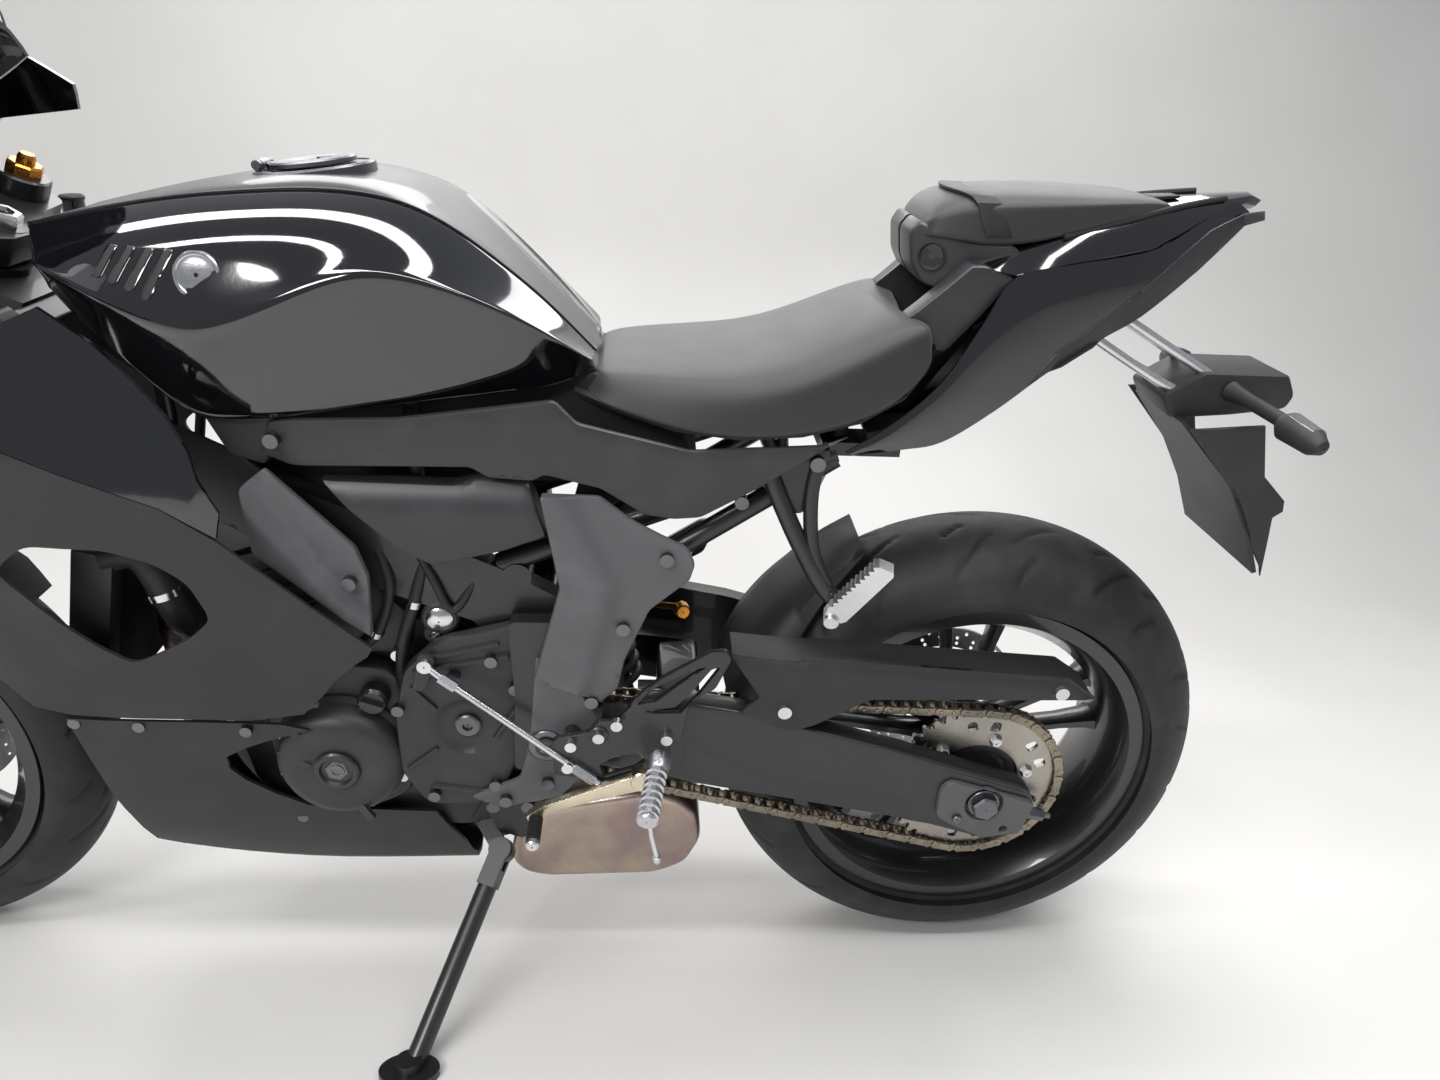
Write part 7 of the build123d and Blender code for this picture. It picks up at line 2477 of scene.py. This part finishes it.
    def _calipers(self, finishes: Finishes) -> None:
        """Two radial calipers with their bridges, pads and mounting lugs."""
        out = Vector((0.73, 0, 0.68)).normalized()
        across = Vector((0.68, 0, -0.73)).normalized()
        calipers, pads = Form("front_caliper_bodies"), Form("front_pads")
        for s in (-1, 1):
            centre = Vector((FRONT_X, s * 66, FRONT_R))
            for low, high in ((-24, -8.3), (8.3, 24)):
                rings = []
                for y, trim in ((low, 3), (low + 3, 0), (high - 3, 0), (high, 1)):
                    rings.append([centre + out * a + across * b + Vector((0, y, 0)) for a, b in rounded(
                        [(108 + trim, -44 + trim), (150, -46 + trim), (170 - trim, -30), (170 - trim, 30),
                         (150, 46 - trim), (108 + trim, 44 - trim)], 8)])
                calipers.strip(rings)
            for b in (-34, 0, 34):
                calipers.strip([[centre + out * a + across * (b + c) + Vector((0, y, 0)) for a, c in (
                    (155, -7), (168, -7), (168, 7), (155, 7))] for y in (-22, 22)])
            for b in (-24, 24):
                calipers.disc(centre + out * 132 + across * b + Vector((0, s * 22, 0)), (0, s, 0), 17, 5, 2,
                              0, 28)
            leg = steered(self.axle_h + 128, s * self.leg_y, self.ahead)
            calipers.tube([centre + out * 150 + Vector((0, s * 18, 0)), leg + Vector((4, -s * 19, 0))],
                          [14, 12], 16)
            for faces in ((-8.2, -7.0), (7.0, 8.2)):
                pads.strip([[centre + out * a + across * b + Vector((0, y, 0))
                             for a, b in ((112, -36), (146, -36), (146, 36), (112, 36))] for y in faces])
        calipers.piece(finishes["engine_black"], Body.STEERING, ("front_calipers",), smooth=35)
        pads.piece(finishes["dark_bolt"], Body.STEERING, smooth=30)
        lines = Form("brake_lines")
        for s in (-1, 1):
            lines.tube(catmull([tuple(Vector((FRONT_X, s * 66, FRONT_R)) + out * 168 + Vector((0, s * 22,
                    0))),
                                (-560, s * 84, 520), tuple(steered(700, s * 70, 44)),
                                tuple(steered(770, s * 50, 60))], 8), 4, 10)
        lines.piece(finishes["plain_rubber"], Body.STEERING, smooth=60)


@dataclass
class Bars:
    """Clip-on bars with ribbed grips, levers, switches and fluid cups."""

    def build(self, finishes: Finishes) -> None:
        """Build both sides."""
        up = (steered(1000) - steered(0)).normalized()
        bars, grips, levers, knobs = Form("bars"), Form("grips"), Form("levers"), Form("switches")
        cups, lids = Form("fluid_cups"), Form("fluid_lids")
        for s in (-1, 1):
            base = steered(0, s * LEG_Y, LEG_AHEAD)
            bars.lathe([(961, 27.1), (961, 34), (963, 36), (983, 36), (985, 34), (985, 27.1)], base, up, 36)
            root = steered(973, s * LEG_Y, LEG_AHEAD)
            tip = Vector((BAR_TIP[0], s * BAR_TIP[1], BAR_TIP[2]))
            run = tip - root
            way = run.normalized()
            bars.tube([root + way * 32, tip], 11, 20)
            bars.lathe([(-2, 1), (-2, 15), (12, 17), (22, 15), (22, 1)], tip - way * 20, way, 28)
            start, length = root + run * 0.48, run.length * 0.52 - 22
            shape = [(0, 11), (0, 17), (3, 17), (5, 15.6)]
            count = 22
            for index in range(count):
                at = 10 + (length - 16) * index / count
                shape += [(at, 15.4), (at + 0.8, 16.4), (at + 2.8, 16.4), (at + 3.6, 15.4)]
            grips.lathe(shape + [(length, 15), (length, 11)], start, way, 28)
            knobs.lathe([(0, 11), (0, 17), (3, 19), (34, 19), (37, 17), (37, 11)], root + run * 0.27, way, 24)
            knobs.lathe([(0, 1), (0, 6), (6, 6), (7, 5), (7, 1)], root + run * 0.33 + Vector((12, 0, 13)),
                        (0.7, 0, 0.7), 16)
            perch = root + run * 0.40
            pivot = perch + Vector((-48, -s * 6, 5))
            levers.tube([perch, pivot], [12, 9], 16)
            line = [pivot, pivot + Vector((-12, s * 28, -4)), pivot + Vector((4, s * 76, -9)),
                    pivot + Vector((16, s * 124, -12))]
            levers.tube(catmull([tuple(p) for p in line], 6), [7] * 12 + [6] * 5 + [7.5] * 2, 14)
            spot = perch + Vector((0, -s * 4, 30))
            cups.lathe([(-14, 1), (-14, 10), (-11, 12), (8, 13), (8, 1)], spot, (0, 0, 1), 28)
            cups.tube([perch, spot + Vector((0, 0, -10))], 7, 14)
            lids.lathe([(8, 1), (8, 14), (11, 14), (13, 12), (13, 1)], spot, (0, 0, 1), 28)
        bars.piece(finishes["frame_black"], Body.STEERING, ("handlebars",), smooth=40)
        grips.piece(finishes["plain_rubber"], Body.STEERING, smooth=30)
        knobs.piece(finishes["matte_black"], Body.STEERING, smooth=35)
        levers.piece(finishes["bare_aluminium"], Body.STEERING, smooth=50)
        cups.piece(finishes["smoked_screen"], Body.STEERING, smooth=40)
        lids.piece(finishes["matte_black"], Body.STEERING, smooth=40)
        red = Form("stop_switch")
        root = steered(973, LEG_Y, LEG_AHEAD)
        red.lathe([(0, 1), (0, 7), (8, 7), (10, 5), (10, 1)],
                  root + (Vector(BAR_TIP) - root) * 0.36 + Vector((8, 0, 14)), (0.5, 0, 0.86), 20)
        red.piece(finishes["red_switch"], Body.STEERING, smooth=35)


@dataclass
class Cockpit:
    """The instruments on their stay and the two mirrors."""

    def build(self, finishes: Finishes) -> None:
        """Build the instruments and the mirrors."""
        normal = Vector((0.86, 0, 0.5)).normalized()
        up = Vector((-normal.z, 0, normal.x))
        centre = Vector((-509, 0, 1000))

        def ring(outline: Sequence[Point2], depth: float) -> list[Vector]:
            """The outline set on the panel's plane at a depth."""
            return [centre + Vector((0, a, 0)) + up * b + normal * depth for a, b in outline]

        edge = rounded([(-75, -25), (-50, -32), (50, -32), (75, -25), (71, 19), (50, 32), (-50, 32),
                        (-71, 19)], 8)
        small = [(a * 0.9, b * 0.86) for a, b in edge]
        panel = Form("panel_body")
        panel.strip([ring([(a * 0.8, b * 0.75) for a, b in edge], -20), ring(edge, -11), ring(edge, -2),
                     ring(small, 1.5), ring([(a * 0.86, b * 0.8) for a, b in edge], -1)])
        panel.tube(catmull([(-440, 0, 858), (-488, 0, 884), (-526, 0, 905), (-526, 0, 945), (-523, 0, 988)],
                           6), 11, 18)
        panel.piece(finishes["matte_black"], Body.ROOT, ("instrument_panel",), smooth=35)
        dial = Form("panel_dial")
        dial.lathe([(0, 1), (0, 25), (2.5, 26), (3.5, 24.5), (3.5, 23), (1, 22), (1, 1)],
                   centre + Vector((0, 26, 0)) + up * 2, normal, 48)
        for index in range(13):
            angle = math.radians(210 - 20 * index)
            inner, outer = ((r * math.cos(angle), r * math.sin(angle)) for r in (17, 21))
            dial.tube([centre + Vector((0, 26 + a, 0)) + up * (2 + b) + normal * 1.2
                       for a, b in (inner, outer)], 0.7, 6)
        dial.tube([centre + Vector((0, 26, 0)) + up * 2 + normal * 2,
                   centre + Vector((0, 12, 0)) + up * -9 + normal * 2], 0.9, 6)
        dial.piece(finishes["bare_aluminium"], Body.ROOT, smooth=30)
        screen = Form("panel_screen")
        shape = rounded([(-62, -18), (-8, -18), (-8, 17), (-56, 17)], 4)
        screen.strip([ring(shape, -0.6), ring(shape, 1.2)])
        screen.piece(finishes["mirror_glass"], Body.ROOT, smooth=30)
        arms, glass = Form("mirror_heads"), Form("mirror_faces")
        for s in (-1, 1):
            arms.tube(catmull([(-578, s * 112, 926), (-566, s * 150, 968), (-552, s * 214, 1044),
                               (-544, s * 252, 1092)], 5),
                      [12] + [9] * 12 + [8] * 3, 16)
            middle = Vector((-522, s * 272, 1112))
            shape = rounded([(-79, -20), (-60, -35), (50, -37), (79, -16), (74, 18), (40, 36), (-58, 34),
                             (-79, 12)], 14)
            rings = [[middle + Vector((x, s * a * k, b * k)) for a, b in shape]
                     for x, k in ((-36, 0.45), (-31, 0.72), (-20, 0.92), (-6, 1.0), (0, 0.99), (0.5, 0.94),
                                  (-2, 0.93))]
            arms.strip(rings)
            glass.strip([[middle + Vector((x, s * a * 0.935, b * 0.93)) for a, b in shape]
                         for x in (-3, -0.6)])
        arms.piece(finishes["side_satin"], Body.ROOT, ("mirrors",), smooth=45)
        glass.piece(finishes["mirror_glass"], Body.ROOT, smooth=30)


@dataclass
class RearLamps:
    """The plate bracket on its two struts, its lamp, the indicators and the tail lamp's housing."""

    blade: tuple[Point2, ...] = ((872, 779), (935, 712), (967, 660), (1000, 612), (1004, 600), (1000, 640),
                                 (996, 676), (1006, 684), (1004, 697), (972, 726), (955, 786))

    def build(self, finishes: Finishes) -> None:
        """Build the bracket and the lamps."""
        struts = Form("plate_struts")
        for s in (-1, 1):
            for line in ([(726, s * 30, 886), (868, s * 32, 809), (905, s * 32, 817)],
                         [(768, s * 30, 901), (840, s * 32, 862), (909, s * 32, 825)]):
                struts.tube(catmull(line, 5), 5.5, 14)
        struts.piece(finishes["bare_aluminium"], Body.ROOT, smooth=35)
        body = Form("plate_body")
        shape = rounded([(852, 803), (868, 777), (938, 783), (1000, 792), (1007, 808), (994, 832),
                         (896, 832)], 6)
        for y in (-42, 42):
            body.plate(shape, y, 0, 4, 12)
        line = ((872, 779), (935, 712), (967, 660), (992, 604))
        rings = []
        for x, z in line:
            half = 84 if z < 770 else 60
            rings.append([(x, -half, z), (x + 5, -half, z + 2), (x + 5, half, z + 2), (x, half, z)])
        body.strip(rings)
        for s in (-1, 1):
            body.plate([(x, z) for x, z in self.blade], s * 84, s * 80, 1, 14)
        body.piece(finishes["matte_black"], Body.ROOT, ("plate_bracket",), smooth=35)
        lamp = Form("plate_lamp")
        lamp.strip([[(978, y, 786), (1003, y, 790), (1008, y, 804), (980, y, 802)] for y in (-26, 26)])
        lamp.piece(finishes["clear_lens"], Body.ROOT, smooth=30, bevel=2)
        stalks, lenses, tail = Form("indicator_stalks"), Form("indicator_lenses"), Form("tail_lamp")
        for s in (-1, 1):
            stalks.tube(catmull([(930, s * 42, 812), (944, s * 88, 806), (956, s * 124, 800)], 5),
                        [12, 10, 9, 8] + [8] * 7, 16)
            way = Vector((12, s * 54, -7)).normalized()
            stalks.lathe([(0, 1), (0, 10), (8, 16), (46, 14), (58, 8), (60, 1)], (950, s * 116, 801), way, 24)
            lenses.lathe([(10, 12), (10, 16.6), (44, 14.8), (44, 10)], (951.5, s * 116, 801), way, 24)
        stalks.piece(finishes["matte_black"], Body.ROOT, ("rear_lamps",), smooth=45)
        lenses.piece(finishes["clear_lens"], Body.ROOT, smooth=40)
        tail.strip([[(x, y * k, z) for x, y, z in ((836, 22, 938), (880, 16, 983), (886, 16, 978),
                                                   (842, 22, 932))]
                    for k in (-1, -0.9, 0.9, 1)])
        tail.piece(finishes["red_lens"], Body.ROOT, smooth=30, bevel=1.5)
        Bolts("bracket_bolts", 6.5, 4).set([Vector((x, s * 37, z))
                                            for x, z in ((888, 812), (908, 818), (742, 884))
                                            for s in (-1, 1)], finishes["dark_bolt"])


# Stage


@dataclass
class Studio:
    """Floor, soft light and the camera at the photograph's place."""

    focal_share: float = 1001.0 / 1440.0
    place: Point3 = (0.27485, -1.0941, 0.907)
    heading: Point2 = (0.0737, 0.9973)
    pitch: float = 15.4
    slope: float = 0.04

    def build(self) -> None:
        """Set the whole stage."""
        scene = bpy.context.scene
        scene.view_settings.view_transform = "Standard"
        camera = bpy.data.cameras.new("photo_camera")
        camera.sensor_width = 36.0
        camera.lens = self.focal_share * 36.0
        camera.clip_start = 0.02
        item = bpy.data.objects.new("photo_camera", camera)
        scene.collection.objects.link(item)
        pitch = math.radians(self.pitch)
        level = Vector((self.heading[0], self.heading[1], 0)).normalized()
        ahead = level * math.cos(pitch) - Vector((0, 0, math.sin(pitch)))
        right = ahead.cross(Vector((0, 0, 1))).normalized()
        up = right.cross(ahead)
        roll = -math.atan(self.slope)
        right, up = (right * math.cos(roll) - up * math.sin(roll),
                     up * math.cos(roll) + right * math.sin(roll))
        turn = Matrix((right, up, -ahead)).transposed().to_4x4()
        item.matrix_world = Matrix.Translation(Vector(self.place)) @ turn
        scene.camera = item
        self._floor()
        self._lights()

    def _floor(self) -> None:
        """A pale floor that runs up into a pale wall behind."""
        form = Form("floor")
        turn = [math.pi / 2 * step / 24 for step in range(25)]
        curve = [(-2600.0, 0.0)] + [(1400 + 1000 * math.sin(a), 1000 - 1000 * math.cos(a))
                                    for a in turn] + [(2400.0, 3200.0)]
        rows = [[(x, y, z) for y, z in curve] for x in (-5200, 5200)]
        mesh = bpy.data.meshes.new("floor")
        verts = [tuple(v / 1000 for v in point) for row in rows for point in row]
        size = len(curve)
        mesh.from_pydata(verts, [], [(i, i + 1, size + i + 1, size + i) for i in range(size - 1)])
        form.bm.free()
        shader = Shader("floor_pale", (0.60, 0.59, 0.57), 0.55)
        shader.worn(shader.noise(1.5, 3.0).within(0.3, 0.7), (0.60, 0.59, 0.57), (0.64, 0.63, 0.61))
        mesh.materials.append(shader.material)
        for polygon in mesh.polygons:
            polygon.use_smooth = True
        item = bpy.data.objects.new("floor", mesh)
        bpy.context.scene.collection.objects.link(item)

    def _lights(self) -> None:
        """Long soft ceiling panels and a pale world."""
        world = bpy.data.worlds.new("studio")
        bpy.context.scene.world = world
        world.use_nodes = True
        world.node_tree.nodes["Background"].inputs["Color"].default_value = (0.85, 0.88, 0.95, 1)
        world.node_tree.nodes["Background"].inputs["Strength"].default_value = 0.38
        for name, place, turn, size, power in (
                ("ceiling_left", (0.0, -1.2, 2.7), (math.radians(-14), 0, 0), (4.4, 0.30), 85),
                ("ceiling_over", (0.1, 0.2, 2.8), (0, 0, 0), (4.4, 0.45), 70),
                ("front_soft", (-1.4, -2.8, 2.3), (math.radians(54), 0, math.radians(-22)), (1.5, 0.7), 70),
                ("far_soft", (0.4, 2.1, 2.4), (math.radians(-50), 0, 0), (3.4, 0.8), 40)):
            light = bpy.data.lights.new(name, "AREA")
            light.shape, light.size, light.size_y, light.energy = "RECTANGLE", size[0], size[1], power
            item = bpy.data.objects.new(name, light)
            item.location, item.rotation_euler = place, turn
            bpy.context.scene.collection.objects.link(item)


def dress_nodes(nodes: dict[str, bpy.types.Object], finishes: Finishes) -> None:
    """Give the fixed nodes that still show their finishes.

    Args:
        nodes: the frame's nodes by name.
        finishes: the bike's finishes.
    """
    plan = {"engine_block": "engine_block", "main_frame": "frame_black", "subframe": "frame_black",
            "side_stand": "frame_black"}
    for name, finish in plan.items():
        item = nodes[name]
        if not item.material_slots:
            item.data.materials.append(finishes[finish])
        for slot in item.material_slots:
            slot.material = finishes[finish]


def main(frame: dict[str, object]) -> None:
    """Build every sub-assembly in order.
    """
    finishes = Finishes()
    dress_nodes(frame["nodes"], finishes)
    Tank().build(finishes)
    Seats().build(finishes)
    Tail().build(finishes)
    Covers().build(finishes)
    Fairing().build(finishes)
    front = Wheel("front_tyre", FRONT_X, FRONT_R, 120.0, 89.0, 62.0, Body.FRONT_WHEEL)
    rear = Wheel("rear_tyre", REAR_X, REAR_R, 180.0, 140.0, 95.0, Body.REAR_WHEEL)
    front.tyre(finishes)
    rear.tyre(finishes)
    Rim("front_rim", FRONT_X, FRONT_R, 89.0, Body.FRONT_WHEEL).build(finishes)
    Rim("rear_rim", REAR_X, REAR_R, 140.0, Body.REAR_WHEEL).build(finishes)
    Brake("front_discs", FRONT_X, FRONT_R, (-66.0, 66.0), 149.0, 34.0, Body.FRONT_WHEEL).build(finishes)
    Brake("rear_disc", REAR_X, REAR_R, (84.0,), 110.0, 30.0, Body.REAR_WHEEL, 24).build(finishes)
    Drive().build(finishes)
    Engine().build(finishes)
    Frame().build(finishes)
    Cooling().build(finishes)
    Exhaust().build(finishes)
    Swingarm().build(finishes)
    RearBrake().build(finishes)
    Rests().build(finishes)
    Stand().build(finishes)
    Fork().build(finishes)
    Bars().build(finishes)
    Cockpit().build(finishes)
    RearLamps().build(finishes)
    Studio().build()


if __name__ == "__main__":
    logging.basicConfig(level=logging.INFO, format="%(name)s: %(message)s")
    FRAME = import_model()
    main(FRAME)
